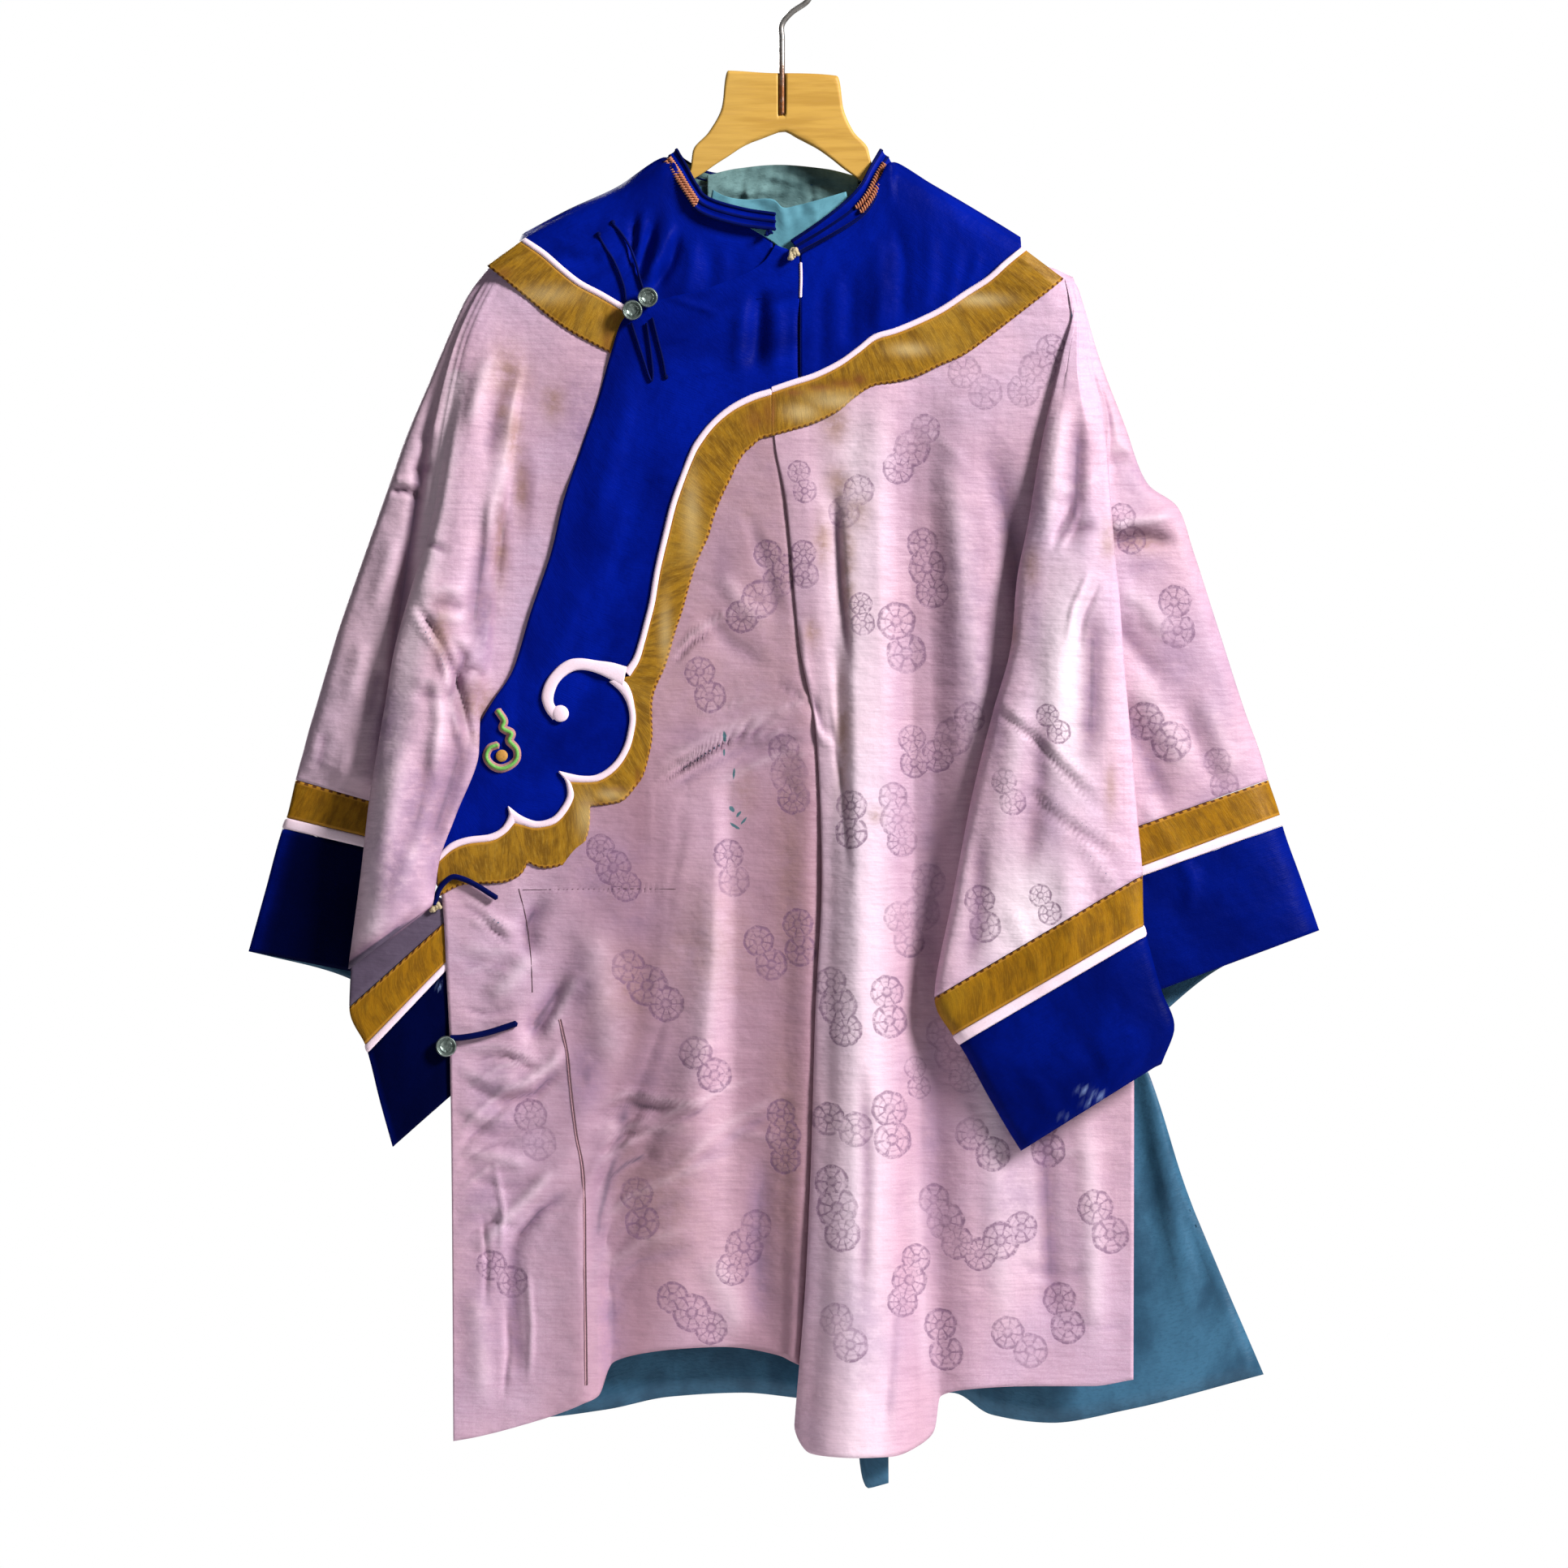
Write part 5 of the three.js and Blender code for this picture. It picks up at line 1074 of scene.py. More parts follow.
PIPING_WIDTH = 4.1


def piping_edge(inner, outer):
    """The line where piping along the inner line meets the ribbon."""
    width = np.linalg.norm(outer - inner, axis=1, keepdims=True)
    return inner + (outer - inner) * np.minimum(PIPING_WIDTH / width, 0.4)


SCALLOP_PITCH = 4.5


def band(name, inner, outer, depth, columns, material, slot, hides, swell=0.0, spots=None, scallop=0.0,
         out=-1,
         creases=(), cloth=True):
    """A strip between two matched lines of [x, z]. swell rounds its face; scallop waves its outer edge."""
    s = np.linspace(0, 1, columns)[None, :, None]
    flat = inner[:, None] * (1 - s) + outer[:, None] * s
    run = running(outer)
    if scallop:
        side = flat[:, -1] - flat[:, -2]
        side /= np.maximum(np.linalg.norm(side, axis=-1, keepdims=True), 1e-6)
        flat[:, -1] += side * (scallop * np.abs(np.sin(run / SCALLOP_PITCH * math.pi)))[:, None]
    t = np.linspace(0, 1, columns)[None]
    y = depth(flat[..., 0], flat[..., 1]) - swell * np.sqrt(np.clip(1 - (2 * t - 1) ** 2, 0, 1))
    grid = np.stack([flat[..., 0], y, flat[..., 1]], -1)
    if creases:
        creased(grid, creases)
    across = running(flat, 1)
    full = across[:, -1:]
    along = np.repeat(run[:, None], columns, 1)
    maps = {"edge": np.stack([along, full - across], -1) / 1000,
            "cloth": np.stack([along, across], -1) / 1000}
    return shell(name, grid, LINING, material, TEAL, slot, hides, out,
                 tint=spots(grid) if spots else np.zeros(grid.shape),
                 cloth=cloth, maps=maps)


def trim_over(shoulder, full, lift, rise):
    """The depth of trim on a yoke. It stands off the cloth by lift, and by rise more at the shoulder."""
    def depth(x, z):
        below = np.interp(x, *np.array(shoulder, float).T) - z
        return roll_at(shoulder, full, x, z) - lift - rise * np.clip(1 - below / 60, 0, 1)
    return depth


on_left = trim_over(SHOULDER_LEFT, FRONT, 1.6, 4)
on_under = trim_over(SHOULDER_RIGHT, UNDER_FRONT, 1.15, 3)


def on_flap(x, z):
    return np.full(x.shape, -FRONT - 1.6)


LEFT_INNER = [[182, -226], [169, -236.5], [155, -249], [138, -260], [120, -272], [102, -281], [85, -288],
              [69, -293],
              [56, -303], [42, -313], [24, -322], [7, -327.5], [-9, -333]]
LEFT_OUTER = [[214, -250], [203, -259], [190, -269], [172, -283], [155, -296], [138, -308], [120, -316],
              [102, -324.5],
              [85, -329], [68, -332], [54, -341], [42, -351], [24, -360], [7, -365.5], [-9, -370]]
UNDER_INNER = [[-197, -219], [-182, -229], [-167, -242], [-154, -252], [-138, -260.5], [-117, -273]]
UNDER_OUTER = [[-226, -240], [-211, -252], [-193, -267], [-176, -281], [-157, -293.5], [-127, -309]]
# The flap's piping, blue side then ribbon side, from the centre to the scroll and on to the side seam.
FLAP_UPPER = [[-9, -334], [-25, -339], [-42, -348], [-56, -360], [-67, -374], [-72, -384], [-79, -402],
              [-86, -422],
              [-91, -442], [-98, -472], [-102, -496], [-106, -512], [-110, -527], [-114.4, -539.5],
              [-121.5, -549.5]]
FLAP_UPPER_GOLD = [[-9, -338.5], [-24, -343.5], [-39.5, -351.5], [-53, -363], [-63.5, -377], [-68.4, -386],
                   [-75.2, -403], [-82, -423], [-87, -443], [-94, -472.5], [-98, -496.5], [-102, -513],
                   [-106, -528],
                   [-110.2, -542], [-117.2, -553.8]]
HOOK_OUTER = [[-119.6, -546.6], [-131, -543.4], [-143, -541.8], [-153, -540.3], [-162, -540.8],
              [-169.5, -544.5],
              [-175.5, -550], [-180, -556], [-183, -562.5], [-184.2, -571], [-181, -580], [-175.5, -587]]
HOOK_INNER = [[-122.5, -562], [-130, -557], [-139, -552.4], [-147, -549.6], [-154.4, -548.6],
              [-161, -549.9],
              [-167.6, -554], [-172, -559], [-174.6, -564.8], [-175.8, -570], [-175.6, -574],
              [-173.6, -578]]
FLAP_LOWER = [[-133, -557.6], [-125.6, -564.2], [-121, -570.4], [-118.4, -577], [-117.2, -584],
              [-117.8, -592.1], [-121.5, -607],
              [-129.6, -620], [-141.4, -628.7], [-154.4, -629.9], [-171.7, -626.2], [-166.2, -633.6],
              [-164.9, -644.8], [-169.9, -654.7], [-177.3, -662.2], [-188.5, -664.6], [-200.3, -660.3],
              [-210.2, -652.9], [-209.6, -660.3], [-215.1, -669.6], [-224.4, -674.6], [-241.8, -677],
              [-254.8, -682], [-265.5, -692.5]]
FLAP_LOWER_GOLD = [[-124.8, -555.6], [-119.6, -559], [-115.8, -566.6], [-113.8, -576.4], [-112.8, -584],
                   [-113.5, -593], [-117.5, -609],
                   [-126.5, -623.5], [-139.5, -633], [-152, -634.6], [-163.2, -634.2], [-161.4, -638],
                   [-160.2, -646], [-166, -657.6], [-175, -666.4], [-189, -669.4], [-199, -667.2],
                   [-204.8, -665.8],
                   [-206, -666.6], [-212.4, -673.6], [-222.6, -679.2], [-240.6, -681.6], [-253, -686.4],
                   [-264.5, -696.5]]
FLAP_OUTER = [[-9, -370], [-17, -372], [-24, -378], [-30, -383.5], [-36, -393], [-40, -402], [-45, -412],
              [-49, -421],
              [-53.5, -433], [-57, -446], [-62, -457], [-67, -469], [-72, -485], [-77, -503], [-83, -521],
              [-90, -545], [-97.5, -562], [-100.2, -573], [-100.4, -586], [-100.2, -600], [-102.6, -614],
              [-107, -629], [-113, -638], [-123, -648.5], [-136, -651.4], [-147.6, -652.6], [-148, -666],
              [-150, -676], [-156, -690], [-163, -695.6], [-176, -699.5], [-186, -699.6], [-195, -695.8],
              [-200.6, -705], [-211, -710.4], [-221, -711.6], [-231.5, -712], [-247, -713.4], [-264, -722]]

left_in, left_out = even_pairs(LEFT_INNER, LEFT_OUTER, 330)
left_mid = piping_edge(left_in, left_out)
band("piping_left", left_in, left_mid, on_left, 7, PINK, "pink_piping", ["border_left_piping"], 1.1,
     cloth=False)


def left_ribbon_marks_and_shading(grid):
    # dark: painted shade in the pleat and the notch at the centre; light: painted highlight beside the
    # pleat, and rubbed pale patches
    dark = blob(grid, [[-8, -352, 3.2, 16], [46, -330, 14, 4.5], [58, -327, 7, 5], [28, -333, 14, 3.5],
                       [8, -337, 10, 3]])
    light = blob(grid, [[40, -343, 26, 8], [96, -304, 18, 6], [150, -266, 26, 6], [14, -352, 16, 8]])
    return np.stack([dark * 0.9, 0 * dark, light * 0.8], -1)


band("ribbon_left", left_mid, left_out, on_left, 15, GOLD, "gold_ribbon", ["border_left_ribbon"], 0.25,
     left_ribbon_marks_and_shading, 0.5,
     creases=[[-0.6, 2.2, [4, -336], [34, -331], [61, -326]], [0.9, 3, [8, -342], [36, -338], [58, -332]],
              [-0.4, 2, [-6, -346], [-7, -356], [-7, -366]],
              [0.5, 5, [70, -306], [100, -292], [120, -280]]])

under_in, under_out = even_pairs(UNDER_INNER, UNDER_OUTER, 150)
under_mid = piping_edge(under_in, under_out)
band("piping_under", under_in, under_mid, on_under, 7, PINK, "pink_piping", ["border_under_piping"], 1.1,
     out=1,
     cloth=False)


def under_ribbon_marks_and_shading(grid):
    # dark: painted shade in the ribbon's fold, and a dark mark near its end; light: a pale patch
    dark = blob(grid, [[-134, -296, 7, 20], [-128, -276, 5, 12], [-214, -246, 8, 6]])
    return np.stack([dark * 0.6, 0 * dark, blob(grid, [[-180, -262, 30, 9]]) * 0.5], -1)


band("ribbon_under", under_mid, under_out, on_under, 18, GOLD, "gold_ribbon", ["border_under_ribbon"], 0.2,
     under_ribbon_marks_and_shading,
     0.5, out=1, creases=[[-0.4, 3, [-140, -268], [-136, -282], [-140, -298]]])

upper_in, upper_mid = matched(FLAP_UPPER, FLAP_UPPER_GOLD, 240)
band("piping_flap", upper_in, upper_mid, on_flap, 7, PINK, "pink_piping", ["border_flap_piping"], 1.1,
     cloth=False)
cusps = (10, 17)
lower_in, lower_mid = matched(FLAP_LOWER, FLAP_LOWER_GOLD, 320, cusps, cusps)
band("piping_flap_lower", lower_in, lower_mid, on_flap, 7, PINK, "pink_piping", ["border_flap_piping"],
     1.1, cloth=False)
hook_out, hook_in = matched(HOOK_OUTER, HOOK_INNER, 120)
band("scroll_hook", hook_out, hook_in, lambda x, z: on_flap(x, z) - 0.5, 11, PINK, "pink_piping",
     ["scroll"], 1.3,
     cloth=False)

# The ribbon's inner edge follows both runs of piping, with a tip between them.
ribbon_in = FLAP_UPPER_GOLD[:-1] + [[-117.5, -553.6]] + FLAP_LOWER_GOLD
GOLD_STEPS, OUTER_STEPS = 620, 1200
gold_in = through(ribbon_in, GOLD_STEPS, (14, 15, 25, 32))
outer_fine = through(FLAP_OUTER, OUTER_STEPS, (25, 32))
# Each point of the inner edge is paired with the outer one that its place on a list of ties gives.
INNER_TIES = [0, 5, 10, 13, 15, 18, 20, 22, 25, 28, 32, 35, 38]
OUTER_TIES = [0, 6, 12, 15, 16.3, 18, 20, 22, 26, 29, 32.6, 35, 38]
place_in = np.linspace(0, len(ribbon_in) - 1, GOLD_STEPS)
place_out = np.interp(place_in, INNER_TIES, OUTER_TIES)
at = place_out / (len(FLAP_OUTER) - 1) * (OUTER_STEPS - 1)
gold_out = np.stack([np.interp(at, np.arange(OUTER_STEPS), outer_fine[:, k]) for k in (0, 1)], -1)


def flap_ribbon_marks_and_shading(grid):
    # dark: painted shade beside the centre and in the fold at the scroll; light: painted highlight on that
    # fold, and rubbed pale strips
    dark = blob(grid, [[-12, -352, 6, 18], [-22, -358, 10, 12], [-146, -651, 12, 2.6], [-127, -640, 8, 2.6],
                       [-111, -632, 3, 10]])
    light = blob(grid, [[-132, -644, 14, 6], [-70, -430, 8, 40], [-90, -520, 6, 30], [-150, -660, 10, 20]])
    return np.stack([dark * 0.65, 0 * dark, light * 0.6], -1)


band("ribbon_flap", gold_in, gold_out, on_flap, 20, GOLD, "gold_ribbon", ["border_flap_ribbon"], 0.25,
     flap_ribbon_marks_and_shading, 0.5,
     creases=[[0.8, 2.5, [-112, -632], [-124, -646], [-146, -652]],
              [-0.4, 1.5, [-110, -634], [-122, -650], [-148, -654]]])

# ---------------------------------------------------------------- sleeves
LEFT_SLEEVE = [
    dict(a=[240, -308], b=[234, -12, -311], c=[230, -15.5, -312], front=-22, d=[213, -20.6, -310],
         turn=-17, e=[223.5, -14.6, -312], f=[226, 12.5, -312], rear=13),
    dict(a=[260, -361], b=[244, -17, -364], c=[245, -21, -366], front=-28, d=[198, -24, -375],
         turn=-19.5, e=[233, -17.5, -365], f=[233, 12.5, -365], rear=14),
    dict(a=[278, -407], b=[237, -25, -418], c=[250, -30, -422], front=-37, d=[187, -27, -440],
         turn=-20, e=[239, -17.5, -420], f=[239, 12.5, -420], rear=14),
    dict(a=[301, -425], b=[229, -28, -446], c=[253, -35, -459], front=-43, d=[179, -29, -480],
         turn=-20.5, e=[241, -17.5, -455], f=[242, 12.5, -455], rear=14),
    dict(a=[313, -459], b=[225, -29, -477], c=[256, -36, -487], front=-46, d=[175, -30, -527],
         turn=-20.5, e=[245, -14, -500], f=[245, 11, -495], rear=14),
    dict(a=[332, -518], b=[224, -29, -538], c=[260, -36, -542], front=-47, d=[161, -30, -580],
         turn=-20.5, e=[252, -1, -548], f=[252, 1, -545], rear=14),
    dict(a=[353, -583], b=[228, -29, -608], c=[266, -36, -610], front=-48, d=[145, -30, -644],
         turn=-20.5, e=[255, -1, -614], f=[255, 1, -612], rear=14, rise=5),
    dict(a=[363, -610], b=[228, -29, -650], c=[270, -36, -660], front=-48, d=[130, -30, -722],
         turn=-20.5, e=[257, -1, -658], f=[257, 1, -656], rear=14, rise=10),
    dict(a=[370, -633], b=[228, -29, -684], c=[274, -36, -706], front=-47, d=[116, -30, -799],
         turn=-20.5, e=[260, -1, -708], f=[260, 1, -706], rear=14, rise=15),
    dict(a=[379, -660], b=[236, -29, -713], c=[275, -36, -744], front=-47, d=[130, -30, -828],
         turn=-20.5, e=[262, -1, -738], f=[262, 1, -736], rear=14, rise=15),
    dict(a=[381, -668], b=[239, -29, -719], c=[277, -36, -752], front=-47, d=[135, -30, -835],
         turn=-20.5, e=[262, -1, -745], f=[262, 1, -743], rear=14, rise=15),
    dict(a=[395, -708], b=[253, -29, -760], c=[289, -36, -795], front=-46, d=[158, -30, -876],
         turn=-20.5, e=[266, -1, -790], f=[266, 1, -788], rear=14, rise=15),
    dict(a=[403.5, -732], b=[261, -29, -785], c=[298.5, -36, -822], front=-45.5, d=[172, -30, -900],
         turn=-20.5, e=[267, -1, -816], f=[267, 1, -814], rear=14, rise=15),
    dict(a=[409, -748], b=[267, -29, -801], c=[289, -36, -849], front=-45, d=[182, -30, -916],
         turn=-20.5, e=[268, -1, -832], f=[268, 1, -830], rear=14, rise=15),
]
RIGHT_SLEEVE = [
    dict(a=[-217, -233], b=[-214, -7, -235], c=[-211, -9.5, -237], front=-12.5, d=[-168, -12.5,
         -270], turn=-12.5, e=[-125, -12.5, -294], f=[-219, 3, -236], rear=2.5),
    dict(a=[-240, -262], b=[-233, -10, -266], c=[-228, -13, -268], front=-12.9, d=[-190, -12.5,
         -291], turn=-12.5, e=[-130, -12.5, -318], f=[-221, 12.5, -266], rear=11),
    dict(a=[-255, -293], b=[-247, -12, -298], c=[-241, -15, -300], front=-16, d=[-197, -13, -322],
         turn=-12.5, e=[-137, -12.5, -345], f=[-226, 12.5, -300], rear=13),
    dict(a=[-270, -329], b=[-256, -13, -335], c=[-250, -15.5, -338], front=-23, d=[-203, -13.5,
         -362], turn=-12.5, e=[-148, -12.5, -385], f=[-233, 12.5, -340], rear=14),
    dict(a=[-288, -372], b=[-264, -14, -383], c=[-259, -17, -386], front=-26, d=[-208, -13.5,
         -408], turn=-12.5, e=[-160, -12.5, -428], f=[-239, 12.5, -390], rear=14),
    dict(a=[-301, -409], b=[-268, -15, -428], c=[-267, -19, -432], front=-29, d=[-212, -14, -455],
         turn=-12.5, e=[-172, -12.5, -472], f=[-243, 12.5, -430], rear=14),
    dict(a=[-320, -463], b=[-272, -16, -480], c=[-283, -22, -484], front=-32, d=[-218, -14.5,
         -505], turn=-12.5, e=[-186, -12.5, -520], f=[-247, 12.5, -480], rear=14),
    dict(a=[-340, -521], b=[-276, -18, -538], c=[-298, -26, -540], front=-37, d=[-225, -16, -556],
         turn=-12.7, e=[-205, -12.5, -566], f=[-250, 12.5, -540], rear=14),
    dict(a=[-348, -548], b=[-277, -19, -566], c=[-303, -28, -571], front=-40, d=[-232, -21, -586],
         turn=-12, e=[-233, -6, -590], f=[-250, 8, -580], rear=14),
    dict(a=[-355, -572], b=[-278, -21, -600], c=[-309, -30, -606], front=-43, d=[-233, -27, -612],
         turn=-20.7, e=[-248, -1, -618], f=[-248, 1, -616], rear=14),
    dict(a=[-361, -592], b=[-279, -22, -640], c=[-316, -31, -650], front=-45, d=[-251, -27, -661],
         turn=-20.7, e=[-264, -1, -665], f=[-264, 1, -663], rear=14),
    dict(a=[-364, -603], b=[-280, -22, -650], c=[-322, -32, -702], front=-46, d=[-263, -27, -694],
         turn=-20.7, e=[-277, -1, -697], f=[-277, 1, -695], rear=14),
    dict(a=[-366, -611], b=[-281, -21, -655], c=[-332, -32, -778], front=-43, d=[-269, -27, -729],
         turn=-21, e=[-278, -1, -725], f=[-277, 1, -723], rear=14, rise=5.5),
    dict(a=[-368, -618], b=[-282, -16, -656], c=[-329, -22, -762], front=-24, d=[-271.5, -18, -720],
         turn=-12, e=[-270, 0, -726], f=[-269, 2, -724], rear=14, rise=4.5),
    dict(a=[-372, -633], b=[-285, -8, -658], c=[-331, -15, -806], front=-17, d=[-248, -6, -732],
         turn=-2, e=[-258, 3, -735], f=[-258, 5, -733], rear=13, rise=4),
    dict(a=[-379, -662], b=[-287, -8, -684], c=[-319, -15, -835], front=-17, d=[-247, -7, -761],
         turn=-2, e=[-258, 3, -762], f=[-258, 5, -760], rear=13, rise=9),
    dict(a=[-382, -670], b=[-288, -8, -692], c=[-317, -15, -841], front=-17, d=[-247, -7, -767],
         turn=-2, e=[-258, 3, -768], f=[-258, 5, -766], rear=13, rise=10),
    dict(a=[-395, -717], b=[-291, -8, -739], c=[-308, -15, -877], front=-17, d=[-247, -7, -818],
         turn=-2, e=[-258, 3, -812], f=[-258, 5, -810], rear=13, rise=20),
    dict(a=[-408, -764], b=[-295, -8, -786], c=[-298, -15, -913], front=-17, d=[-247, -7, -868],
         turn=-2, e=[-258, 3, -858], f=[-258, 5, -856], rear=13, rise=26),
]


AROUND = 21  # points round a sleeve


def sleeve_row(level):
    """Points round the folded sleeve, from the back armhole edge f over the fold a to the front edge e."""
    a, (b, c, d, e, f) = np.array([level["a"][0], 0, level["a"][1]],
                                  float), (np.array(level[k], float) for k in "bcdef")
    front, rear, turn = level["front"], level["rear"], level["turn"]

    def between(p, q, t, y):
        x, _, z = p + (q - p) * t
        return [x, y, z]

    def toward(p, q, far, y):
        gap = math.hypot(q[0] - p[0], q[2] - p[2])
        return between(p, q, min(far, gap * 0.3) / gap, y)

    def part(p, q, t):
        return p + (q - p) * t

    def raised(point, by):
        return [point[0], point[1], point[2] + by]

    rise = level.get("rise", 0)
    return [
        f, raised(between(f, a, 0.5, rear), rise), raised(between(f, a, 0.9, rear * 0.6), rise * 0.22), a,
        between(a, b, 0.08, b[1] * 0.38), between(a, b, 0.38, b[1] * 0.6), between(a, b, 0.7, b[1] * 0.74),
        toward(b, a, 6, b[1] + (3 if c[1] - b[1] < -4 else 0.5)), b,
        toward(b, c, 5, part(b[1], c[1], 0.4)), toward(c, b, 5, part(b[1], c[1], 0.6)), c,
        toward(c, d, 6, part(c[1], front, 0.45)), between(c, d, 0.35, front),
        between(c, d, 0.68, part(front, d[1], 0.2)), toward(d, c, 7, part(d[1], front, 0.5)), d,
        toward(d, e, 6, part(d[1], turn, 0.75)), between(d, e, 0.5, turn),
            between(d, e, 0.96, part(turn, e[1], 0.08)), e,
    ]


def cap_row(x, reach_out, half, z, drop):
    """A half ring over the hanger's tip."""
    turns = [math.pi / 2 * (1 - i / 3) if i < 3 else -math.pi / 2 * (i - 3) / 17 for i in range(AROUND)]
    return [[x + reach_out * math.cos(t), half * math.sin(t), z - drop * math.cos(t)] for t in turns]


SLEEVE_GAP = 0.3  # between a cuff's rings


def sleeve(side, rows, gold_top, creases_outer, creases_front, spots, tint, out):
    """The sleeve and its cuff rings: one fine surface through all the rows, cut below row gold_top."""
    rows = np.array(rows, float)
    across, down = reach(rows, 1), reach(rows, 0)
    columns = int(across[-1] / FINE)
    at_u = np.linspace(0, across[-1], columns + 1)
    place = np.interp(at_u, across, np.arange(AROUND))
    lined = ease(across, rows.transpose(1, 0, 2), at_u).transpose(1, 0, 2)
    # Columns 3 to 8 face forward outside the front fold, 11 to 16 are that fold's own face.
    outer_face = np.interp(place, [3.2, 4.2, 7.0, 7.8], [0, 1, 1, 0])
    front_face = np.interp(place, [10.9, 11.8, 15.2, 16], [0, 1, 1, 0])
    back_face = np.interp(place, [0, 0.4, 2.2, 2.9], [0, 1, 1, 0])
    kinds = {"silk": (FINE * TALL, LILAC), "ribbon": (1.9, CUFF_GOLD), "piping": (0.75, PINK),
             "satin": (FINE * TALL, CUFF_BLUE)}
    nodes = {"silk": f"sleeve_{side}", "ribbon": f"cuff_ribbon_{side}", "piping": f"cuff_piping_{side}",
             "satin": f"cuff_satin_{side}"}
    slots = {"silk": "lilac_silk", "ribbon": "gold_ribbon", "piping": "pink_piping", "satin": "blue_satin"}
    stops = [0, gold_top, gold_top + 1, gold_top + 2, len(rows) - 1]
    for kind, first, last in zip(kinds, stops[:-1], stops[1:]):
        cell, material = kinds[kind]
        start = down[first] + (SLEEVE_GAP if first else 0)
        end = down[last] - (SLEEVE_GAP if last < len(rows) - 1 else 0)
        count = max(int((end - start) / cell), 4)
        fine = ease(down, lined, np.linspace(start, end, count + 1))
        faces = (outer_face[None] + 0 * fine[..., 0], front_face[None] + 0 * fine[..., 0])
        fade = 1.0 if kind in ("silk", "satin") else 0.5
        creased(fine, creases_outer, faces[0] * fade)
        creased(fine, creases_front, faces[1] * fade)
        ripple(fine, 21, 40, 0.5, faces[0] + faces[1], (1, 1.4))
        ripple(fine, 22, 11, 0.15, faces[0] + faces[1])
        ripple(fine, 23, 52, 0.8, back_face[None] + 0 * fine[..., 0], (1, 1.5), toward=1)
        maps = None
        if kind == "piping":
            t = np.linspace(0, 1, count + 1)[:, None]
            fine = fine + normals(fine) * out * (0.9 * np.sqrt(np.clip(1 - (2 * t - 1) ** 2, 0, 1)))[...,
                                                                                                     None]
        if kind == "ribbon":
            run_across, from_silk = running(fine, 1), running(fine)
            maps = {"edge": np.stack([run_across, from_silk], -1) / 1000,
                    "cloth": np.stack([run_across, from_silk[-1:] - from_silk], -1) / 1000}
        shade = tint(fine) if kind == "silk" else np.zeros(fine.shape)
        if kind == "silk":
            shade[..., :3] *= (1 - 0.7 * back_face)[None, :, None]
            shade[..., 3] = 1 - (1 - shade[..., 3]) * (1 - back_face)
            # painted shade in the crease troughs, painted highlight on their ridges
            marks = [crease_shading(fine, creases_outer, faces[0]), crease_shading(fine, creases_front, faces[1])]
            dark, painted_highlight = np.maximum(marks[0][0], marks[1][0]), np.maximum(marks[0][1], marks[1][1])
            shade[..., 1:3] = np.maximum(shade[..., 1:3], (dark * 0.87)[..., None])
            shade[..., 3] = np.minimum(shade[..., 3], 1 - 0.35 * painted_highlight)
        if kind == "satin":
            shade[..., 0] = wear(fine, side)
            # painted shade, near black, over the cuff's front faces, strong on the right sleeve
            shade[..., 1] = (0.92 if side == "right" else 0.12) * (faces[0] + faces[1])
        flowers = {"spots": spots,
                   "where": faces[0] + faces[1] + back_face[None]} if kind == "silk" else None
        shell(f"sleeve_{side}_{kind}", fine, CLOTH if kind == "silk" else 1.0, material, TEAL, slots[kind],
              [nodes[kind]],
              out, flowers, shade, cloth=kind != "piping", maps=maps)


def wear(grid, side):
    """White scuffs on the satin cuff."""
    if side == "left":
        return blob(grid, [[229, -870, 5, 1.6], [240, -874, 6, 1.8], [247, -878, 4, 1.4],
                           [232, -880, 4, 1.2],
                           [214, -890, 3, 1.2]])
    return blob(grid, [[-262, -790, 2.5, 1.2], [-252, -838, 3, 1.2]])


left_rows = [cap_row(213.5, 3.5, 2.6, -247.6, 0.5), cap_row(215, 8.5, 9.4, -251, 4),
             cap_row(219, 9.5, 14.5, -268, 1)]
left_rows += [sleeve_row(level) for level in LEFT_SLEEVE]
right_rows = [sleeve_row(level) for level in RIGHT_SLEEVE]


def left_tint(grid):
    stain = blob(grid, [[275, -452, 26, 10], [248, -450, 8, 20], [190, -470, 8, 20], [250, -640, 6, 30],
                        [176, -520, 5, 20]])
    x, z = grid[..., 0], grid[..., 2]
    outer = np.clip((x - np.interp(-z, [360, 450, 540, 740], [238, 262, 268, 292])) / 8, 0, 1)
    # a rosier, darker tone on the outer face
    rosy_tone_and_shade = outer * 0.3
    # violet bloom in broad patches, and painted shade in narrow strips
    violet_bloom_and_shade = blob(grid, [[196, -660, 26, 40], [330, -650, 26, 40], [270, -400, 24, 20], [276, -470, 26, 12],
                         [300, -540, 26, 50], [330, -580, 24, 50], [192, -500, 8, 60], [164, -590, 8, 40],
                         [196, -420, 7, 40], [282, -620, 8, 60]]) * 0.6
    # painted highlight on the front fold
    painted_highlight = blob(grid, [[216, -560, 30, 110], [186, -740, 50, 70]]) * 0.85
    return np.stack([stain * 0.7, rosy_tone_and_shade, violet_bloom_and_shade, 1 - painted_highlight], -1)


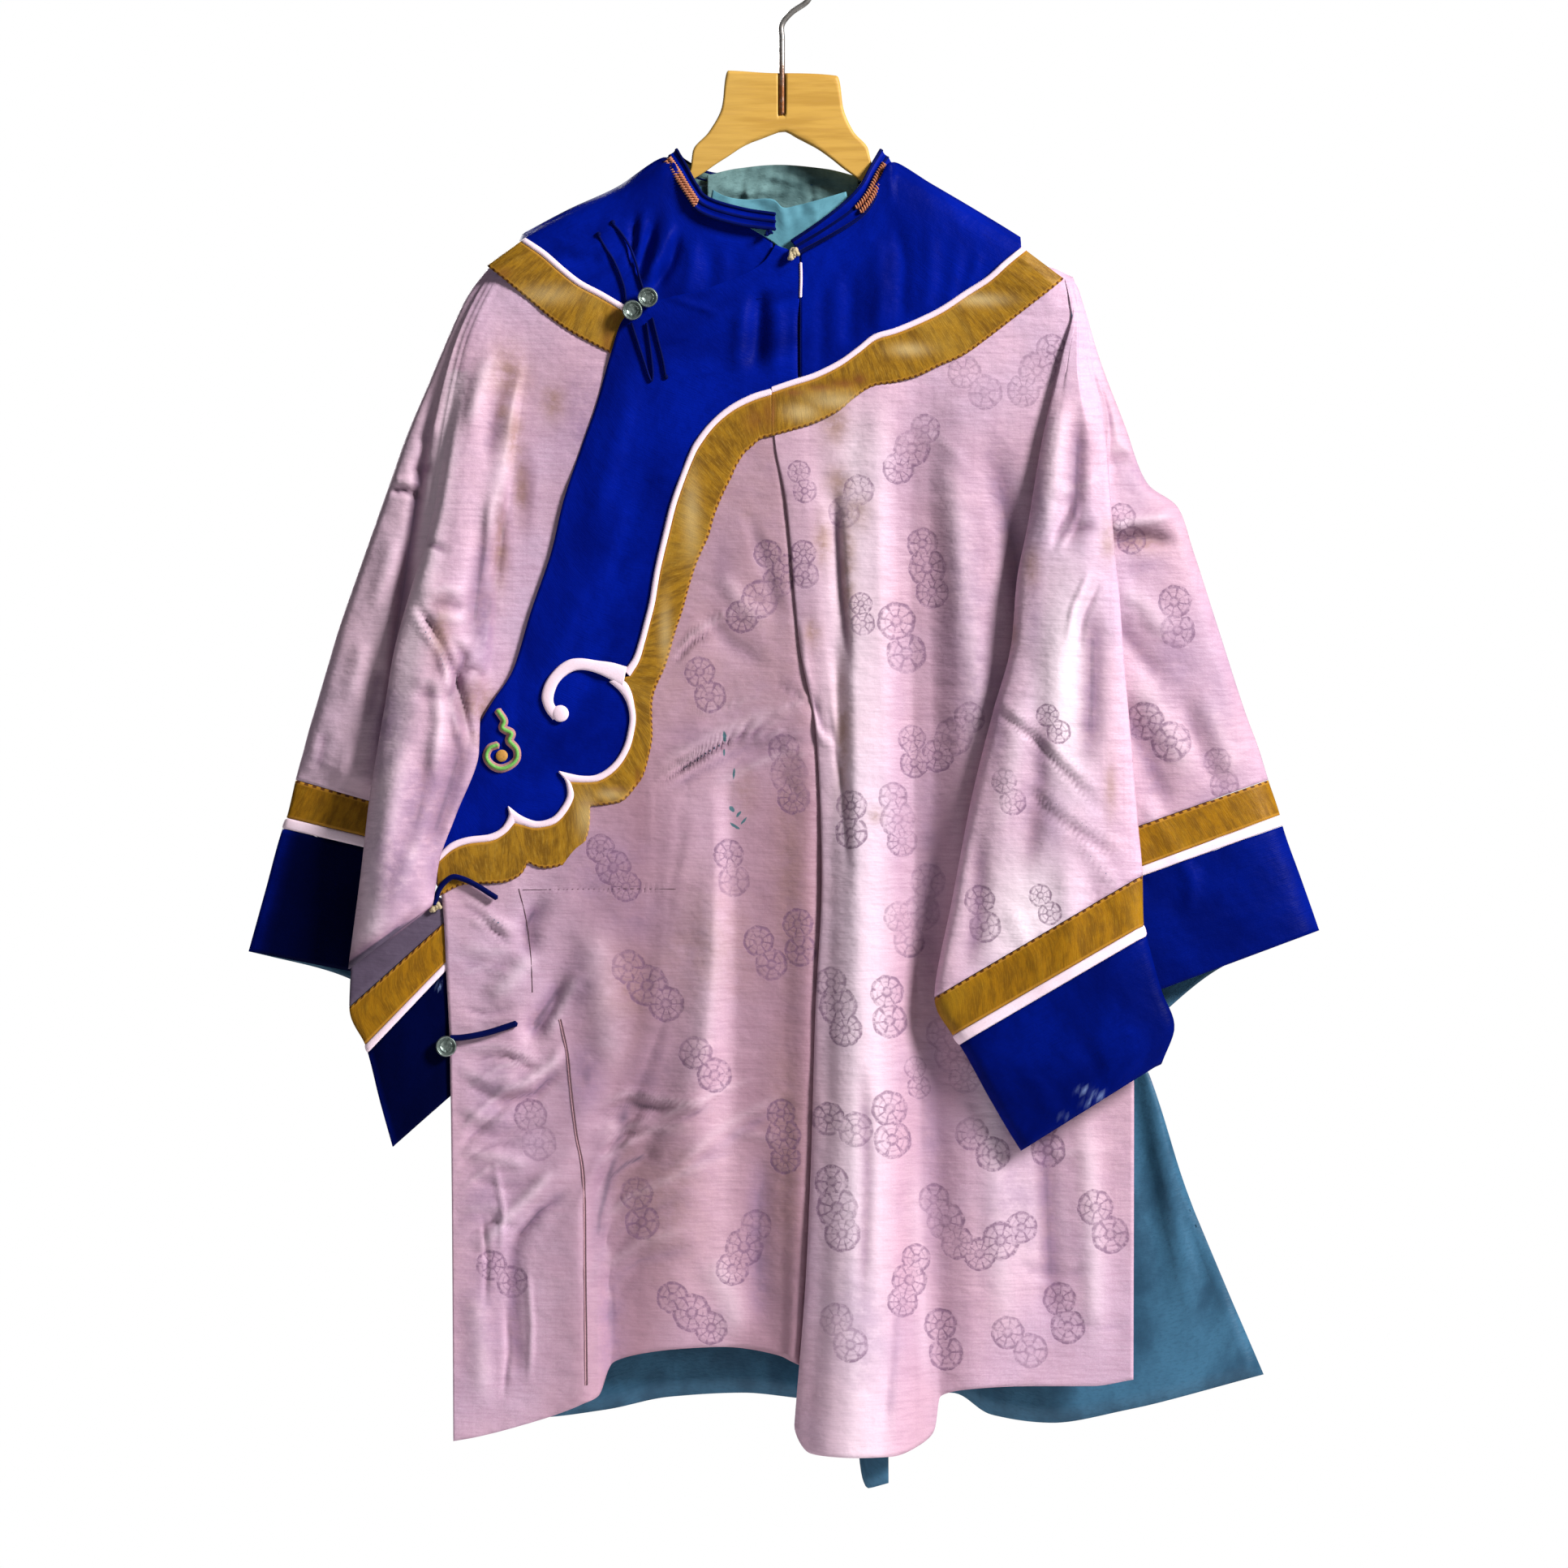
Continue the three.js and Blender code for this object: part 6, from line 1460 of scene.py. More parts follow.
def right_tint(grid):
    x, z = grid[..., 0], grid[..., 2]
    stain = blob(grid, [[-262, -520, 10, 30], [-230, -600, 16, 10], [-206, -372, 11, 34],
                        [-214, -350, 8, 16],
                        [-176, -344, 12, 20], [-210, -322, 20, 30], [-216, -455, 8, 46],
                        [-200, -410, 8, 30],
                        [-234, -574, 20, 22]]) * 0.8
    outer = np.clip((np.interp(-z, [267, 632], [-236, -316]) - x) / 8, 0, 1)
    # painted rosy shade on the outer face, turned from the light, and darker, rosier over the upper front
    rosy_tone_and_shade = np.maximum(outer * 0.22, blob(grid, [[-170, -420, 24, 60], [-180, -330, 60, 70]]) * 0.4)
    # painted shade on the strip above the cuff's ribbon, turned in under the fold
    shaded_last_strip = np.clip((np.interp(x, [-332, -263], [-764, -722]) - z) / 5, 0,
                         1) * np.clip((x + 345) / 12, 0, 1)
    # violet: painted shade in the front's valleys, and violet bloom
    violet_bloom_and_shade = blob(grid, [[-310, -590, 36, 50], [-296, -700, 30, 60], [-150, -360, 26, 50],
                         [-228, -510, 12, 60],
                         [-214, -440, 10, 40], [-246, -575, 16, 40], [-266, -690, 16, 46],
                         [-250, -640, 16, 50],
                         [-266, -700, 12, 30], [-236, -600, 14, 30], [-276, -656, 30, 60],
                         [-268, -640, 20, 40]]) * 0.95
    # painted shade along the front beside the flap and lower down
    smeared_shade = blob(grid, [[-214, -450, 7, 44], [-196, -410, 8, 40], [-224, -500, 9, 40], [-240, -566, 14, 16],
                        [-248, -600, 8, 40], [-262, -540, 6, 24]]) * 0.85
    violet_bloom_and_shade = np.maximum(violet_bloom_and_shade * (1 - outer * 0.6), np.maximum(shaded_last_strip, smeared_shade))
    rosy_tone_and_shade = np.maximum(rosy_tone_and_shade, np.maximum(shaded_last_strip, smeared_shade))
    # painted highlight along the front's ridge, and a little painted lightening on the outer face
    ridge = np.exp(-((x - np.interp(-z, [330, 540, 700],
                                    [-252, -286, -314])) / 11) ** 2) * (z < -320) * (1 - shaded_last_strip)
    return np.stack([stain, rosy_tone_and_shade, violet_bloom_and_shade, 1 - np.maximum(0.45 * ridge, 0.22 * outer)], -1)


sleeve(
    "left", left_rows, 11,
    [  # between the outer edge and the valley behind the front fold
        [4.2, 5, [240, -444], [262, -436], [280, -434], [304, -430]],
     [-5.0, 6, [236, -456], [268, -448], [306, -450]],
        [1.4, 4, [246, -381], [258, -379], [270, -382]], [-1.4, 5, [244, -392], [262, -390], [280, -396]],
        [1.8, 8, [250, -480], [276, -500], [300, -530]], [-1.8, 8, [244, -500], [268, -530], [296, -566]],
        [2.2, 10, [262, -540], [290, -590], [320, -640]], [-2.0, 9, [250, -560], [276, -612], [300, -668]],
        [1.6, 8, [316, -560], [334, -600], [350, -640]], [-1.4, 7, [300, -560], [318, -606], [338, -650]],
        [1.2, 6, [270, -640], [300, -690], [320, -720]], [-1.2, 5, [246, -640], [262, -690], [284, -730]],
        [1.2, 5, [313, -697], [312, -718], [308, -738]], [1.0, 4, [250, -350], [254, -370], [262, -384]],
        [-1.2, 5, [236, -330], [244, -350], [252, -372]],
        [0.8, 2.4, [306, -748], [340, -738], [378, -730]],
    ],
    [  # on the front fold itself
        [2.6, 9, [214, -330], [206, -400], [196, -470]], [-2.4, 8, [226, -340], [224, -410], [220, -470]],
        [1.6, 4, [203, -417], [224, -410], [244, -400]], [-1.8, 5, [206, -450], [224, -442], [242, -436]],
        [2.2, 12, [214, -480], [208, -560], [196, -640]], [-2.4, 11, [236, -480], [236, -560], [232, -640]],
        [2.0, 11, [186, -540], [176, -620], [160, -700]], [-1.8, 9, [200, -560], [196, -640], [184, -720]],
        [1.1, 3, [148, -560], [170, -577], [190, -592], [208, -610], [226, -628], [250, -650]],
        [1.1, 3, [178, -624], [204, -648], [226, -664], [246, -676], [266, -692]],
        [-1.4, 2.6, [150, -569], [172, -586], [190, -600], [206, -617], [224, -635], [252, -661]],
        [-1.3, 2.6, [178, -632], [204, -656], [224, -671], [242, -682], [264, -700]],
        [1.4, 3, [222, -676], [238, -694], [262, -722]],
        [-1.6, 2.2, [222, -416], [212, -440], [204, -456]],
     [1.6, 2.4, [228, -420], [218, -444], [208, -460]],
        [1.4, 2.2, [236, -470], [222, -500], [216, -530]],
     [-1.4, 2.2, [244, -480], [230, -508], [224, -540]],
        [-2.0, 8, [150, -660], [150, -730], [140, -790]], [1.8, 9, [214, -680], [220, -740], [214, -790]],
        [1.2, 5, [166, -720], [186, -760], [206, -800]], [-1.0, 5, [230, -700], [246, -730], [262, -760]],
        [1.0, 7, [176, -850], [196, -870], [214, -900]], [-1.2, 8, [220, -820], [238, -850], [250, -880]],
        [0.9, 2.5, [188, -900], [240, -874], [294, -826]],
    ],
    FLOWERS_SLEEVE_LEFT, left_tint, 1)
sleeve(
    "right", right_rows, 14,
    [
        [1.8, 6, [-252, -340], [-262, -360], [-272, -372]],
     [-1.8, 6, [-258, -392], [-276, -396], [-288, -392]],
        [-3.2, 5.5, [-252, -300], [-266, -330], [-279, -410], [-295, -520], [-305, -620], [-312, -690]],
        [2.0, 2.6, [-303, -404], [-288, -405], [-272, -409]],
     [-3.0, 2.6, [-302, -411], [-288, -412], [-272, -416]],
        [2.0, 7, [-296, -440], [-306, -480], [-316, -510]],
     [-2.0, 7, [-284, -450], [-290, -490], [-296, -530]],
        [2.0, 7, [-320, -520], [-326, -550], [-334, -580]],
     [-1.6, 6, [-306, -540], [-312, -566], [-318, -594]],
        [1.4, 5, [-330, -600], [-338, -630], [-342, -650]],
     [-1.2, 5, [-350, -590], [-352, -610], [-356, -630]],
        [1.0, 4, [-300, -620], [-316, -630], [-330, -632]],
    ],
    [
        [2.4, 8, [-176, -300], [-200, -340], [-214, -380]],
     [-2.4, 8, [-150, -320], [-176, -360], [-196, -410]],
        [2.0, 7, [-220, -300], [-232, -330], [-242, -370]],
     [-1.8, 7, [-206, -310], [-220, -350], [-228, -400]],
        [2.4, 9, [-180, -400], [-196, -460], [-212, -520]],
     [-2.2, 8, [-198, -420], [-214, -470], [-226, -530]],
        [-3.4, 3.2, [-288, -486], [-280, -498], [-267, -521], [-251, -551], [-243, -580], [-236, -616]],
        [2.6, 3.2, [-290, -496], [-278, -512], [-262, -534], [-256, -556], [-250, -590], [-242, -622]],
        [-2.6, 3.0, [-250, -552], [-238, -548], [-222, -556]],
     [-2.4, 5, [-214, -416], [-216, -452], [-222, -496]],
        [2.0, 4, [-222, -410], [-226, -450], [-232, -490]],
     [-2.0, 2.4, [-292, -440], [-270, -452], [-252, -460]],
        [1.6, 4, [-280, -491], [-258, -486], [-238, -492]],
     [1.4, 4, [-273, -508], [-256, -508], [-236, -514]],
        [-1.6, 4, [-276, -500], [-258, -498], [-238, -504]],
     [1.4, 4, [-257, -521], [-246, -530], [-254, -538]],
        [1.4, 3, [-285, -559], [-270, -557], [-252, -559]],
     [-1.4, 4, [-284, -568], [-268, -568], [-250, -572]],
        [3.4, 9, [-244, -330], [-258, -400], [-272, -470], [-286, -530]],
     [-4.0, 9, [-222, -420], [-232, -480], [-240, -545]],
        [-3.4, 4.5, [-258, -512], [-244, -540], [-254, -568], [-240, -604]],
     [3.0, 6, [-266, -540], [-262, -590], [-270, -640]],
        [3.2, 10, [-300, -600], [-308, -660], [-318, -720]],
     [-4.4, 10, [-240, -584], [-256, -640], [-276, -704]],
        [-1.5, 1.6, [-334, -768], [-300, -744], [-263, -722]],
     [2.4, 9, [-196, -330], [-214, -400], [-230, -470]],
        [-2.6, 9, [-180, -330], [-196, -400], [-212, -462]],
        [2.0, 8, [-290, -590], [-296, -640], [-306, -700]],
     [-2.0, 8, [-270, -600], [-276, -650], [-288, -700]],
        [1.6, 7, [-270, -640], [-284, -690], [-302, -740]],
    ],
    FLOWERS_SLEEVE_RIGHT, right_tint, -1)

# ---------------------------------------------------------------- back, linings and under front
BACK_RAILS = [
    [[-235, -216, 1.5], [-238, -217, 8.5], [-266, -220.3, 12.5], [-300, -225.3, 12.8], [-340, -232.3, 13],
     [-430, -242.3, 13], [-480, -246.3, 13], [-540, -249.3, 13], [-580, -249, 13], [-640, -243, 13],
     [-720, -248, 14],
     [-1116, -246, 16]],
    [[-204.5, -170, 1.5], [-207, -170, 8.5], [-240, -172, 13], [-600, -185, 15], [-900, -188, 17],
     [-1120, -190, 20]],
    [[-186.5, -130, 1.5], [-189, -130, 8.5], [-220, -131, 13], [-600, -135, 13], [-900, -136, 13],
     [-1114, -136, 15]],
    [[-169, -90, 1.5], [-175, -90, 9], [-205, -87, 14], [-600, -84, 16], [-900, -84, 18], [-1104, -86, 20]],
    [[-179.5, -64, 13], [-220, -45, 15], [-600, -30, 14], [-1101, -30, 14]],
    [[-177, 0, 15], [-220, 0, 15.5], [-600, 10, 17], [-900, 20, 19], [-1106, 26, 21]],
    [[-180, 62, 13], [-220, 52, 15], [-600, 70, 14], [-1106, 84, 14]],
    [[-171, 87, 1.5], [-177, 87, 9], [-205, 88, 14], [-600, 110, 16], [-900, 120, 18], [-1101, 128, 21]],
    [[-193.5, 130, 1.5], [-196, 130, 8.5], [-220, 131, 13], [-600, 150, 13], [-900, 158, 14],
     [-1118, 160, 15]],
    [[-215.5, 168, 1.5], [-218, 168, 8.5], [-245, 170, 13], [-600, 188, 15], [-900, 200, 18],
     [-1124, 206, 23]],
    [[-238.5, 198, 1.5], [-241, 198, 8.5], [-265, 200, 13], [-600, 222, 13], [-830, 238, 15],
     [-960, 262, 19],
    [-1113, 268, 22]],
    [[-251, 216, 1.5], [-254, 217, 8.5], [-275, 220.6, 12.5], [-312, 225.3, 12.8], [-365, 232.3, 13],
     [-420, 238.3, 13],
     [-495, 244.4, 13], [-545, 247, 13], [-745, 255, 14],
    [-832, 268, 15], [-859, 280, 15], [-941, 306, 19], [-967, 316, 20], [-1087, 367, 26]],
]
back, level = panel(BACK_RAILS, BACK_CELL)[:2]
behind = np.clip((-back[..., 2] - 260) / 60, 0, 1)
creased(back, [
    [3.0, 14, [-150, -330], [-160, -520], [-168, -760], [-176, -1010]],
               [-3.0, 12, [-110, -300], [-112, -560], [-120, -900]],
    [2.6, 13, [-60, -290], [-56, -560], [-60, -840]], [-2.6, 12, [-8, -300], [-2, -600], [6, -960]],
    [2.8, 14, [40, -300], [54, -560], [64, -900]], [-2.6, 12, [92, -320], [100, -600], [112, -960]],
    [2.8, 13, [140, -330], [160, -620], [176, -1000]], [-2.4, 10, [184, -330], [206, -560], [226, -840]],
    [2.0, 8, [-210, -620], [-216, -820], [-214, -1060]], [2.4, 10, [240, -700], [270, -900], [300, -1060]],
    [-2.2, 6, [276, -840], [296, -950], [318, -1080]], [2.0, 6, [290, -860], [312, -960], [336, -1080]],
    [-1.8, 5, [300, -900], [330, -1000], [352, -1084]],
    [-1.4, 5, [-60, -226], [-10, -236], [44, -228]], [1.2, 4, [-150, -700], [-90, -716], [-20, -704]],
    [-1.2, 4, [20, -560], [80, -548], [140, -566]], [1.2, 4, [-200, -920], [-140, -936], [-70, -922]],
    [-1.2, 5, [60, -990], [130, -1004], [210, -990]],
], behind, toward=1)
ripple(back, 31, 44, 0.6, behind, (1, 1.6), toward=1)
shell("robe_back", back, CLOTH, LILAC, TEAL, "lilac_silk", ["back"], 1, {"spots": FLOWERS_BACK},
      np.stack([blob(back, [[0, -420, 40, 30], [-160, -900, 30, 60]]) * 0.4, 0 * back[..., 0] + 0.2,
                blob(back, [[120, -700, 60, 90], [-80, -620, 50, 80]]) * 0.6], -1))

LINED_FROM = 0.58  # share of the back's height above its lining
first = int(np.argmax(level >= level[0] + (level[-1] - level[0]) * LINED_FROM))
first += (len(back) - 1 - first) % 2
lining = back[first::2].copy()
lining[..., 1] -= 1.7
shell("lining_back", lining, LINING, TEAL, TEAL, "teal_lining", ["back_lining"], 1)

NECK_RAILS = [
    [[-171, -58, 9], [-205, -58, 10.5], [-238, -50, 11]],
    [[-166, -36, 12], [-200, -34, 12], [-245, -30, 12]],
    [[-163, -4, 12.6], [-200, -2, 12.6], [-250, 0, 12.6]],
    [[-166, 32, 12], [-200, 34, 12], [-245, 30, 12]],
    [[-172, 57, 9], [-205, 58, 10.5], [-238, 50, 11]],
]
neck = panel(NECK_RAILS, 1.1, 30)[0]
creased(neck, [
    [1.6, 4, [-52, -178], [-30, -186], [-6, -178]], [-1.4, 3, [-44, -184], [-20, -192], [8, -186]],
    [1.2, 3, [-20, -170], [6, -176], [36, -172]], [-1.2, 3, [0, -168], [24, -178], [50, -184]],
    [1.3, 3, [-40, -198], [-8, -204], [20, -196]], [-1.2, 3, [-30, -206], [0, -212], [30, -204]],
    [1.0, 2, [10, -186], [30, -190], [46, -186]], [1.0, 3, [-30, -174], [-26, -190], [-30, -210]],
    [-1.0, 3, [20, -170], [22, -190], [18, -212]],
])
ripple(neck, 41, 9, 0.55, 1.0, (1.6, 1))
shade = blob(neck, [[-56, -182, 10, 16], [46, -180, 10, 16], [52, -172, 8, 12]])
shell("neck_facing_back", neck, LINING, NECK, NECK, "neck_lining", ["neck_lining"], -1,
      tint=np.stack([shade, 0 * shade, 0 * shade], -1))

# The front's facing, seen as a paler band below the neck opening.
throat_top = through([[-54, -182], [-44, -187], [-30, -189.5], [-9, -189], [0, -195.6], [10, -194],
                      [22, -191],
                      [36, -187], [48, -183.5]], 60)
throat_foot = through([[-56, -192], [-34, -206], [-8, -222], [2, -232], [12, -226], [30, -212],
                       [50, -192]], 60, (3,))
fall = np.linspace(0, 1, 26)[:, None, None]
throat = throat_top[None] * (1 - fall) + throat_foot[None] * fall
throat = np.stack([throat[..., 0], -13.4 + 3.4 * (throat[..., 0] / 54) ** 2 + 0 * throat[..., 1],
                   throat[..., 1]], -1)
creased(throat, [[-1.2, 5, [-44, -184], [-20, -192], [-6, -204]],
                 [1.0, 4, [-6, -186], [0, -200], [2, -214]],
                 [-0.9, 4, [10, -186], [14, -196], [14, -206]],
                 [0.8, 3, [20, -192], [26, -200], [22, -210]]])
ripple(throat, 44, 10, 0.4)
shell("neck_facing_front", throat, LINING, AQUA, NECK, "neck_lining", [], -1)

UNDER_RAILS = [
    [[-300, -118, -9.5], [-600, -190, -4], [-1040, -225, -2]],
    [[-300, -80, -9.5], [-600, -110, -5], [-1048, -120, -2]],
    [[-292, -40, -9.5], [-600, -20, -6], [-1056, -10, -4]],
    [[-284, 0, -9.5], [-600, 40, -8], [-1116, 54, -6]],
    [[-300, 30, -9.5], [-600, 60, -8], [-1168, 61, -8]],
    [[-316, 40, -9.5], [-600, 66, -8], [-1174, 65, -8]],
    [[-330, 50, -9.5], [-600, 78, -8], [-1170, 80.5, -8]],
]
under = panel(UNDER_RAILS, COARSE)[0]
shell("underlap_lining", under, CLOTH, TEAL, TEAL, "teal_lining", ["underlap"], -1)

# ---------------------------------------------------------------- collar
COLLAR_RIGHT = [([-92, -1, -161], [-81, -1, -151]), ([-84, -10, -172], [-74, -9, -163]),
                ([-74, -15.5, -187], [-66, -13.5, -178]), ([-63, -17.5, -200], [-57, -15, -188]),
                ([-35, -18.8, -209], [-31, -16, -196]), ([-6, -19, -213], [-6, -16.5, -200])]
COLLAR_LEFT = [([84, -1, -163.5], [74, -1, -151]), ([77, -10, -175], [66, -9, -165]),
               ([70, -15.5, -190], [59, -13.5, -178]), ([60, -18, -203], [47, -15.5, -191]),
               ([38, -19, -217], [28, -17, -206]), ([12, -19.2, -231], [6, -17.5, -221])]
COLLAR_BACK = [([-92, 1, -161], [-81, 1, -151]), ([-84, 10, -171], [-74, 8.5, -160]),
               ([-58, 16.6, -181], [-50, 14.5, -170]), ([0, 18, -179], [0, 15.5, -168]),
               ([58, 16.6, -182], [50, 14.5, -172]), ([82, 10, -173], [69, 8.5, -162]),
               ([84.4, 1, -163.5], [74.4, 1, -151.4])]


COLLAR_ROWS = 13
CORD_PLACES = (0.04, 0.5, 0.96)


def collar(name, stations, node, out):
    foot, top = (through([station[k] for station in stations], 110) for k in (0, 1))
    s = np.linspace(0, 1, COLLAR_ROWS)[:, None, None]
    grid = foot[None] * (1 - s) + top[None] * s
    ridge = 0.5 * np.cos(np.linspace(0, 4 * math.pi, COLLAR_ROWS))
    grid = grid + normals(grid) * out * ridge[:, None, None]
    shell(name, grid, 1.6, BLUE, NECK, "blue_satin", [node], out)
    bodies = [tube((foot * (1 - t) + top * t) + normals(grid)[int(t * (COLLAR_ROWS - 1))] * out * 0.6, 1.35,
                   steps=100, sides=8) for t in CORD_PLACES]
    joined(name + "_cords", bodies, NAVY, "navy_cord")


collar("collar_front_right", COLLAR_RIGHT, "collar_right", 1)
collar("collar_front_left", COLLAR_LEFT, "collar_left", -1)
collar("collar_behind", COLLAR_BACK, "collar_back", -1)


def braid(name, paths, node):
    """Two rows of twisted two-strand cord side by side."""
    bodies = []
    for path in paths:
        for phase in (0, math.pi):
            bodies.append(tube(path, 1.25, steps=len(path) * 22, sides=7,
                               twist=(4.6, 1.0, phase)))
    joined(name, bodies, COPPER, "copper_braid", [node])


def on_collar(stations, share, lift, first, last):
    rows = [np.array(f, float) * (1 - share) + np.array(t, float) * share for f, t in stations]
    line = through(rows, 60)[int(first * 59):int(last * 59) + 1]
    return line[::6] + np.array([0, -lift, 0])


braid("braid_wearer_right", [on_collar(COLLAR_RIGHT, share, 2.0, 0.02, 0.54) for share in (0.16, 0.4)],
      "braid_right")
braid("braid_wearer_left", [on_collar(COLLAR_LEFT, share, 2.0, 0.08, 0.66) for share in (0.2, 0.46)],
      "braid_left")


def flat_path(y, points):
    return [[x, y, z] for x, z in points]


def ball(centre, radius, squash=(1, 1, 1), rings=14, sides=18):
    """A closed ball of four-cornered faces, as (points, faces)."""
    lat = np.linspace(0.02, math.pi - 0.02, rings)
    lon = np.arange(sides) / sides * 2 * math.pi
    points = np.stack([np.sin(lat)[:, None] * np.cos(lon), np.sin(lat)[:, None] * np.sin(lon),
                       np.cos(lat)[:, None] + 0 * lon], -1) * radius * np.array(squash) + np.array(centre)
    at, faces = round_faces(rings, sides, True)
    caps = [[row[0], row[k], row[k + 1], row[k + 2]] if top else [row[0], row[k + 2], row[k + 1], row[k]]
            for row, top in ((at[0], True), (at[-1], False)) for k in range(1, sides - 2, 2)]
    return points.reshape(-1, 3), np.concatenate([faces, np.array(caps)])


def knot(name, centre, size, material, slot, hides=(), squash=(1, 0.7, 1.3)):
    """A small ball knot of one cord wound over itself."""
    t = np.linspace(0, 2 * math.pi, 90)
    wound = np.stack([np.sin(2 * t) * 0.62 + 0.25 * np.cos(3 * t), -0.35 * np.cos(5 * t),
                      np.cos(3 * t) * 0.62 * np.cos(t) + 0.3 * np.sin(2 * t)], -1) * size * np.array(squash)
    bodies = [tube(wound + np.array(centre), size * 0.36, steps=150, sides=8),
              ball(centre, size * 0.62, squash)]
    joined(name, bodies, material, slot, hides)


def button(name, x, back, z, radius, height, node, pits=4):
    """A lathed button with a raised rim, a shallow well, and small marks round it, facing forward."""
    profile = [(0.0, 0.62), (0.22, 0.60), (0.42, 0.66), (0.56, 0.80), (0.66, 0.72), (0.76, 0.86),
               (0.86, 1.0),
               (0.94, 0.96), (0.99, 0.74), (1.0, 0.4), (0.94, 0.1), (0.8, 0.0), (0.0, 0.0)]
    table = through(profile, 50)
    sides = 60
    turn = np.arange(sides) / sides * 2 * math.pi
    r = np.clip(table[:, :1], 0.004, None) * radius * np.ones((1, sides))
    h = table[:, 1:] * height * np.ones((1, sides))
    marks = np.clip(np.cos(turn * pits), 0.55, 1)[None] - 0.55
    h = h - marks * 1.1 * np.exp(-((table[:, :1] - 0.5) / 0.12) ** 2) * (table[:, 1:] > 0.3)
    points = np.stack([x + r * np.cos(turn), back - h, z + r * np.sin(turn)], -1)
    joined(name, [(points, round_faces(len(points), sides)[1])], BUTTON, "button_metal", [node])


def metal(name, base, shade, rough, rust=None):
    p = Paint(name, Metallic=0.75, Specular_IOR_Level=0.5)
    place = p.place()
    cloud = p.noise(p.stretch(place, 220, 220, 220), 1.0, 4.0, 0.65)
    fine = p.noise(p.stretch(place, 1600, 1600, 1600), 1.0, 2.0)
    colour = p.mix(p.span(cloud, 0.35, 0.66), base, shade)
    if rust:
        depth = p.split(place)[2]
        low, high, tone = rust
        patch = p.math("MULTIPLY", p.span(depth, high, low), p.span(cloud, 0.25, 0.6, 0.6, 1.0))
        colour = p.mix(patch, colour, tone)
    return p.finish(colour, p.math("ADD", cloud, fine), 0.35, 0.0004,
                    p.span(cloud, 0.3, 0.7, rough, rough + 0.25))


BUTTON = metal("aged_button_metal", (0.30, 0.36, 0.33), (0.10, 0.13, 0.12), 0.28)
HOOK = metal("hook_steel", (0.42, 0.40, 0.38), (0.20, 0.185, 0.175), 0.25,
             (-0.104, -0.070, (0.20, 0.075, 0.025)))

ON_YOKE = -UNDER_FRONT - 2.2
ON_FLAP = -FRONT - 2.2
CORD_R = 0.95


def frog(name, paths, node, knots=()):
    bodies = [tube(p, CORD_R, steps=90, sides=10) for p in paths]
    bodies += [ball(k, 1.8, (1, 0.8, 1.1)) for k in knots]
    joined(name, bodies, NAVY, "navy_cord", [node])


frog("frog_cord_upper_a", [flat_path(ON_YOKE, [[-141, -217], [-136, -226], [-130, -235], [-125, -246],
                                               [-121.5, -257], [-120, -268]])],
     "frog_upper_a", [[-141, ON_YOKE, -216]])
frog("frog_cord_upper_b", [flat_path(ON_YOKE, [[-130, -208], [-123, -216], [-117, -226], [-112.5, -238],
                                               [-109.5, -250], [-106, -261]])],
     "frog_upper_b", [[-130, ON_YOKE, -207]])
frog("frog_cord_lower_a", [flat_path(ON_FLAP, [[-116, -284], [-112, -296], [-108, -308], [-101.5, -327],
                                               [-99.6, -323],
                                               [-101, -308], [-104.5, -284]])], "frog_lower_a")
frog("frog_cord_lower_b", [flat_path(ON_FLAP, [[-100, -280], [-96, -296], [-92, -312], [-90, -324]])],
     "frog_lower_b",
     [[-89.6, ON_FLAP, -325]])
button("button_disc_lower", -115.3, ON_FLAP - 1.7, -274, 7.75, 6.4, "button_lower")
button("button_disc_upper", -103.5, ON_FLAP - 1.7, -264.2, 7.75, 6.4, "button_upper", 6)
knot("knot_at_throat", [8, -21.4, -231], 4.4, CREAM, "cream_knot", ["neck_knot"], (0.9, 0.7, 1.25))
knot("cord_end_at_throat", [-11, -19.8, -215], 2.6, NAVY, "navy_cord", (), (1.2, 0.8, 1))

SIDE_Y = -FRONT - 4.5
joined("cord_at_side", [tube(flat_path(SIDE_Y, [[-266.5, -728], [-262.5, -716], [-254, -707.5],
                                                [-246, -708],
                                                     [-235, -713], [-219, -723]]), 2.1,
                             steps=120, sides=12)], NAVY, "navy_cord", ["side_cord"])
knot("knot_at_side", [-265.5, -19, -730], 4.2, CREAM, "cream_knot", ["side_knot"], (1, 0.7, 1))
joined("strap_at_side", [tube(flat_path(-FRONT - 5.6, [[-254, -830], [-244, -829.5], [-226, -826],
                                                       [-204, -819]]),
                              2.4, steps=100, sides=12)], NAVY, "navy_cord", ["side_strap"])
button("button_disc_side", -257.5, ON_FLAP, -836.5, 8.0, 6, "side_button")

# The scroll's pearl, and the embroidered cloud below it.
joined("scroll_pearl", [ball([-170.2, -18.4, -582.2], 6.4, (1, 0.34, 1), 20, 36)], PINK, "pink_piping",
       ["scroll_ball"])


def stitched(name, base, shade):
    p = Paint(name, Roughness=0.55, Specular_IOR_Level=0.3, Sheen_Weight=0.15)
    cloth = p.uv("cloth")
    thread = p.noise(p.stretch(cloth, 500, 2600), 1.0, 2.0)
    cloud = p.noise(p.stretch(cloth, 200, 160), 1.0, 3.0)
    colour = p.mix(p.span(thread, 0.4, 0.7, 0.0, 0.6), base, shade)
    colour = p.mix(p.span(cloud, 0.5, 0.75, 0.0, 0.4), colour, shade)
    return p.finish(colour, thread, 0.5, 0.0006)


GREEN = stitched("cloud_green", (0.19, 0.50, 0.10), (0.07, 0.26, 0.04))
MAUVE = stitched("cloud_mauve", (0.46, 0.22, 0.20), (0.24, 0.10, 0.14))
AMBER = stitched("cloud_amber", (0.55, 0.27, 0.05), (0.33, 0.13, 0.02))

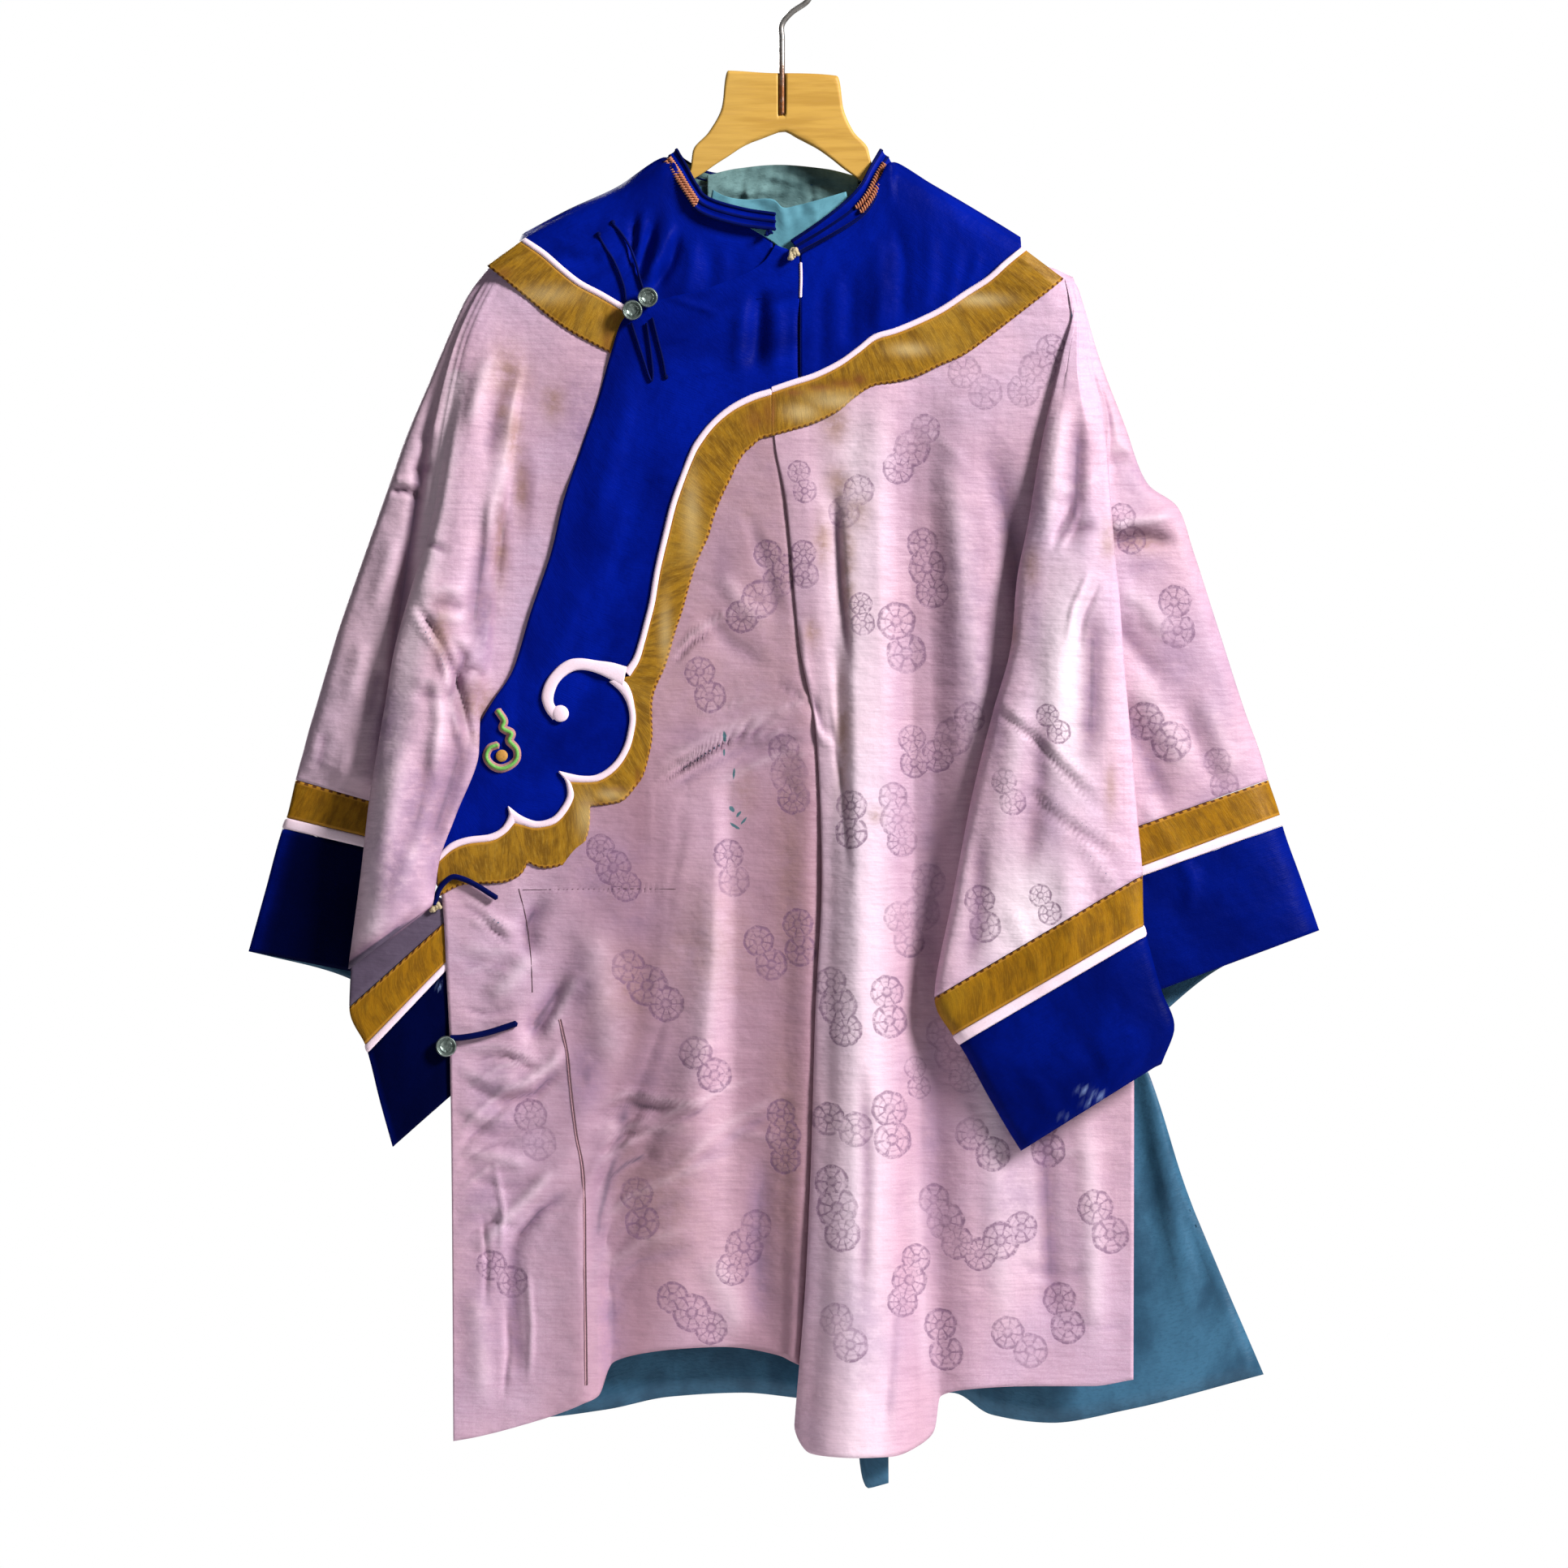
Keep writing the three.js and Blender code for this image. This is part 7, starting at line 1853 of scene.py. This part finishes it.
CLOUD_LINE = [[-218.2, -579.7], [-213.3, -587.5], [-214.5, -593.2], [-207.7, -597.3], [-209.2, -603],
              [-204, -609.1],
              [-203.5, -616.4], [-208.4, -621.8], [-215.8, -624.3], [-223.1, -621.3], [-226.8, -615.2],
              [-224.3, -608.6], [-218.2, -606.1]]


def embroidery(name, material, radius, lift, line, hides=()):
    joined(name, [tube(flat_path(-16.2 - lift, line), radius, steps=160, sides=8)],
           material, "embroidery", hides)


embroidery("cloud_outline", MAUVE, 3.6, -1.7, CLOUD_LINE)
embroidery("cloud_line", GREEN, 1.45, 1.5, CLOUD_LINE, ["cloud"])
joined("cloud_heart", [ball([-215, -16.6, -614.4], 4.6, (1, 0.34, 1), 12, 24)], AMBER, "embroidery")

# a dark line material for a real seam, and for painted shadow beside a seam or along a crease
SHADOW = plain("seam_line_and_shadow", (0.10, 0.05, 0.065), (0.05, 0.025, 0.035), (900, 900), 0.7)


def on_cloth(grid, path, lift):
    """A line of [x, z] laid on a cloth's face."""
    line = through(path, 90)
    flat = grid[..., [0, 2]].reshape(-1, 2)
    depth = grid[..., 1].ravel()
    y = [depth[np.argmin(((flat - point) ** 2).sum(1))] for point in line]
    y = np.convolve(np.pad(y, 3, mode="edge"), np.ones(7) / 7, "valid")
    return np.stack([line[:, 0], y - lift, line[:, 1]], -1)


def seam(name, grid, path, radius, material, slot, lift=0.5):
    line = on_cloth(grid, path, lift)
    joined(name, [tube(line, radius, steps=130, sides=6)], material, slot)


SEAM_EDGE = plain("seam_edge", (0.50, 0.28, 0.33), (0.22, 0.10, 0.13), (900, 900), 0.6)
OPEN_SEAM = [[-171, -816], [-165.5, -842], [-163, -867], [-158.7, -903], [-153, -938], [-152, -1009],
             [-151, -1095]]
# a dark tube beside the open seam: painted shadow
seam("open_seam_shade", front_right, [[x + 0.9, z] for x, z in OPEN_SEAM], 0.9, SHADOW, "lilac_silk", 0.3)
seam("open_seam_edge", front_right, OPEN_SEAM, 0.6, SEAM_EDGE, "lilac_silk", 0.7)
seam("side_seam", front_right, [[-202, -716], [-196.5, -739], [-193, -765], [-191.6, -795]], 0.4, SHADOW,
     "lilac_silk")
# a dark tube along the press crease's trough: painted shadow
seam("press_crease_shadow", front_right, [[-199, -717], [-160, -716.4], [-120, -716], [-82, -716.4]], 0.3, SHADOW,
     "lilac_silk")
seam("centre_slit", yoke_left, [[13.4, -238], [13.6, -250], [13.2, -264]], 1.1, PINK, "pink_piping", 0.6)
seam("centre_seam", yoke_left, [[13.2, -264], [13, -290], [13, -325]], 0.45, NAVY, "blue_satin", 0.4)

# ---------------------------------------------------------------- hanger and hook
SHANK_X = -1.0
HALF_WOOD = 5.5
# Upper and lower edge of the plank, tip to tip, with the front's depth below its face at the wire's groove.
PLANK = [
    ([-212, -245], [-210, -250], 0), ([-208, -237], [-196, -245], 0), ([-184, -219], [-170, -229], 0),
    ([-133, -193], [-124, -203.5], 0), ([-100, -182], [-92, -187], 0), ([-77, -176], [-74, -177.2], 0),
    ([-71, -166], [-62, -170], 0), ([-69, -152], [-52, -163], 0), ([-57, -138], [-42, -156.6], 0),
    ([-47, -119], [-32, -150], 0), ([-43, -92], [-24, -146], 0), ([-42, -91], [-20, -144.6], 0),
    ([-4.2, -93], [-4.2, -138.6], 0), ([-3.6, -93], [-3.6, -138.4], 4.2), ([1.6, -93], [1.6, -138], 4.2),
    ([2.2, -93], [2.2, -138.2], 0), ([41, -95], [12, -143.6], 0), ([42, -96], [16, -145.6], 0),
    ([46, -120], [26, -151], 0), ([54, -138], [36, -158], 0), ([64.5, -150], [46, -166], 0),
    ([67, -160], [54, -171.6], 0), ([70, -170], [62, -177.2], 0), ([77, -178], [74, -186], 0),
    ([100, -187], [94, -199.6], 0), ([133, -200], [126, -220], 0), ([184, -229], [170, -248], 0),
    ([208, -249], [198, -264], 0), ([212, -256], [208, -264], 0),
]


def plank():
    top, foot = np.array([p[0] for p in PLANK], float), np.array([p[1] for p in PLANK], float)
    run = running(top)
    fine = np.unique(np.concatenate([np.linspace(0, run[-1], 240), run]))
    top, foot = ease(run, top, fine), ease(run, foot, fine)
    dip = np.interp(fine, run, [p[2] for p in PLANK])
    bevel = 1.3
    columns = 20
    s = np.linspace(0, 1, columns)[None]
    height = np.linalg.norm(top - foot, axis=1)[:, None]
    flat = foot[:, None] * (1 - s[..., None]) + top[:, None] * s[..., None]
    near = np.minimum(s, 1 - s) * height
    round_edge = bevel - np.sqrt(np.clip(bevel**2 - np.clip(bevel - near, 0, bevel) ** 2, 0, None))
    groove = dip[:, None] * (flat[..., 1] > -126)
    front = np.stack([flat[..., 0], -HALF_WOOD + np.maximum(round_edge, groove), flat[..., 1]], -1)
    rear = np.stack([flat[..., 0], HALF_WOOD - round_edge, flat[..., 1]], -1)
    ring = np.concatenate([front, rear[:, ::-1]], axis=1)
    n = ring.shape[1]
    at, faces = round_faces(len(ring), n, True)
    caps = []
    for row, first in ((at[0], True), (at[-1], False)):
        for k in range(columns - 1):
            quad = [row[k], row[k + 1], row[n - 2 - k], row[n - 1 - k]]
            caps.append(quad if first else quad[::-1])
    return ring.reshape(-1, 3), np.concatenate([faces, np.array(caps)])


def timber(name):
    p = Paint(name, Roughness=0.5, Specular_IOR_Level=0.25, Coat_Weight=0.04, Coat_Roughness=0.4)
    place = p.place()
    grain = p.noise(p.stretch(place, 14, 60, 190), 1.0, 4.0, 0.6)
    pore = p.noise(p.stretch(place, 60, 300, 1500), 1.0, 2.0)
    cloud = p.noise(p.stretch(place, 9, 9, 9), 1.0, 2.0)
    colour = p.mix(p.span(grain, 0.35, 0.68), (0.63, 0.365, 0.072), (0.51, 0.28, 0.048))
    colour = p.mix(p.span(pore, 0.5, 0.78, 0.0, 0.3), colour, (0.55, 0.30, 0.10))
    colour = p.mix(p.span(cloud, 0.45, 0.75, 0.0, 0.3), colour, (0.64, 0.41, 0.11))
    return p.finish(colour, p.math("ADD", grain, p.math("MULTIPLY", pore, 0.5)), 0.2, 0.0004)


joined("hanger_plank", [plank()], timber("pale_beech"), "hanger_wood", ["hanger_wood"])

HOOK_R, WIRE_R = 24.2, 2.2
ring = [[HOOK_R * math.cos(math.radians(d)), 0, WIRE_R - HOOK_R + HOOK_R * math.sin(math.radians(d))]
        for d in (-48, -36, -24, -12, 0, 15, 30, 45, 60, 75, 90, 105, 120, 135, 150, 165, 180, 195)]
wire = [[SHANK_X, -4, -124], [SHANK_X, -4, -114], [SHANK_X, -4, -104], [SHANK_X, -4, -95],
        [SHANK_X, -3.8, -86],
        [SHANK_X, -2.6, -76], [SHANK_X, -1, -66], [SHANK_X, -0.1, -56], [6, 0, -47]] + ring
joined("hook", [tube(wire, WIRE_R, steps=300, sides=16)], HOOK, "hook_wire", ["hanger_hook"])

# ---------------------------------------------------------------- floor
floor_paint = Paint("floor", Roughness=0.9)
tone = floor_paint.noise(floor_paint.stretch(floor_paint.place(), 3, 3, 3), 1.0, 2.0)
floor_paint.finish(floor_paint.mix(tone, (0.86, 0.86, 0.86), (0.90, 0.90, 0.90)))
ground = bpy.data.meshes.new("ground")
FLOOR_X, FLOOR_NEAR, FLOOR_FAR, FLOOR_Z = 1.1, -0.7, 0.34, -1.30
ground.from_pydata([(-FLOOR_X, FLOOR_NEAR, FLOOR_Z), (FLOOR_X, FLOOR_NEAR, FLOOR_Z),
                    (FLOOR_X, FLOOR_FAR, FLOOR_Z),
                    (-FLOOR_X, FLOOR_FAR, FLOOR_Z)], [], [(0, 1, 2, 3)])
ground.materials.append(floor_paint.material)
ground = bpy.data.objects.new("ground", ground)
bpy.context.collection.objects.link(ground)

for name, cut in CUTS.items():
    print("cut", name, cut)
